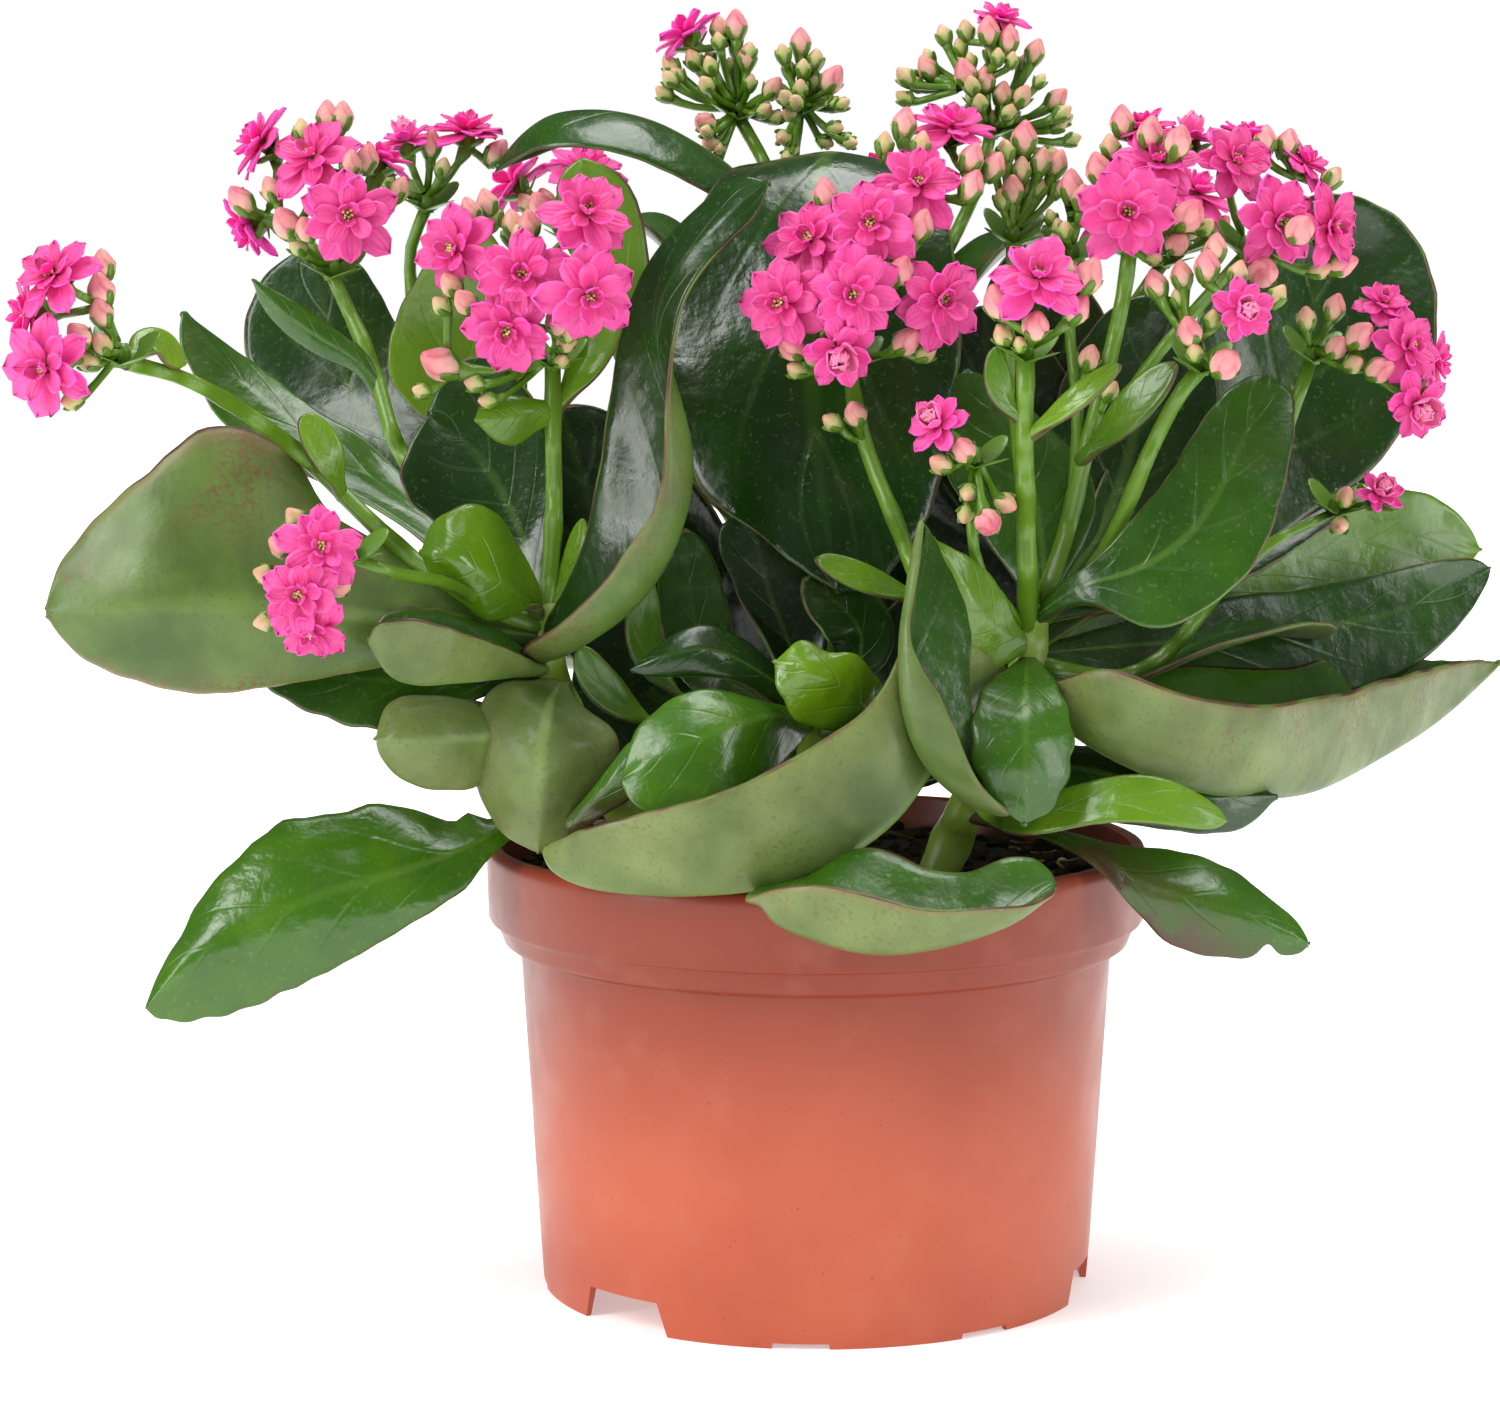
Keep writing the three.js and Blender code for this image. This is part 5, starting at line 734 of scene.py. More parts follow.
def finish_piece(name, mesh, materials, replaced=()):
    """Turns a bmesh in millimetres into a piece that rides with the pot."""
    piece = mesh_object(name, mesh)
    piece.data.shade_smooth()
    for skin in materials:
        piece.data.materials.append(skin)
    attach(piece, "root")
    if replaced:
        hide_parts(*replaced)
    return piece


# A direction that no tube runs along, from which its rings are turned
TUBE_GUIDE = Vector((0.31, -0.87, 0.38))


def tube(mesh, points, radii, sides):
    """A closed tube through the points, pulled out ring by ring. Returns its vertices."""
    across = TUBE_GUIDE
    made = bmesh.ops.create_circle(mesh, cap_ends=True, segments=sides, radius=1)
    ring = made["verts"]
    every = list(ring)
    cap = ring[0].link_faces[0]
    turns = [2 * math.pi * k / sides for k in range(sides)]
    for i, point in enumerate(points):
        if i > 0:
            pulled = bmesh.ops.extrude_face_region(mesh, geom=[cap])["geom"]
            cap = next(part for part in pulled if isinstance(part, bmesh.types.BMFace))
            ring = list(cap.verts)
            every += ring
        before = points[max(i - 1, 0)]
        after = points[min(i + 1, len(points) - 1)]
        along = (after - before).normalized()
        across = (across - along * across.dot(along)).normalized()
        third = along.cross(across)
        for vert, turn in zip(ring, turns):
            vert.co = point + radii[i] * (across * math.cos(turn) + third * math.sin(turn))
    faces = {face for vert in every for face in vert.link_faces}
    bmesh.ops.recalc_face_normals(mesh, faces=list(faces))
    return every


def ball(mesh, middle, axes, rings, sides):
    """A sphere stretched along three axes. Returns its vertices."""
    made = bmesh.ops.create_uvsphere(mesh, u_segments=sides, v_segments=rings, radius=1)
    right, up, out = axes
    for vert in made["verts"]:
        x, y, z = vert.co
        vert.co = middle + right * x + up * y + out * z
    return made["verts"]


def frame_facing(toward):
    """Three directions at right angles, the last one the way that a thing faces."""
    steep = abs(toward.z) > 0.9
    guide = Vector((0, 1, 0)) if steep else Vector((0, 0, 1))
    right = guide.cross(toward).normalized()
    return right, toward.cross(right), toward


# Leaf sizes. Over the share grow of the rib the stalk turns into the blade, and a half folds
# from fold_at_rib to fold_at_edge of its fold. A dried base ends between wither_ends, slanted
# across the leaf, and noise_steps shift the waves from leaf to leaf.

LEAF = {
    "columns": 12, "rows": 36, "small_columns": 6, "small_rows": 12, "big_width": 12,
    "stalk_thick": 2.6, "stalk_round": 0.85, "rib_thick": 1.9, "edge_thick": 0.9,
    "root_sink": 2, "grow": 0.12, "fold_at_rib": 0.45, "fold_at_edge": 1.55, "crease": 0.35,
    "teeth": 0.5, "least_teeth": 3, "tooth_pitch": 6.5, "tooth_depth": 0.045,
    "tooth_middle": 0.6, "tooth_shift": 0.4, "wave": 0.9, "wave_size": 22,
    "full_wave_width": 30, "pucker": 0.22, "pucker_size": 4.5,
    "noise_steps": (7.3, 3.1, 1.7), "blush": 0.1, "wither_ends": (0.4, 0.85),
    "wither_slant": 0.25,
}
# The outline of a leaf that isn't traced. The scale makes its widest place the leaf's width.
OUTLINE = {"scale": 1.065, "root_power": 0.6, "tip_power": 0.5}
LEAF_STALK = {"half": 0.6, "half_per_width": 0.09, "most": 2}


def half_width(share, width, stalk_share):
    on_blade = max(share - stalk_share, 0) / (1 - stalk_share)
    root = on_blade ** OUTLINE["root_power"]
    tip = max(1 - on_blade, 0) ** OUTLINE["tip_power"]
    blade = OUTLINE["scale"] * width * root * tip
    leaf_stalk = min(LEAF_STALK["most"], LEAF_STALK["half_per_width"] * width + LEAF_STALK["half"])
    return max(blade, leaf_stalk) if share < 0.5 else blade


def folded_half(across, fold):
    """How far out and up a point of a folded half lies, for a blade of half width 1."""
    bend = math.radians(fold)
    at_rib = LEAF["fold_at_rib"] * bend
    there = lerp(at_rib, LEAF["fold_at_edge"] * bend, across)
    if abs(there - at_rib) < TINY:
        return across * math.cos(at_rib), across * math.sin(at_rib), at_rib
    scale = across / (there - at_rib)
    out = scale * (math.sin(there) - math.sin(at_rib))
    rise = scale * (math.cos(at_rib) - math.cos(there))
    return out, rise, there


class FoldedBlade:
    """A formula gives the blade's width, and its two halves fold up from the rib."""

    def __init__(self, rib, width, face, fold, stalk_share):
        self.line = Line(rib)
        self.width = width
        self.upper = Vector(face).normalized()
        self.fold = fold
        self.stalk_share = stalk_share

    def at(self, share, across, stretch):
        """The point and the upper side's direction at a share of the rib and of the width."""
        along = self.line.along(share)
        up = (self.upper - along * self.upper.dot(along)).normalized()
        side = along.cross(up)
        half = half_width(share, self.width, self.stalk_share) * stretch
        out, rise, angle = folded_half(abs(across), self.fold)
        sign = 1 if across > 0 else -1
        normal = up * math.cos(angle) - side * (sign * math.sin(angle))
        return self.line.at(share) + side * (half * out * sign) + up * (half * rise), normal


class TracedBlade:
    """Each row of the blade runs from the left margin over the rib to the right margin."""

    WIDTH_SHARES = (0.3, 0.5, 0.7)

    def __init__(self, left, rib, right, stalk_share):
        self.line = Line(rib)
        self.stalk_share = stalk_share
        start = self.line.along(0)
        aside = right[0] - left[0]
        aside = (aside - start * aside.dot(start)).normalized() * LEAF["stalk_thick"] / 2
        self.left = Line([rib[0] - aside, *left, rib[-1]])
        self.right = Line([rib[0] + aside, *right, rib[-1]])
        spans = [self.right.at(share) - self.left.at(share) for share in self.WIDTH_SHARES]
        self.width = max(span.length for span in spans)

    def at(self, share, across, stretch):
        """The point and the upper side's direction at a share of the rib and of the width."""
        middle = self.line.at(share)
        a = (self.left.at(share) - middle) * stretch
        b = (self.right.at(share) - middle) * stretch
        even = (b - a) * across / 2 + (a + b) * across * across / 2
        straight = (a if across < 0 else b) * abs(across)
        reach = b if across > 0 else -a
        normal = reach.cross(self.line.along(share))
        if normal.length < TINY:
            normal = self.line.along(share).orthogonal()
        return middle + even.lerp(straight, LEAF["crease"]), normal.normalized()


def leaf(mesh, layers, group, blade, tone, look, seed):
    """A blade shaped from a grid: columns run across it and rows along its rib."""
    line = blade.line
    width = blade.width
    big = width > LEAF["big_width"]
    columns = LEAF["columns"] if big else LEAF["small_columns"]
    rows = LEAF["rows"] if big else LEAF["small_rows"]
    teeth = look.get("teeth", LEAF["teeth"] if big else 0)
    tooth_count = max(LEAF["least_teeth"], round(line.length() / LEAF["tooth_pitch"]))
    wide = min(1, width / LEAF["full_wave_width"])
    jitter = Vector([seed * step for step in LEAF["noise_steps"]])
    made = bmesh.ops.create_grid(mesh, x_segments=columns, y_segments=rows, size=1)
    tip = []
    for vert in made["verts"]:
        across = vert.co.x
        row = (vert.co.y + 1) / 2
        share = math.sin(row * math.pi / 2)
        grown = smoothstep(blade.stalk_share, blade.stalk_share + LEAF["grow"], share)
        turn = math.pi * tooth_count * share + LEAF["tooth_shift"] * seed + (across > 0)
        tooth = abs(math.sin(turn)) - LEAF["tooth_middle"]
        edge = abs(across) ** 3
        stretch = 1 + LEAF["tooth_depth"] * teeth * grown * edge * tooth * 2
        point, normal = blade.at(share, across, stretch)
        if row < TINY:
            point = point - line.along(0) * LEAF["root_sink"]
        wave = noise.noise(point / LEAF["wave_size"] + jitter)
        pucker = noise.noise(point / LEAF["pucker_size"] + jitter)
        lift = LEAF["wave"] * wide * grown * abs(across) ** 1.5 * wave * 2
        lift += LEAF["pucker"] * wide * grown * pucker
        vert.co = point + normal * lift
        stalk_thick = LEAF["stalk_thick"] * math.sqrt(1 - (LEAF["stalk_round"] * across) ** 2)
        blade_thick = lerp(LEAF["rib_thick"], LEAF["edge_thick"], abs(across) ** 0.7)
        thick = lerp(stalk_thick, blade_thick, grown)
        vert[group][0] = thick / LEAF["stalk_thick"]
        fresh = smoothstep(*LEAF["wither_ends"], share - LEAF["wither_slant"] * across)
        paint([vert], layers, across=across, along=share, tone=tone, gloss=look.get("gloss", 0))
        paint([vert], layers, wither=look.get("wither", 0) * (1 - fresh))
        paint([vert], layers, blush=look.get("blush", LEAF["blush"]))
        if row > 1 - TINY:
            tip.append(vert)
    bmesh.ops.remove_doubles(mesh, verts=tip, dist=MERGE)


BACK_LEAF = {
    "seed": 41, "turn_spread": 8, "step_up": 2, "rise_spread": 6, "reach_spread": 6,
    "climb_spread": 7, "face_inward": -0.35, "face_up": 0.9, "least_width": 0.85,
    "width_spread": 0.25, "fold": 14, "stalk_share": 0.2, "tone": 0.3, "tone_step": 0.07,
    "tones": 5,
}
# The run of such a leaf's rib, as shares of its reach and its climb
BACK_RIB = ((0, 0), (0.35, 0.5), (0.75, 0.95), (1.05, 0.85))


def back_leaves(stem):
    """Leaves at the back: tiers of them leave a stem all round its hidden half."""
    size = BACK_LEAF
    draw = seeded(size["seed"])
    leaves = []
    for tier in BACK_TIERS:
        if tier["stem"] != stem:
            continue
        for i in range(tier["count"]):
            turn = lerp(tier["from"], tier["to"], i / (tier["count"] - 1))
            angle = math.radians(turn + size["turn_spread"] * (next(draw) - 0.5))
            out = Vector((math.cos(angle), math.sin(angle), 0))
            root = Vector(tier["foot"])
            root.z += size["step_up"] * i + size["rise_spread"] * next(draw)
            reach = tier["reach"] + size["reach_spread"] * next(draw)
            climb = tier["climb"] + size["climb_spread"] * next(draw)
            rib = [
                root + out * reach * far + Vector((0, 0, climb * rise)) for far, rise in BACK_RIB
            ]
            face = (size["face_inward"] * out.x, size["face_inward"] * out.y, size["face_up"])
            width = tier["width"] * (size["least_width"] + size["width_spread"] * next(draw))
            leaves.append(FoldedBlade(rib, width, face, size["fold"], size["stalk_share"]))
    return leaves


def leaves_of(stem, materials):
    mesh, layers = new_mesh("across", "along", "tone", "blush", "wither", "gloss")
    group = mesh.verts.layers.deform.verify()
    leaves = []
    for name, owner, width, face, fold, stalk_share, tone, rib in LEAVES:
        if owner == stem:
            places = [seen(place) for place in rib]
            blade = FoldedBlade(places, width, face, fold, stalk_share)
            leaves.append((blade, tone, LEAF_LOOKS.get((owner, name), {})))
    for name, owner, stalk_share, tone, *lines in TRACED_LEAVES:
        if owner == stem:
            left, rib, right = ([seen(place) for place in line] for line in lines)
            blade = TracedBlade(left, rib, right, stalk_share)
            leaves.append((blade, tone, LEAF_LOOKS.get((owner, name), {})))
    for blade in back_leaves(stem):
        step = (len(leaves) + 1) % BACK_LEAF["tones"]
        leaves.append((blade, BACK_LEAF["tone"] + BACK_LEAF["tone_step"] * step, {}))
    for seed, (blade, tone, look) in enumerate(leaves, 1):
        leaf(mesh, layers, group, blade, tone, look, seed)
    piece = finish_piece(f"leaves_{stem}", mesh, materials, [f"stem_{stem}"])
    piece.vertex_groups.new(name="thickness")
    flesh = piece.modifiers.new("flesh", "SOLIDIFY")
    flesh.thickness = LEAF["stalk_thick"] * MM
    flesh.offset = 0
    flesh.vertex_group = "thickness"
    flesh.material_offset = 1
    flesh.material_offset_rim = 2
    smooth = piece.modifiers.new("smooth", "SUBSURF")
    smooth.levels = 1
    smooth.render_levels = 1


# Stalks

STALK = {
    "slim": 0.85, "step": 4, "least_steps": 4, "sides": 12, "node_every": 21,
    "node_swell": 0.16, "node_length": 2.2, "node_shift": 5, "thickest": 4.4,
}


def stalk(mesh, layers, path, foot_radius, end_radius, seed):
    line = Line([seen(place) for place in path])
    steps = max(STALK["least_steps"], round(line.length() / STALK["step"]))
    points = []
    radii = []
    for i in range(steps + 1):
        share = i / steps
        from_node = (share * line.length() + STALK["node_shift"] * seed) % STALK["node_every"]
        from_node = min(from_node, STALK["node_every"] - from_node)
        swell = STALK["node_swell"] * math.exp(-((from_node / STALK["node_length"]) ** 2))
        points.append(line.at(share))
        radii.append(lerp(foot_radius, end_radius, share) * STALK["slim"] * (1 + swell))
    points[0] = points[0] - line.along(0) * LEAF["root_sink"]
    verts = tube(mesh, points, radii, STALK["sides"])
    paint(verts, layers, thick=foot_radius / STALK["thickest"])


def stalks_of(stem, materials):
    mesh, layers = new_mesh("along", "thick", "ripe", "around")
    for i, (owner, foot_radius, end_radius, path) in enumerate(STALKS):
        if owner == stem:
            stalk(mesh, layers, path, foot_radius, end_radius, i)
    for owner, root, middle, width in SIDE_BUDS:
        if owner == stem:
            start = seen(root)
            end = seen(middle)
            bud(mesh, layers, start, end, (end - start).normalized(), width)
    finish_piece(f"stalks_{stem}", mesh, materials)


# Buds: an egg of four folded petals on a thin stalk, held by four sepals

BUD = {
    "sides": 16, "rings": 8, "green_width": 2.9, "ripe_width": 4.4, "twist": 0.9,
    "fold_depth": 0.09, "taper": 0.3, "low": 1.15, "tall": 1.3, "point": 0.22, "stalk": 0.7,
    "stalk_sides": 6, "stalk_bend": 0.12, "stalk_into": 0.25, "neck": (0.26, 0.38),
    "sepal_reach": 0.8, "sepal_length": (1.5, 1.15), "sepal_lift": 66,
}
SEPAL = {"count": 4, "start": 0.75, "middle": 0.45, "wide": 0.36, "long": 0.75, "thick": 0.25}
SEPAL_GRID = (4, 6)
# How thick thin stalks and sepals count for their colour, where 1 is the thickest stem
THIN_STALK = 0.3
THIN_SEPAL = 0.2


def bud(mesh, layers, root, middle, toward, width):
    axes = frame_facing(toward)
    right, up, out = axes
    half = width / 2
    base = middle - out * half
    bow = (base - root).length * BUD["stalk_bend"] * (out - Vector((0, 0, 1)))
    line = Line([root, (root + base) / 2 + bow, base, base + out * BUD["stalk_into"] * width])
    radii = [BUD["stalk"]] * 4 + [share * width for share in BUD["neck"]]
    points = [line.at(i / (len(radii) - 1)) for i in range(len(radii))]
    verts = tube(mesh, points, radii, BUD["stalk_sides"])
    paint(verts, layers, thick=THIN_STALK)
    ripe = smoothstep(BUD["green_width"], BUD["ripe_width"], width)
    verts = ball(mesh, Vector(), axes, BUD["rings"], BUD["sides"])
    for vert in verts:
        height = vert.co.dot(out)
        aside = vert.co - out * height
        turn = math.atan2(aside.dot(up), aside.dot(right))
        fold = math.cos(2 * (turn + BUD["twist"] * height)) ** 2
        reach = half * (1 + BUD["fold_depth"] * fold * (1 + height) / 2)
        reach *= 1 - BUD["taper"] * max(height, 0) ** 1.6
        tall = BUD["low"] if height < 0 else BUD["tall"] + BUD["point"] * height ** 4
        vert.co = middle + aside * reach + out * (half * height * tall)
        paint([vert], layers, along=(height + 1) / 2, around=fold, ripe=ripe)
    use_material(verts, 1)
    length = lerp(*BUD["sepal_length"], ripe) * half
    sepals(mesh, layers, base, axes, BUD["sepal_reach"] * half, length, BUD["sepal_lift"])


def sepals(mesh, layers, base, axes, reach, length, lift, fine=1):
    """Narrow green leaves that hold a bud, the back of a flower or a head."""
    right, up, out = axes
    tilt = math.radians(lift)
    rings, sides = SEPAL_GRID
    for k in range(SEPAL["count"]):
        turn = 2 * math.pi * (k + 0.5) / SEPAL["count"]
        spoke = right * math.cos(turn) + up * math.sin(turn)
        side = out.cross(spoke)
        along = (spoke * math.cos(tilt) + out * math.sin(tilt)).normalized()
        thick = side.cross(along)
        middle = base + spoke * reach * SEPAL["start"] + along * length * SEPAL["middle"]
        wide = side * SEPAL["wide"] * length
        shape = (wide, thick * SEPAL["thick"], along * length * SEPAL["long"])
        verts = ball(mesh, middle, shape, rings * fine, sides * fine)
        paint(verts, layers, thick=THIN_SEPAL)


# Flowers: rings of pointed petals round a small eye. A ring is the number of its petals,
# where they start and end as shares of the flower's radius, the height where they start,
# their lift in degrees, how much they curl back, and their width as a share of their length.

OPEN_RINGS = (
    (5, 0.06, 1.1, 0.0, 2, 0.14, 0.76),
    (5, 0.06, 0.97, 0.06, 15, 0.1, 0.74),
    (5, 0.06, 0.76, 0.13, 32, 0.0, 0.72),
    (4, 0.05, 0.5, 0.2, 54, -0.2, 0.74),
)
HALF_OPEN_RINGS = (
    (5, 0.08, 1.0, 0.0, 8, 0.05, 0.72),
    (5, 0.08, 0.88, 0.05, 24, 0, 0.74),
    (5, 0.08, 0.8, 0.1, 48, -0.3, 0.8),
    (5, 0.08, 0.74, 0.14, 66, -0.55, 0.8),
    (4, 0.05, 0.62, 0.16, 80, -0.6, 0.8),
)
PETAL = {
    "columns": 4, "rows": 6, "thick": 0.3, "cup": 0.16, "flatter_tip": 0.4, "ripple": 0.03,
    "base_width": 0.22, "turn_spread": 0.2, "tilt_spread": 9, "skew_spread": 0.12,
    "lengths": (0.88, 1.08), "widths": (0.92, 1.08),
}
# Its outline is widest past the middle, with a clear point: scale, power at the root and the tip
PETAL_OUTLINE = (2.1, 0.85, 0.58)
FLOWER_STALK = {
    "steps": 7, "sides": 8, "radii": (0.75, 0.7), "bend": 0.1, "into": 0.1, "calyx": 1.7,
    "calyx_shape": (0.8, 1, 0.6), "calyx_drop": 2.4, "sepal_reach": 1.2,
    "sepal_length": 3.4, "sepal_lift": 28,
}
ANTHERS = {
    "count": 8, "size": 0.34, "tall": 1.4, "grid": (4, 6), "nearest": 0.04, "spread": 0.09,
    "heights": (0.26, 0.34),
}
RING_SPREAD = 0.08
HALF_OPEN_PALE = 0.3
# The turn from one part to the next that never lines them up, in radians
GOLDEN_TURN = 2.4


def petal(mesh, layers, middle, axes, radius, turn, ring, values, draw):
    _, start, end, height, lift, curl, wide = ring
    scale, root_power, tip_power = PETAL_OUTLINE
    right, up, out = axes
    angle = turn + between(draw, -PETAL["turn_spread"], PETAL["turn_spread"])
    spoke = right * math.cos(angle) + up * math.sin(angle)
    side = out.cross(spoke)
    tilt = math.radians(lift + between(draw, -PETAL["tilt_spread"], PETAL["tilt_spread"]))
    along = spoke * math.cos(tilt) + out * math.sin(tilt)
    normal = out * math.cos(tilt) - spoke * math.sin(tilt)
    length = (end - start) * radius * between(draw, *PETAL["lengths"])
    half = length * wide * between(draw, *PETAL["widths"]) / 2
    skew = between(draw, -PETAL["skew_spread"], PETAL["skew_spread"])
    ripple = between(draw, 0, 6)
    made = bmesh.ops.create_grid(
        mesh, x_segments=PETAL["columns"], y_segments=PETAL["rows"], size=1
    )
    tip = []
    for vert in made["verts"]:
        across = vert.co.x
        share = (vert.co.y + 1) / 2
        swell = scale * share ** root_power * (1 - share) ** tip_power
        reach = half * max(swell, PETAL["base_width"] * (1 - share) ** 0.5)
        rise = PETAL["cup"] * half * across * across * (1 - share * PETAL["flatter_tip"])
        rise -= curl * length * share * share
        rise += PETAL["ripple"] * length * math.sin(5 * share + 3 * across + ripple)
        point = middle + out * height * radius + spoke * start * radius
        point = point + along * (length * share) + side * (across * reach)
        vert.co = point + normal * rise + side * (skew * half * share * share)
        paint([vert], layers, across=across, along=share, **values)
        if share > 1 - TINY:
            tip.append(vert)
    bmesh.ops.remove_doubles(mesh, verts=tip, dist=MERGE)


def flower(petals, petal_layers, greens, green_layers, root, bloom, draw):
    """Rings of petals on a stalk. A bloom is its middle, the way it faces, its width, the turn
    of its first petal and whether it is half open."""
    middle, toward, width, turn, half_open = bloom
    axes = frame_facing(toward)
    right, up, out = axes
    radius = width / 2
    tint = next(draw)
    rings = HALF_OPEN_RINGS if half_open else OPEN_RINGS
    for r, ring in enumerate(rings):
        count = ring[0]
        offset = 0.5 * (r % 2) + between(draw, -RING_SPREAD, RING_SPREAD)
        ring_share = r / (len(rings) - 1)
        pale = max(0, ring_share - HALF_OPEN_PALE) if half_open else 0
        values = {"layer": ring_share, "tint": tint, "pale": pale}
        for k in range(count):
            angle = turn + 2 * math.pi * (k + offset) / count
            petal(petals, petal_layers, middle, axes, radius, angle, ring, values, draw)
    size = FLOWER_STALK
    steps = size["steps"]
    calyx = middle - out * size["calyx_drop"]
    bend = (root + calyx) / 2 - out * size["bend"] * (calyx - root).length
    line = Line([root, bend, calyx, middle + out * size["into"] * radius])
    points = [line.at(i / steps) for i in range(steps + 1)]
    radii = [lerp(*size["radii"], i / steps) for i in range(steps + 1)]
    radii[-3:] = [size["calyx"] * share for share in size["calyx_shape"]]
    verts = tube(greens, points, radii, size["sides"])
    paint(verts, green_layers, thick=THIN_STALK)
    reach, length, lift = size["sepal_reach"], size["sepal_length"], size["sepal_lift"]
    sepals(greens, green_layers, calyx, axes, reach, length, lift)
    if not half_open:
        anthers(greens, middle, axes, radius, turn, draw)


def anthers(mesh, middle, axes, radius, turn, draw):
    """Small grains that wind outwards from the middle of an open flower."""
    right, up, out = axes
    size = ANTHERS["size"]
    shape = (right * size, up * size, out * size * ANTHERS["tall"])
    for k in range(ANTHERS["count"]):
        angle = GOLDEN_TURN * k + turn
        spoke = right * math.cos(angle) + up * math.sin(angle)
        reach = radius * (ANTHERS["nearest"] + ANTHERS["spread"] * (k / (ANTHERS["count"] - 1)))
        place = middle + spoke * reach + out * radius * between(draw, *ANTHERS["heights"])
        verts = ball(mesh, place, shape, *ANTHERS["grid"])
        use_material(verts, 2)


# Heads: each flower and bud grows from the nearest big piece that is closer to the node

HEAD = {
    "big_bud": 4.3, "far_cost": 0.35, "node_rises": (-1, 1.6, 3),
    "node_radii": (1.5, 1.6, 1), "node_sides": 8, "bract": 6, "bract_reach": 1.5,
    "bract_lift": 32, "bract_fine": 2,
    "bract_side": Vector((0.1, -0.35, 0.95)).normalized(), "flower_turn": 0.4,
    "flower_turn_step": 1.3, "seed": 300, "seed_step": 13,
}
# Heads that hold this many more green buds round each of their buds
GREEN_BUDS = {"l": 2, "l_right": 3, "m": 2, "c": 1, "o": 1, "x": 1, "y": 1}
GREEN_BUD = {"seed": 900, "aside": 3.4, "below": (-5.5, -1.5), "widths": (2.4, 3.2)}
BUD_LEAN = Vector((0, -0.1, 0.45))
# How a head at the back is drawn. A pair holds the ends of a draw, and the names with more are
# for the greener buds that fill the head.
BACK_HEAD = {
    "seed": 7, "first_lean": 0.1, "lean": 0.75, "backward": 0.35, "upward": 0.75,
    "flower_far": (14, 16), "flower_widths": (14.5, 16), "turns": 6, "bud_turn": 0.8,
    "bud_rise": (0.35, 0.85), "bud_far": (10.5, 13.5), "bud_widths": (3.8, 5),
    "more_seed": 77, "more_count": 9, "more_turn": 0.5, "more_rise": (0.2, 1.1),
    "more_far": (8, 14), "more_widths": (3, 4.2),
}


def head_from_table(row):
    name, node, flowers, buds = row
    blooms = []
    for i, (middle, toward, width) in enumerate(flowers):
        half_open = (name, i) in HALF_OPEN
        turn = HEAD["flower_turn_step"] * i + HEAD["flower_turn"]
        blooms.append((seen(middle), Vector(toward).normalized(), width, turn, half_open))
    young = [(seen(middle), width) for middle, width in buds]
    draw = seeded(GREEN_BUD["seed"] + len(buds))
    spread = (-GREEN_BUD["aside"], GREEN_BUD["aside"])
    for middle, _ in young[:]:
        for _ in range(GREEN_BUDS.get(name, 0)):
            x = between(draw, *spread)
            y = between(draw, *spread)
            place = middle + Vector((x, y, between(draw, *GREEN_BUD["below"])))
            young.append((place, between(draw, *GREEN_BUD["widths"])))
    return name, seen(node), blooms, young


def back_head(row, index):
    """A head at the back: flowers fan out over its node, with buds between and below them."""
    name, node, count = row
    size = BACK_HEAD
    middle = seen(node)
    draw = seeded(size["seed"] + index)
    flowers = []
    buds = []
    for i in range(count):
        turn = GOLDEN_TURN * i + next(draw)
        lean = size["first_lean"] if i == 0 else size["lean"]
        away = lean * math.sin(turn) + size["backward"]
        toward = Vector((lean * math.cos(turn), away, size["upward"])).normalized()
        place = middle + toward * between(draw, *size["flower_far"])
        width = between(draw, *size["flower_widths"])
        flowers.append((place, toward, width, size["turns"] * next(draw), False))
        aside = turn + size["bud_turn"]
        rise = between(draw, *size["bud_rise"])
        side = Vector((math.cos(aside), math.sin(aside), rise)).normalized()
        place = middle + side * between(draw, *size["bud_far"])
        buds.append((place, between(draw, *size["bud_widths"])))
    more = seeded(size["more_seed"] + index)
    for i in range(size["more_count"]):
        aside = GOLDEN_TURN * i + size["more_turn"]
        rise = between(more, *size["more_rise"])
        side = Vector((math.cos(aside), math.sin(aside), rise)).normalized()
        place = middle + side * between(more, *size["more_far"])
        buds.append((place, between(more, *size["more_widths"])))
    return name, middle, flowers, buds


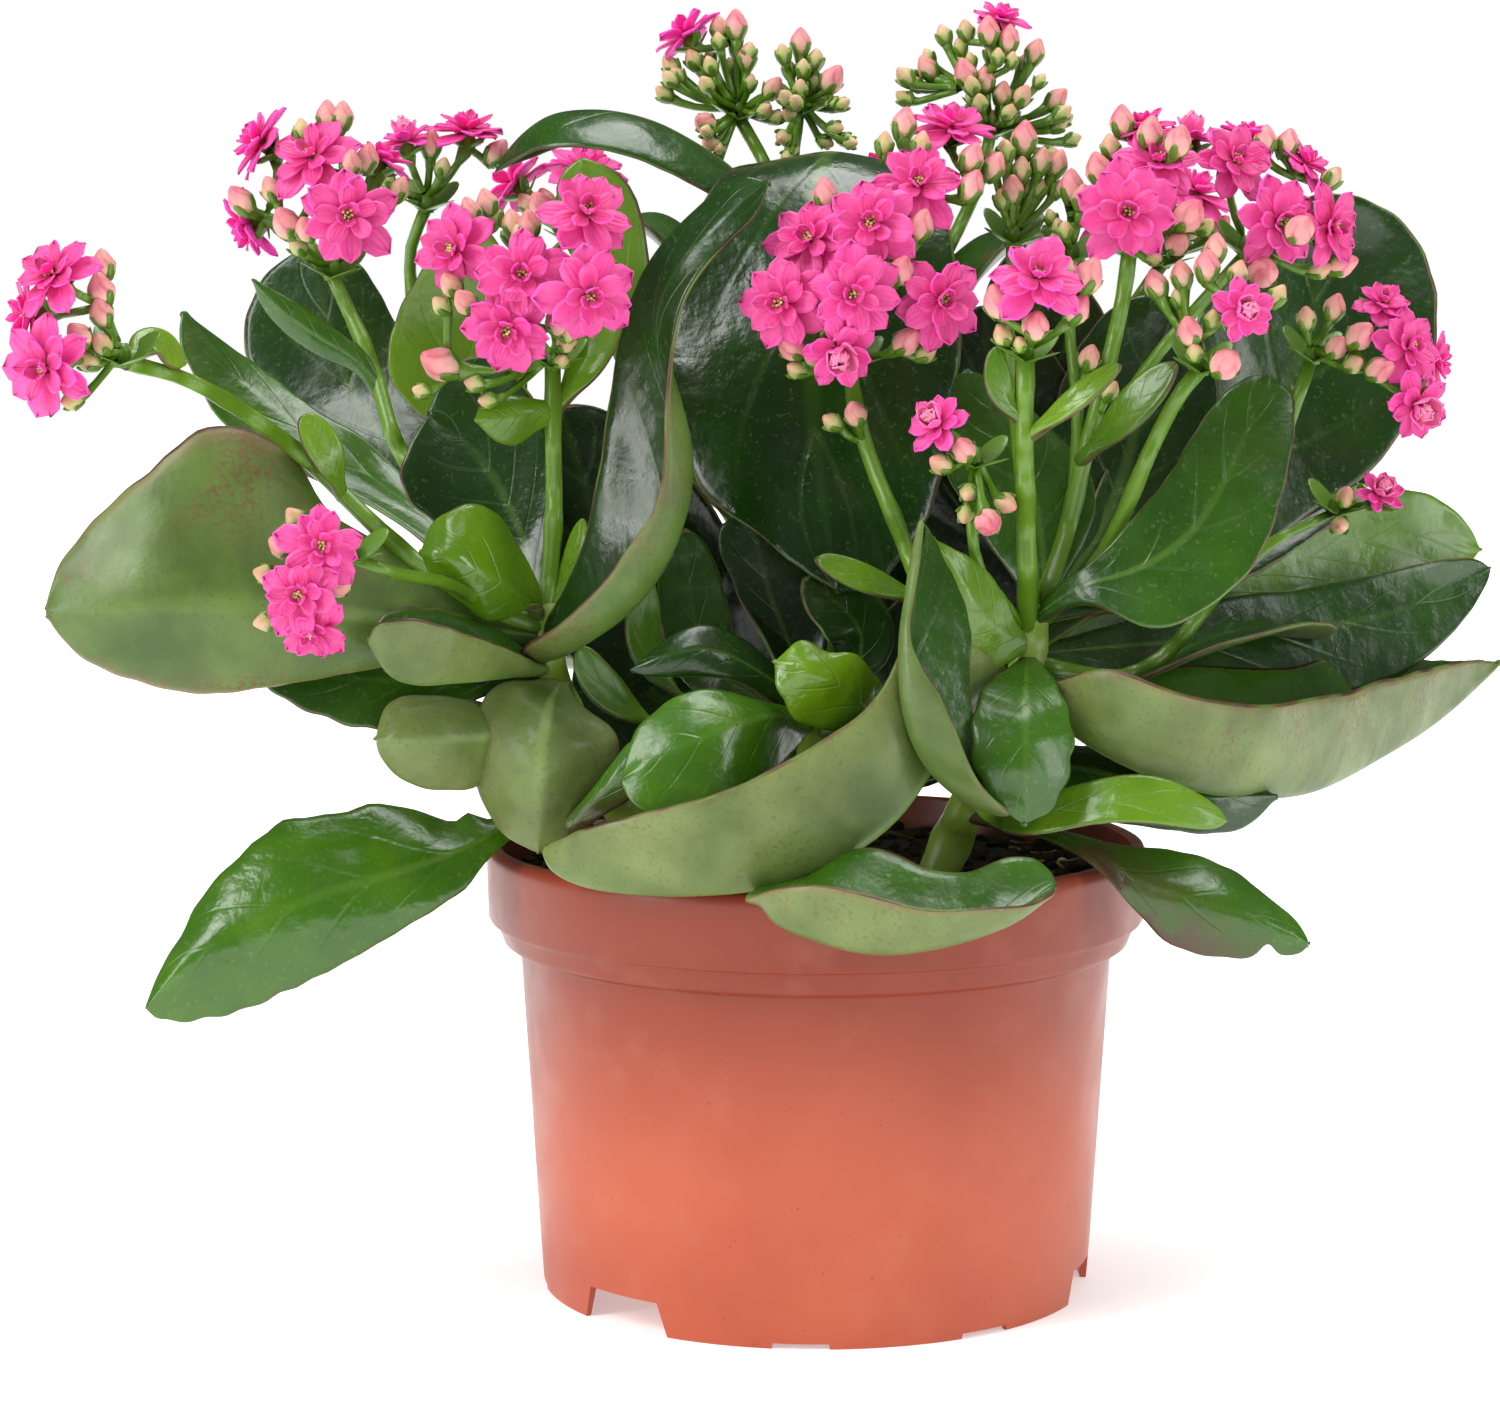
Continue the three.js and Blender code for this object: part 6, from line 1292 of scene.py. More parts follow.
def head(row, petal_materials, green_materials):
    name, node, flowers, buds = row
    petals, petal_layers = new_mesh("across", "along", "layer", "tint", "pale")
    greens, green_layers = new_mesh("along", "thick", "ripe", "around")
    draw = seeded(HEAD["seed"] + sum(ord(letter) for letter in name) * HEAD["seed_step"])
    ends = []
    for bloom in flowers:
        ends.append((bloom[0] - bloom[1] * FLOWER_STALK["calyx_drop"], True, bloom, None))
    for middle, width in buds:
        toward = ((middle - node).normalized() + BUD_LEAN).normalized()
        base = middle - toward * 0.5 * width
        ends.append((base, width >= HEAD["big_bud"], None, (middle, toward, width)))
    ends.sort(key=lambda end: (end[0] - node).length)
    points = [node + Vector((0, 0, rise)) for rise in HEAD["node_rises"]]
    verts = tube(greens, points, HEAD["node_radii"], HEAD["node_sides"])
    paint(verts, green_layers, thick=THIN_STALK)
    axes = frame_facing(HEAD["bract_side"])
    reach, length, lift = HEAD["bract_reach"], HEAD["bract"], HEAD["bract_lift"]
    sepals(greens, green_layers, node, axes, reach, length, lift, HEAD["bract_fine"])
    held = [points[1]]
    for base, holds, bloom, young in ends:
        cost = [(there - base).length + HEAD["far_cost"] * (there - node).length for there in held]
        root = held[cost.index(min(cost))]
        if bloom:
            flower(petals, petal_layers, greens, green_layers, root, bloom, draw)
        else:
            bud(greens, green_layers, root, *young)
        if holds:
            held.append(base)
    node_name = f"head_{name}"
    if flowers:
        finish_petals(f"petals_{name}", petals, petal_materials, node_name)
        finish_piece(f"buds_{name}", greens, green_materials)
    else:
        petals.free()
        finish_piece(f"buds_{name}", greens, green_materials, [node_name])


def finish_petals(name, mesh, materials, node_name):
    piece = finish_piece(name, mesh, materials, [node_name])
    sheet = piece.modifiers.new("petal_thickness", "SOLIDIFY")
    sheet.thickness = PETAL["thick"] * MM
    sheet.offset = 0
    sheet.material_offset = 1


# The pot

def wall_profile():
    """Radius and height of the pot's section, from the middle of the floor's underside round
    the foot, the ring and the rolled rim to the middle of the floor's upper side."""
    p = POT
    foot = p["foot_radius"]
    wall = p["wall"]
    rim = p["rim_radius"]
    ring = p["ring_radius"]
    neck = p["neck_radius"]
    return [
        (0, p["floor_under"]),
        (foot - wall - 0.6, p["floor_under"]),
        (foot - wall, p["floor_under"] - 0.6),
        (foot - wall, 0.15),
        (foot - wall + 0.15, 0),
        (foot - 0.2, 0),
        (foot, 0.2),
        (lerp(foot, neck, 0.11), 7),
        (lerp(foot, neck, 0.12), 7.3),
        (lerp(foot, neck, 0.5), 31.5),
        (lerp(foot, neck, 0.985), p["ring_bottom"] - 1.4),
        (neck + 0.4, p["ring_bottom"] - 0.7),
        (neck + 1.1, p["ring_bottom"] - 0.3),
        (ring - 0.8, p["ring_bottom"]),
        (ring - 0.1, p["ring_bottom"] + 0.5),
        (ring + 0.15, p["ring_bottom"] + 1.2),
        (ring + 1.0, p["ring_step"] - 0.9),
        (ring + 1.25, p["ring_step"] - 0.3),
        (ring + 1.7, p["ring_step"]),
        (rim - 0.6, p["ring_step"] + 0.2),
        (rim - 0.3, p["ring_step"] + 0.8),
        (rim - 0.05, p["rim_roll"] - 0.9),
        (rim + 0.1, p["rim_roll"]),
        (rim, p["rim_roll"] + 1.2),
        (rim - 0.45, p["rim_top"] - 0.35),
        (rim - 1.1, p["rim_top"]),
        (p["rim_inner"] + 0.7, p["rim_top"]),
        (p["rim_inner"] + 0.1, p["rim_top"] - 0.5),
        (p["rim_inner"] - 0.1, p["rim_top"] - 1.6),
        (ring - 0.6, p["ring_step"] - 0.2),
        (ring - 1.4, p["ring_step"] - 1.4),
        (neck - wall, p["ring_bottom"] - 2),
        (foot - wall + 0.9, p["floor_top"] + 0.6),
        (foot - wall + 0.2, p["floor_top"]),
        (0, p["floor_top"]),
    ]


def turned(profile, steps):
    """A bmesh of a profile spun round the Z axis, closed at the axis."""
    mesh = bmesh.new()
    line = [mesh.verts.new((radius, 0, height)) for radius, height in profile]
    edges = [mesh.edges.new(pair) for pair in zip(line, line[1:])]
    bmesh.ops.spin(
        mesh, geom=line + edges, cent=(0, 0, 0), axis=(0, 0, 1),
        angle=2 * math.pi, steps=steps, use_merge=True,
    )
    bmesh.ops.remove_doubles(mesh, verts=mesh.verts, dist=1e-4)
    bmesh.ops.recalc_face_normals(mesh, faces=mesh.faces)
    return mesh


def foot_cutter(mesh, width, top, angle):
    """A wedge-sided block across the foot, wider at the bottom."""
    slope = FOOT_CUT["slope"] * top
    made = bmesh.ops.create_cube(mesh, size=1)
    for vert in made["verts"]:
        low = vert.co.z < 0
        reach = width / 2 + (slope if low else -slope / 2)
        x = math.copysign(reach, vert.co.x)
        y = -POT["foot_radius"] + (-FOOT_CUT["outward"] if vert.co.y < 0 else FOOT_CUT["inward"])
        vert.co = Vector((x, y, -FOOT_CUT["below"] if low else top))
    turn = Matrix.Rotation(math.radians(angle), 4, "Z")
    bmesh.ops.transform(mesh, matrix=turn, verts=made["verts"])


def make_pot(materials):
    cutters = bmesh.new()
    for angle in NOTCH["angles"]:
        foot_cutter(cutters, NOTCH["width"], NOTCH["top"], angle)
        for after in FOOT_GAP["after_notch"]:
            foot_cutter(cutters, FOOT_GAP["width"], POT["foot_rise"], angle + after)
    for i in range(DRAIN["count"]):
        angle = 2 * math.pi * i / DRAIN["count"]
        x = DRAIN["ring"] * math.cos(angle)
        y = DRAIN["ring"] * math.sin(angle)
        bmesh.ops.create_cone(
            cutters, cap_ends=True, segments=DRAIN["sides"], radius1=DRAIN["radius"],
            radius2=DRAIN["radius"], depth=DRAIN["depth"],
            matrix=Matrix.Translation((x, y, DRAIN["height"])),
        )
    shell = turned(wall_profile(), POT_STEPS)
    pot = finish_piece("pot_shell", shell, materials, ["pot"])
    tool = mesh_object("pot_cutters", cutters)
    cut = pot.modifiers.new("cut", "BOOLEAN")
    cut.operation = "DIFFERENCE"
    cut.solver = "EXACT"
    cut.object = tool
    bpy.context.view_layer.update()
    evaluated = pot.evaluated_get(bpy.context.evaluated_depsgraph_get())
    finished = bpy.data.meshes.new_from_object(evaluated)
    pot.modifiers.clear()
    pot.data = finished
    bpy.data.objects.remove(tool)
    pot.data.shade_smooth()
    pot.data.set_sharp_from_angle(angle=math.radians(SHARP_EDGE))


# Soil: a disc of peat raised by noise, with crumbs, white grit and a few roots on it

COARSE = {"size": 9, "height": 1.5, "layer": 3}
FINE = {"size": 2.6, "height": 0.7, "layer": 8}
CRUMBS = {"count": 420, "nearest": 0.02, "sizes": (0.6, 2.1), "material": 0}
GRIT = {"count": 34, "nearest": 0.5, "sizes": (0.5, 1.1), "material": 1}
GRAIN = {"inset": 2, "rise": 0.2, "rough": 0.35, "lumps": 1.3, "narrow": 0.8, "flat": 0.75}
ROOTS = {
    "count": 16, "nearest": 0.35, "inset": 4, "points": 7, "step": 1.6, "swing": 0.35,
    "rise": 0.5, "wave": 0.6, "radius": 0.28, "sides": 5,
}


def soil_wave(x, y, wave):
    """The rise of one size of waves over a place."""
    return noise.noise(Vector((x, y, wave["layer"])) / wave["size"]) * wave["height"]


def soil_height(x, y):
    far = math.hypot(x, y) / POT["rim_inner"]
    rise = lerp(SOIL["middle"], SOIL["edge"], min(far, 1))
    return rise + soil_wave(x, y, COARSE) + soil_wave(x, y, FINE) - SOIL["lowered"]


def soil_disc(rim):
    """Peat that fills the pot nearly to its rim, with a raised top."""
    inset = SOIL["inset"]
    low = POT["floor_top"] + SOIL["over_floor"]
    step = POT["ring_radius"] - 0.8 - inset
    neck = POT["neck_radius"] - POT["wall"] - inset
    foot = POT["foot_radius"] - POT["wall"] - inset
    top = [(rim * i / SOIL["rings"], SOIL["edge"]) for i in range(SOIL["rings"] + 1)]
    side = [(step, POT["ring_step"] - 0.6), (neck, POT["ring_bottom"] - 1.6), (foot, low)]
    disc = turned([*top, *side, (0, low)], SOIL["steps"])
    for vert in disc.verts:
        if vert.co.z > SOIL["edge"] - 0.01:
            vert.co.z = soil_height(vert.co.x, vert.co.y)
    return disc


def scatter_grains(mesh, grains, rim, draw):
    """Lumps of one kind, pressed a little into the soil."""
    for _ in range(grains["count"]):
        turn = between(draw, 0, 2 * math.pi)
        far = (rim - GRAIN["inset"]) * math.sqrt(between(draw, grains["nearest"], 1))
        size = between(draw, *grains["sizes"])
        x = far * math.cos(turn)
        y = far * math.sin(turn)
        made = bmesh.ops.create_icosphere(mesh, subdivisions=1, radius=size)
        place = Vector((x, y, soil_height(x, y) + GRAIN["rise"] * size))
        for vert in made["verts"]:
            rough = 1 + GRAIN["rough"] * noise.noise(vert.co * GRAIN["lumps"] + place)
            across = vert.co.y * rough * GRAIN["narrow"]
            vert.co = place + Vector((vert.co.x * rough, across, vert.co.z * GRAIN["flat"]))
        use_material(made["verts"], grains["material"])


def scatter_roots(mesh, rim, draw):
    """Thin roots that wander over the soil."""
    for i in range(ROOTS["count"]):
        turn = between(draw, 0, 2 * math.pi)
        far = (rim - ROOTS["inset"]) * math.sqrt(between(draw, ROOTS["nearest"], 1))
        heading = between(draw, 0, 2 * math.pi)
        points = []
        for k in range(ROOTS["points"]):
            bearing = heading + ROOTS["swing"] * k * math.sin(i)
            x = far * math.cos(turn) + ROOTS["step"] * k * math.cos(bearing)
            y = far * math.sin(turn) + ROOTS["step"] * k * math.sin(bearing)
            pull = min(1, (rim - 1) / max(math.hypot(x, y), 1))
            rise = ROOTS["rise"] + ROOTS["wave"] * math.sin(k)
            points.append(Vector((x * pull, y * pull, soil_height(x * pull, y * pull) + rise)))
        verts = tube(mesh, points, [ROOTS["radius"]] * ROOTS["points"], ROOTS["sides"])
        use_material(verts, 2)


def make_soil(materials):
    rim = POT["rim_inner"] - SOIL["inset"] - 0.4
    disc = soil_disc(rim)
    draw = seeded(SOIL["seed"])
    scatter_grains(disc, CRUMBS, rim, draw)
    scatter_grains(disc, GRIT, rim, draw)
    scatter_roots(disc, rim, draw)
    finish_piece("soil_bed", disc, materials, ["soil"])


# Materials. Patterns lie on Object coordinates or on the values painted on the meshes. A number
# as a key is a socket: a MapRange maps 1 to 2 onto 3 to 4, a Math node works on 0, 1 and 2, and
# a Mix goes from colour 6 to colour 7 by 0.

def linear(code):
    """Linear RGBA of an sRGB hex colour."""
    parts = [int(code[i:i + 2], 16) / 255 for i in (1, 3, 5)]
    curve = [part / 12.92 if part <= 0.04045 else ((part + 0.055) / 1.055) ** 2.4 for part in parts]
    return (*curve, 1)


def per(size):
    """A texture scale on Object coordinates, from the size of its features in millimetres."""
    return 1000 / size


def add_node(tree, name, kind, settings, links):
    """Adds a node. Settings are its properties and socket values. Links give, by the socket
    they feed, the name of a node added before, and of its output where that isn't the first."""
    node = tree.nodes.new(f"ShaderNode{kind}")
    node.name = name
    for key, value in settings.items():
        if key == "stops":
            stops = node.color_ramp.elements
            while len(stops) < len(value):
                stops.new(0.5)
            for stop, (place, code) in zip(stops, value):
                stop.position = place
                stop.color = linear(code)
        elif isinstance(key, str) and hasattr(node, key):
            setattr(node, key, value)
        else:
            node.inputs[key].default_value = linear(value) if isinstance(value, str) else value
    for key, source in links.items():
        source_name, _, wanted = source.partition(".")
        outputs = [output for output in tree.nodes[source_name].outputs if output.enabled]
        output = next(output for output in outputs if wanted in ("", output.name))
        tree.links.new(output, node.inputs[key])


def material(name, painted, rows, settings, links):
    """A material from the values painted on its meshes, rows of nodes and the one Principled
    shader that they feed."""
    made = bpy.data.materials.new(name)
    made.use_nodes = True
    tree = made.node_tree
    tree.nodes.clear()
    add_node(tree, "place", "TexCoord", {}, {})
    for value in painted:
        add_node(tree, value, "Attribute", {"attribute_name": value}, {})
    for row in rows:
        add_node(tree, *row)
    add_node(tree, "shader", "BsdfPrincipled", settings, links)
    add_node(tree, "output", "OutputMaterial", {"is_active_output": True}, {0: "shader"})
    return made


# Settings and links that many rows share

OBJECT = {"Vector": "place.Object"}
SMOOTH = {"interpolation_type": "SMOOTHSTEP"}
COLOUR = {"data_type": "RGBA"}
TIMES = {"operation": "MULTIPLY"}
PLUS = {"operation": "ADD"}
TIMES_PLUS = {"operation": "MULTIPLY_ADD"}
SINE = {"operation": "SINE"}
POSITIVE = {"operation": "ABSOLUTE"}

LEAF_ROWS = [
    ("side", "Math", POSITIVE, {0: "across.Fac"}),
    ("cloud", "TexNoise", {"Scale": per(13), "Detail": 3}, OBJECT),
    ("dry_cloud", "MapRange", {**SMOOTH, 1: 0.32, 2: 0.5}, {0: "cloud"}),
    ("dry", "Math", TIMES, {0: "wither.Fac", 1: "dry_cloud"}),
]


def kalanchoe_leaf_upper():
    """Waxy upper skin of a fleshy leaf: deep green, a little paler along the rib and the side
    veins, with a soft wet-looking glare over its crinkles."""
    painted = ("across", "along", "tone", "wither", "gloss")
    return material("kalanchoe_leaf_upper", painted, [
        *LEAF_ROWS,
        ("sway", "Math", {**TIMES_PLUS, 1: 0.4, 2: -0.2}, {0: "cloud"}),
        ("shade", "Math", PLUS, {0: "sway", 1: "tone.Fac"}),
        ("green", "ValToRGB", {"stops": [
            (0, "#0a2006"), (0.3, "#1b3c0a"), (0.6, "#37610c"), (1, "#6c9214"),
        ]}, {0: "shade"}),
        ("rib_width", "MapRange", {**SMOOTH, 1: 0.02, 2: 0.1, 3: 1, 4: 0}, {0: "side"}),
        ("rib_fade", "MapRange", {**SMOOTH, 1: 0.15, 2: 1, 3: 0.4, 4: 0.05}, {0: "along.Fac"}),
        ("rib", "Math", TIMES, {0: "rib_width", 1: "rib_fade"}),
        ("ribbed", "Mix", {**COLOUR, 7: "#5f8433"}, {0: "rib", 6: "green"}),
        ("slant", "Math", {**TIMES_PLUS, 1: -0.24}, {0: "side", 2: "along.Fac"}),
        ("turns", "Math", {**TIMES, 1: 19}, {0: "slant"}),
        ("sine", "Math", SINE, {0: "turns"}),
        ("wave", "Math", POSITIVE, {0: "sine"}),
        ("vein", "MapRange", {**SMOOTH, 1: 0.02, 2: 0.25, 3: 1, 4: 0}, {0: "wave"}),
        ("vein_fade", "MapRange", {**SMOOTH, 1: 0.2, 2: 0.95, 3: 0.07, 4: 0}, {0: "side"}),
        ("veins", "Math", TIMES, {0: "vein", 1: "vein_fade"}),
        ("veined", "Mix", {**COLOUR, 7: "#6d9440"}, {0: "veins", 6: "ribbed"}),
        ("spots", "TexNoise", {"Scale": per(0.9), "Detail": 1}, OBJECT),
        ("fleck", "MapRange", {**SMOOTH, 1: 0.62, 2: 0.74, 3: 0, 4: 0.08}, {0: "spots"}),
        ("flecked", "Mix", {**COLOUR, 7: "#a0b884"}, {0: "fleck", 6: "veined"}),
        ("skin", "Mix", {**COLOUR, 7: "#4a3524"}, {0: "dry", 6: "flecked"}),
        ("wet", "TexNoise", {"Scale": per(7), "Detail": 3}, OBJECT),
        ("rough", "MapRange", {**SMOOTH, 1: 0.3, 2: 0.7, 3: 0.24, 4: 0.36}, {0: "wet"}),
        ("roughness", "Math", {**TIMES_PLUS, 1: -0.1}, {0: "gloss.Fac", 2: "rough"}),
        ("crinkle", "TexNoise", {"Scale": per(3.4), "Detail": 2}, OBJECT),
        ("grain", "TexNoise", {"Scale": per(0.6), "Detail": 1}, OBJECT),
        ("swells", "Bump", {"Distance": 0.9 * MM}, {"Height": "cloud"}),
        ("crinkles", "Bump", {"Distance": 0.22 * MM}, {"Height": "crinkle", "Normal": "swells"}),
        ("furrows", "Bump", {"Distance": 1.2 * MM, "invert": True},
         {"Height": "veins", "Normal": "crinkles"}),
        ("relief", "Bump", {"Distance": 0.04 * MM}, {"Height": "grain", "Normal": "furrows"}),
    ], {"Specular IOR Level": 0.42, "Coat Weight": 0.3, "Coat Roughness": 0.12},
        {"Base Color": "skin", "Roughness": "roughness", "Normal": "relief"})


def kalanchoe_leaf_under():
    """Underside of the leaf: a pale bloom over green that deepens towards the rib and the base, partly
    in its own colour and partly in painted shade, with dark dots and reddish freckles.
    """
    painted = ("across", "along", "tone", "blush", "wither", "gloss")
    return material("kalanchoe_leaf_under", painted, [
        *LEAF_ROWS,
        ("pale", "ValToRGB", {"stops": [(0.3, "#4e6127"), (0.7, "#728346")]}, {0: "cloud"}),
        ("deep", "ValToRGB", {"stops": [(0.3, "#2a4a0e"), (0.7, "#486a1c")]}, {0: "cloud"}),
        ("depth", "MapRange", {**SMOOTH, 1: 0.25, 2: 0.5, 3: 0.7, 4: 0}, {0: "tone.Fac"}),
        # Partly painted shade: the green deepens towards the rib and the base, where a cupped underside
        # lies in shade, and the bloom is also thinner there
        ("inward", "MapRange", {**SMOOTH, 1: 0.1, 2: 0.85, 3: 0.55, 4: 0}, {0: "side"}),
        ("low", "MapRange", {**SMOOTH, 1: 0.1, 2: 0.8, 3: 1, 4: 0.35}, {0: "along.Fac"}),
        ("inner", "Math", TIMES, {0: "inward", 1: "low"}),
        ("deep_and_shaded", "Math", {"operation": "MAXIMUM"}, {0: "depth", 1: "inner"}),
        ("green", "Mix", COLOUR, {0: "deep_and_shaded", 6: "pale", 7: "deep"}),
        ("rib_width", "MapRange", {**SMOOTH, 1: 0.02, 2: 0.12, 3: 1, 4: 0}, {0: "side"}),
        ("rib_fade", "MapRange", {**SMOOTH, 1: 0.1, 2: 1, 3: 0.4, 4: 0.05}, {0: "along.Fac"}),
        ("rib", "Math", TIMES, {0: "rib_width", 1: "rib_fade"}),
        ("ribbed", "Mix", {**COLOUR, 7: "#8eab60"}, {0: "rib", 6: "green"}),
        ("spots", "TexNoise", {"Scale": per(0.8), "Detail": 1}, OBJECT),
        ("dot", "MapRange", {**SMOOTH, 1: 0.6, 2: 0.72, 3: 0, 4: 0.4}, {0: "spots"}),
        ("dotted", "Mix", {**COLOUR, 7: "#38582a"}, {0: "dot", 6: "ribbed"}),
        ("blotch", "TexNoise", {"Scale": per(17), "Detail": 2}, OBJECT),
        ("patch", "MapRange", {**SMOOTH, 1: 0.4, 2: 0.65}, {0: "blotch"}),
        ("outer", "MapRange", {**SMOOTH, 1: 0.2, 2: 1, 3: 0.1, 4: 1}, {0: "side"}),
        ("reach", "Math", TIMES, {0: "patch", 1: "outer"}),
        ("freckle", "MapRange", {**SMOOTH, 1: 0.42, 2: 0.6}, {0: "spots"}),
        ("reddish", "Math", TIMES, {0: "reach", 1: "freckle"}),
        ("red", "Math", TIMES, {0: "reddish", 1: "blush.Fac"}),
        ("freckled", "Mix", {**COLOUR, 7: "#6d3f30"}, {0: "red", 6: "dotted"}),
        ("edge", "MapRange", {**SMOOTH, 1: 0.86, 2: 1, 3: 0, 4: 0.5}, {0: "side"}),
        ("edge_blush", "Math", TIMES, {0: "edge", 1: "blush.Fac"}),
        ("rimmed", "Mix", {**COLOUR, 7: "#8d6a52"}, {0: "edge_blush", 6: "freckled"}),
        ("skin", "Mix", {**COLOUR, 7: "#5d452e"}, {0: "dry", 6: "rimmed"}),
        ("wet", "TexNoise", {"Scale": per(6), "Detail": 3}, OBJECT),
        ("rough", "MapRange", {**SMOOTH, 1: 0.3, 2: 0.7, 3: 0.38, 4: 0.52}, {0: "wet"}),
        ("roughness", "Math", {**TIMES_PLUS, 1: -0.12}, {0: "gloss.Fac", 2: "rough"}),
        ("crinkle", "TexNoise", {"Scale": per(3.2), "Detail": 2}, OBJECT),
        ("swells", "Bump", {"Distance": 0.7 * MM}, {"Height": "cloud"}),
        ("crinkles", "Bump", {"Distance": 0.15 * MM}, {"Height": "crinkle", "Normal": "swells"}),
        ("relief", "Bump", {"Distance": 0.04 * MM}, {"Height": "spots", "Normal": "crinkles"}),
    ], {"Specular IOR Level": 0.4, "Coat Weight": 0.15, "Coat Roughness": 0.16},
        {"Base Color": "skin", "Roughness": "roughness", "Normal": "relief"})


def kalanchoe_leaf_margin():
    """The leaf's thin edge: a broken line of purple-brown and green."""
    return material("kalanchoe_leaf_margin", (), [
        ("cloud", "TexNoise", {"Scale": per(9), "Detail": 3}, OBJECT),
        ("line", "ValToRGB", {"stops": [
            (0.38, "#4c2f24"), (0.5, "#5d4b2c"), (0.62, "#58702f"),
        ]}, {0: "cloud"}),
        ("grain", "TexNoise", {"Scale": per(0.7), "Detail": 1}, OBJECT),
        ("relief", "Bump", {"Distance": 0.05 * MM}, {"Height": "grain"}),
    ], {"Roughness": 0.45}, {"Base Color": "line", "Normal": "relief"})


def kalanchoe_stalk():
    """Juicy green stem skin, paler where the stem is thick."""
    return material("kalanchoe_stalk", ("thick",), [
        ("cloud", "TexNoise", {"Scale": per(7), "Detail": 3}, OBJECT),
        ("sway", "Math", {**TIMES_PLUS, 1: 0.6, 2: -0.3}, {0: "cloud"}),
        ("tone", "Math", PLUS, {0: "sway", 1: "thick.Fac"}),
        ("green", "ValToRGB", {"stops": [
            (0, "#4c7612"), (0.5, "#5c821a"), (1, "#809c38"),
        ]}, {0: "tone"}),
        ("ripple", "TexNoise", {"Scale": per(1.6), "Detail": 2}, OBJECT),
        ("grain", "TexNoise", {"Scale": per(0.5), "Detail": 1}, OBJECT),
        ("ripples", "Bump", {"Distance": 0.1 * MM}, {"Height": "ripple"}),
        ("relief", "Bump", {"Distance": 0.03 * MM}, {"Height": "grain", "Normal": "ripples"}),
    ], {"Roughness": 0.36, "Coat Weight": 0.2, "Coat Roughness": 0.3},
        {"Base Color": "green", "Normal": "relief"})


def kalanchoe_bud_skin():
    """Closed petals: green-cream at the base, dusty rose above, with deeper rose folds."""
    return material("kalanchoe_bud_skin", ("along", "around", "ripe"), [
        ("rose", "ValToRGB", {"stops": [
            (0.05, "#9fae50"), (0.3, "#dfb89c"), (0.6, "#dc8c90"), (1, "#cc5570"),
        ]}, {0: "along.Fac"}),
        ("fold", "MapRange", {**SMOOTH, 1: 0, 2: 0.35, 3: 0.6, 4: 0}, {0: "around.Fac"}),
        ("folded", "Mix", {**COLOUR, 7: "#b23a50"}, {0: "fold", 6: "rose"}),
        ("green", "ValToRGB", {"stops": [
            (0.1, "#6d9032"), (0.65, "#9cae54"), (1, "#cc9878"),
        ]}, {0: "along.Fac"}),
        ("skin", "Mix", COLOUR, {0: "ripe.Fac", 6: "green", 7: "folded"}),
        ("cloud", "TexNoise", {"Scale": per(2.2), "Detail": 2}, OBJECT),
        ("bloom", "MapRange", {**SMOOTH, 1: 0.3, 2: 0.7, 3: 0, 4: 0.25}, {0: "cloud"}),
        ("bloomed", "Mix", {**COLOUR, 7: "#ecccb4"}, {0: "bloom", 6: "skin"}),
        ("grain", "TexNoise", {"Scale": per(0.6), "Detail": 2}, OBJECT),
        ("relief", "Bump", {"Distance": 0.06 * MM}, {"Height": "grain"}),
    ], {"Roughness": 0.48}, {"Base Color": "bloomed", "Normal": "relief"})


def petal_face(name, hues):
    """Petal skin, soft and matt like velvet, with faint lines that run to the tip, a painted highlight
    along its edges and a base that deepens, partly in its own colour and partly in painted shade.
    """
    outer, inner, heart, light = hues
    return material(name, ("across", "along", "layer", "tint", "pale"), [
        ("depth", "Math", {**TIMES, 1: 0.6}, {0: "layer.Fac"}),
        ("tone", "Math", {**TIMES_PLUS, 1: 0.4}, {0: "tint.Fac", 2: "depth"}),
        ("pink", "Mix", {**COLOUR, 6: outer, 7: inner}, {0: "tone"}),
        # The base of each petal deepens to the heart hue: partly the flower's own deeper throat, partly
        # painted shade
        ("low", "MapRange", {**SMOOTH, 1: 0.02, 2: 0.42, 3: 0.7, 4: 0}, {0: "along.Fac"}),
        ("heart_and_shade", "Mix", {**COLOUR, 7: heart}, {0: "low", 6: "pink"}),
        ("side", "Math", POSITIVE, {0: "across.Fac"}),
        # Painted highlight: each petal's edges turn towards the light hue
        ("edge", "MapRange", {**SMOOTH, 1: 0.5, 2: 1, 3: 0, 4: 0.2}, {0: "side"}),
        ("edge_highlighted", "Mix", {**COLOUR, 7: light}, {0: "edge", 6: "heart_and_shade"}),
        ("cloud", "TexNoise", {"Scale": per(3.2), "Detail": 2}, OBJECT),
        ("sway", "MapRange", {**SMOOTH, 1: 0.3, 2: 0.7, 3: 0, 4: 0.2}, {0: "cloud"}),
        ("swayed", "Mix", {**COLOUR, 7: light}, {0: "sway", 6: "edge_highlighted"}),
        ("skin", "Mix", {**COLOUR, 7: "#f0b6b8"}, {0: "pale.Fac", 6: "swayed"}),
        ("turns", "Math", {**TIMES, 1: 15}, {0: "across.Fac"}),
        ("lines", "Math", SINE, {0: "turns"}),
        ("fine", "TexNoise", {"Scale": per(1.1), "Detail": 2}, OBJECT),
        ("veins", "Bump", {"Distance": 0.03 * MM}, {"Height": "lines"}),
        ("relief", "Bump", {"Distance": 0.08 * MM}, {"Height": "fine", "Normal": "veins"}),
    ], {"Roughness": 0.5, "Sheen Weight": 0.05, "Sheen Roughness": 0.4},
        {"Base Color": "skin", "Normal": "relief"})


def flower_eye():
    """Anthers and pistils in the open centre: yellow-green grains."""
    return material("flower_eye", (), [
        ("grains", "TexNoise", {"Scale": per(0.6), "Detail": 1}, OBJECT),
        ("skin", "ValToRGB", {"stops": [(0.35, "#9a8a34"), (0.65, "#f2e2a4")]}, {0: "grains"}),
    ], {"Roughness": 0.6}, {"Base Color": "skin"})


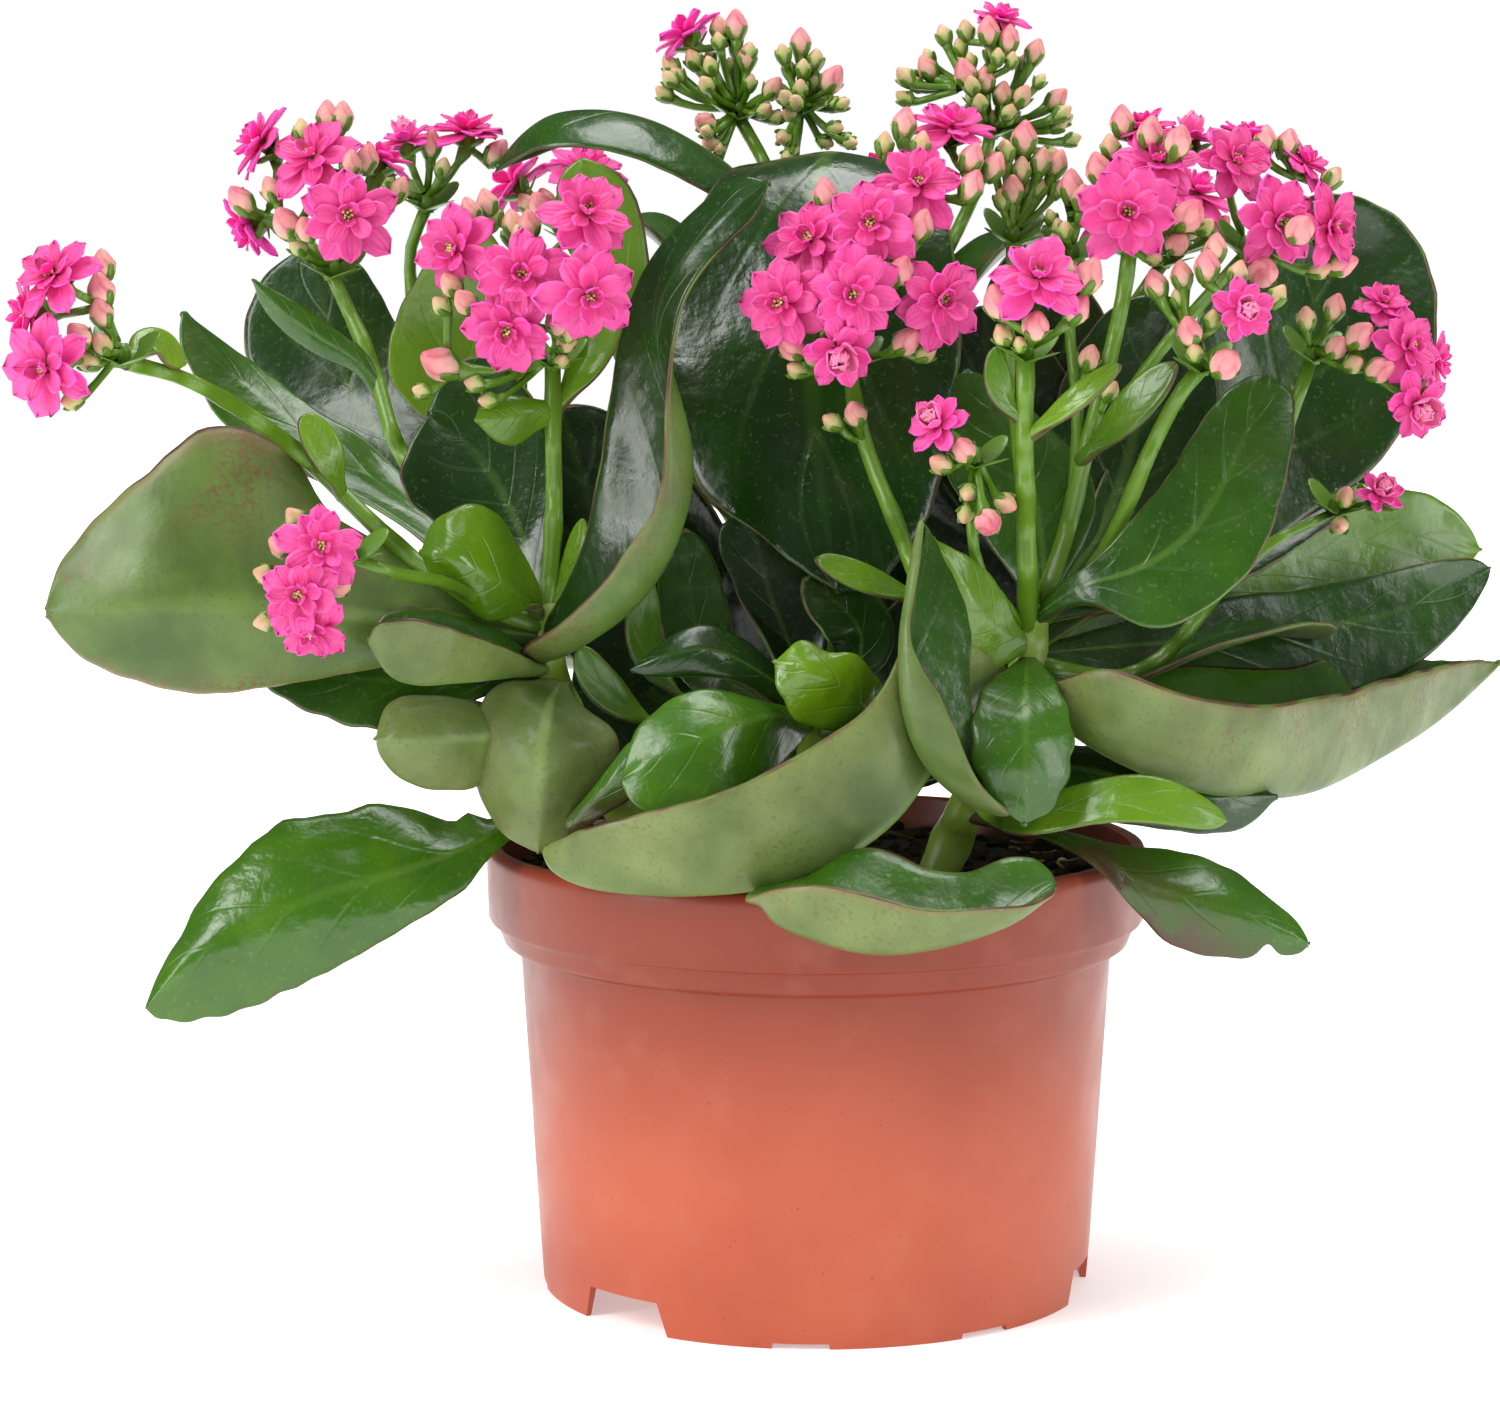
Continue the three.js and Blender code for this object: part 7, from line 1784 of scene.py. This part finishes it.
def pot_plastic():
    """Injection-moulded polypropylene: red terracotta with a satin sheen, and painted shade that
    deepens it towards the rim, where the leaves above shade it."""
    return material("moulded_polypropylene", (), [
        ("cloud", "TexNoise", {"Scale": per(30), "Detail": 3}, OBJECT),
        ("even", "ValToRGB", {"stops": [(0.3, "#ae4e34"), (0.7, "#ba5a3e")]}, {0: "cloud"}),
        # Painted shade: the wall turns deeper red from low on the pot up to the rim, where the leaves
        # shade it
        ("height", "SeparateXYZ", {}, {0: "place.Object"}),
        ("depth", "MapRange", {**SMOOTH, 1: 0.022, 2: 0.07, 3: 0, 4: 0.75}, {0: "height.Z"}),
        ("rim_shaded", "Mix", {**COLOUR, 7: "#66210f"}, {0: "depth", 6: "even"}),
        ("grains", "TexNoise", {"Scale": per(1.1), "Detail": 1}, OBJECT),
        ("speck", "MapRange", {**SMOOTH, 1: 0.74, 2: 0.8, 3: 0, 4: 0.5}, {0: "grains"}),
        ("specked", "Mix", {**COLOUR, 7: "#6b2818"}, {0: "speck", 6: "rim_shaded"}),
        ("smear", "TexNoise", {"Scale": per(9), "Detail": 4}, OBJECT),
        ("dust", "MapRange", {**SMOOTH, 1: 0.5, 2: 0.75, 3: 0, 4: 0.1}, {0: "smear"}),
        ("skin", "Mix", {**COLOUR, 7: "#c0816a"}, {0: "dust", 6: "specked"}),
        ("wear", "TexNoise", {"Scale": per(12), "Detail": 4}, OBJECT),
        ("rough", "MapRange", {**SMOOTH, 1: 0.3, 2: 0.7, 3: 0.3, 4: 0.4}, {0: "wear"}),
        ("sink", "TexNoise", {"Scale": per(24), "Detail": 2}, OBJECT),
        ("sinks", "Bump", {"Distance": 0.25 * MM}, {"Height": "sink"}),
        ("fine", "TexNoise", {"Scale": per(0.7), "Detail": 1}, OBJECT),
        ("relief", "Bump", {"Distance": 0.012 * MM}, {"Height": "fine", "Normal": "sinks"}),
    ], {"Specular IOR Level": 0.35},
        {"Base Color": "skin", "Roughness": "rough", "Normal": "relief"})


def potting_soil():
    """Damp peat: nearly black brown crumbs with fibres."""
    return material("potting_peat", (), [
        ("crumbs", "TexNoise", {"Scale": per(2.4), "Detail": 4}, OBJECT),
        ("skin", "ValToRGB", {"stops": [
            (0.3, "#0e0906"), (0.55, "#23170f"), (0.8, "#3d2b1d"),
        ]}, {0: "crumbs"}),
        ("lumps", "TexNoise", {"Scale": per(1.4), "Detail": 4}, OBJECT),
        ("fine", "TexNoise", {"Scale": per(0.5), "Detail": 2}, OBJECT),
        ("lumpy", "Bump", {"Distance": 0.8 * MM}, {"Height": "lumps"}),
        ("relief", "Bump", {"Distance": 0.25 * MM}, {"Height": "fine", "Normal": "lumpy"}),
    ], {"Roughness": 0.95}, {"Base Color": "skin", "Normal": "relief"})


def perlite_grit():
    """Expanded perlite: dull white porous grains."""
    return material("perlite_grit", (), [
        ("pores", "TexNoise", {"Scale": per(0.8), "Detail": 2}, OBJECT),
        ("skin", "ValToRGB", {"stops": [(0.3, "#a89c8a"), (0.7, "#e8e2d6")]}, {0: "pores"}),
        ("relief", "Bump", {"Distance": 0.2 * MM}, {"Height": "pores"}),
    ], {"Roughness": 0.9}, {"Base Color": "skin", "Normal": "relief"})


def dry_root():
    """Thin dry roots and fibres: light brown."""
    return material("dry_root", (), [
        ("streaks", "TexNoise", {"Scale": per(1.8), "Detail": 2}, OBJECT),
        ("skin", "ValToRGB", {"stops": [(0.3, "#5d452e"), (0.7, "#a58b66")]}, {0: "streaks"}),
    ], {"Roughness": 0.8}, {"Base Color": "skin"})


def studio_floor():
    """Matt white paper under the pot, lit a little from below as on a light table."""
    return material("white_paper", (), [
        ("cloud", "TexNoise", {"Scale": per(400), "Detail": 2}, OBJECT),
        ("skin", "ValToRGB", {"stops": [(0.3, "#f4f4f4"), (0.7, "#fafafa")]}, {0: "cloud"}),
        ("away", "VectorMath", {"operation": "LENGTH"}, {0: "place.Object"}),
        ("glow", "MapRange", {**SMOOTH, 1: 0.2, 2: 1.2, 3: STUDIO["glow"], 4: STUDIO["far_glow"]},
         {0: "away.Value"}),
    ], {"Roughness": 0.8, "Specular IOR Level": 0.2, "Emission Color": "#ffffff"},
        {"Base Color": "skin", "Emission Strength": "glow"})


# Studio: a pale floor, a surround that looks white but shines little, and soft boxes

STUDIO = {
    "floor_radius": 3000, "floor_sides": 64, "glow": 0.4, "far_glow": 1, "shown": 1,
    "fill": 0.54, "mirrored": 0.1,
}
# Soft boxes: name, place, width and height in metres, and watts. They all point at AIM.
SOFT_BOXES = [
    ("key_left", (-1.0, -0.8, 1.3), 0.6, 0.8, 15),
    ("overhead", (0.2, 0.1, 1.45), 0.9, 0.7, 14),
    ("strip_left", (-1.2, -0.75, 0.3), 0.22, 1.1, 8),
    ("strip_right", (1.1, -0.6, 0.35), 0.22, 1.1, 5),
]
AIM = Vector((0, 0, 0.11))


def make_studio():
    mesh = bmesh.new()
    sides = STUDIO["floor_sides"]
    bmesh.ops.create_circle(mesh, cap_ends=True, segments=sides, radius=STUDIO["floor_radius"])
    floor = mesh_object("studio_floor", mesh)
    floor.data.materials.append(studio_floor())
    world = bpy.data.worlds.new("white_surround")
    world.use_nodes = True
    tree = world.node_tree
    tree.nodes.clear()
    add_node(tree, "ray", "LightPath", {}, {})
    for light in ("shown", "fill", "mirrored"):
        add_node(tree, light, "Background", {"Color": "#ffffff", "Strength": STUDIO[light]}, {})
    add_node(tree, "unseen", "MixShader", {}, {0: "ray.Is Glossy Ray", 1: "fill", 2: "mirrored"})
    add_node(tree, "both", "MixShader", {}, {0: "ray.Is Camera Ray", 1: "unseen", 2: "shown"})
    add_node(tree, "output", "OutputWorld", {"is_active_output": True}, {0: "both"})
    bpy.context.scene.world = world
    for name, place, width, height, watts in SOFT_BOXES:
        data = bpy.data.lights.new(name, "AREA")
        data.shape = "RECTANGLE"
        data.size = width
        data.size_y = height
        data.energy = watts
        light = place_object(name, data)
        light.location = place
        light.rotation_euler = (AIM - Vector(place)).to_track_quat("-Z", "Y").to_euler()
    bpy.context.scene.view_settings.view_transform = "Standard"


# The whole object

make_camera()
make_studio()
make_pot([pot_plastic()])
make_soil([potting_soil(), perlite_grit(), dry_root()])

stalk_skin = kalanchoe_stalk()
bud_skin = kalanchoe_bud_skin()
leaf_skins = [kalanchoe_leaf_upper(), kalanchoe_leaf_under(), kalanchoe_leaf_margin()]
for stem in ("left", "right", "front", "back"):
    leaves_of(stem, leaf_skins)
    stalks_of(stem, [stalk_skin, bud_skin])

# Hues: outer, inner, heart and light. The light hue is a painted highlight along the petal edges and
# also tints random paler patches; the heart hue is partly the petals' own deeper base and partly
# painted shade
petal_skins = [
    petal_face("petal_upper", ("#ff2eb8", "#fa229a", "#d4165e", "#ff6cc2")),
    petal_face("petal_under", ("#e03c94", "#d02c78", "#ac2a54", "#f07ab4")),
]
head_greens = [stalk_skin, bud_skin, flower_eye()]
rows = [head_from_table(row) for row in HEADS]
rows += [back_head(row, index) for index, row in enumerate(BACK_HEADS)]
for row in rows:
    head(row, petal_skins, head_greens)
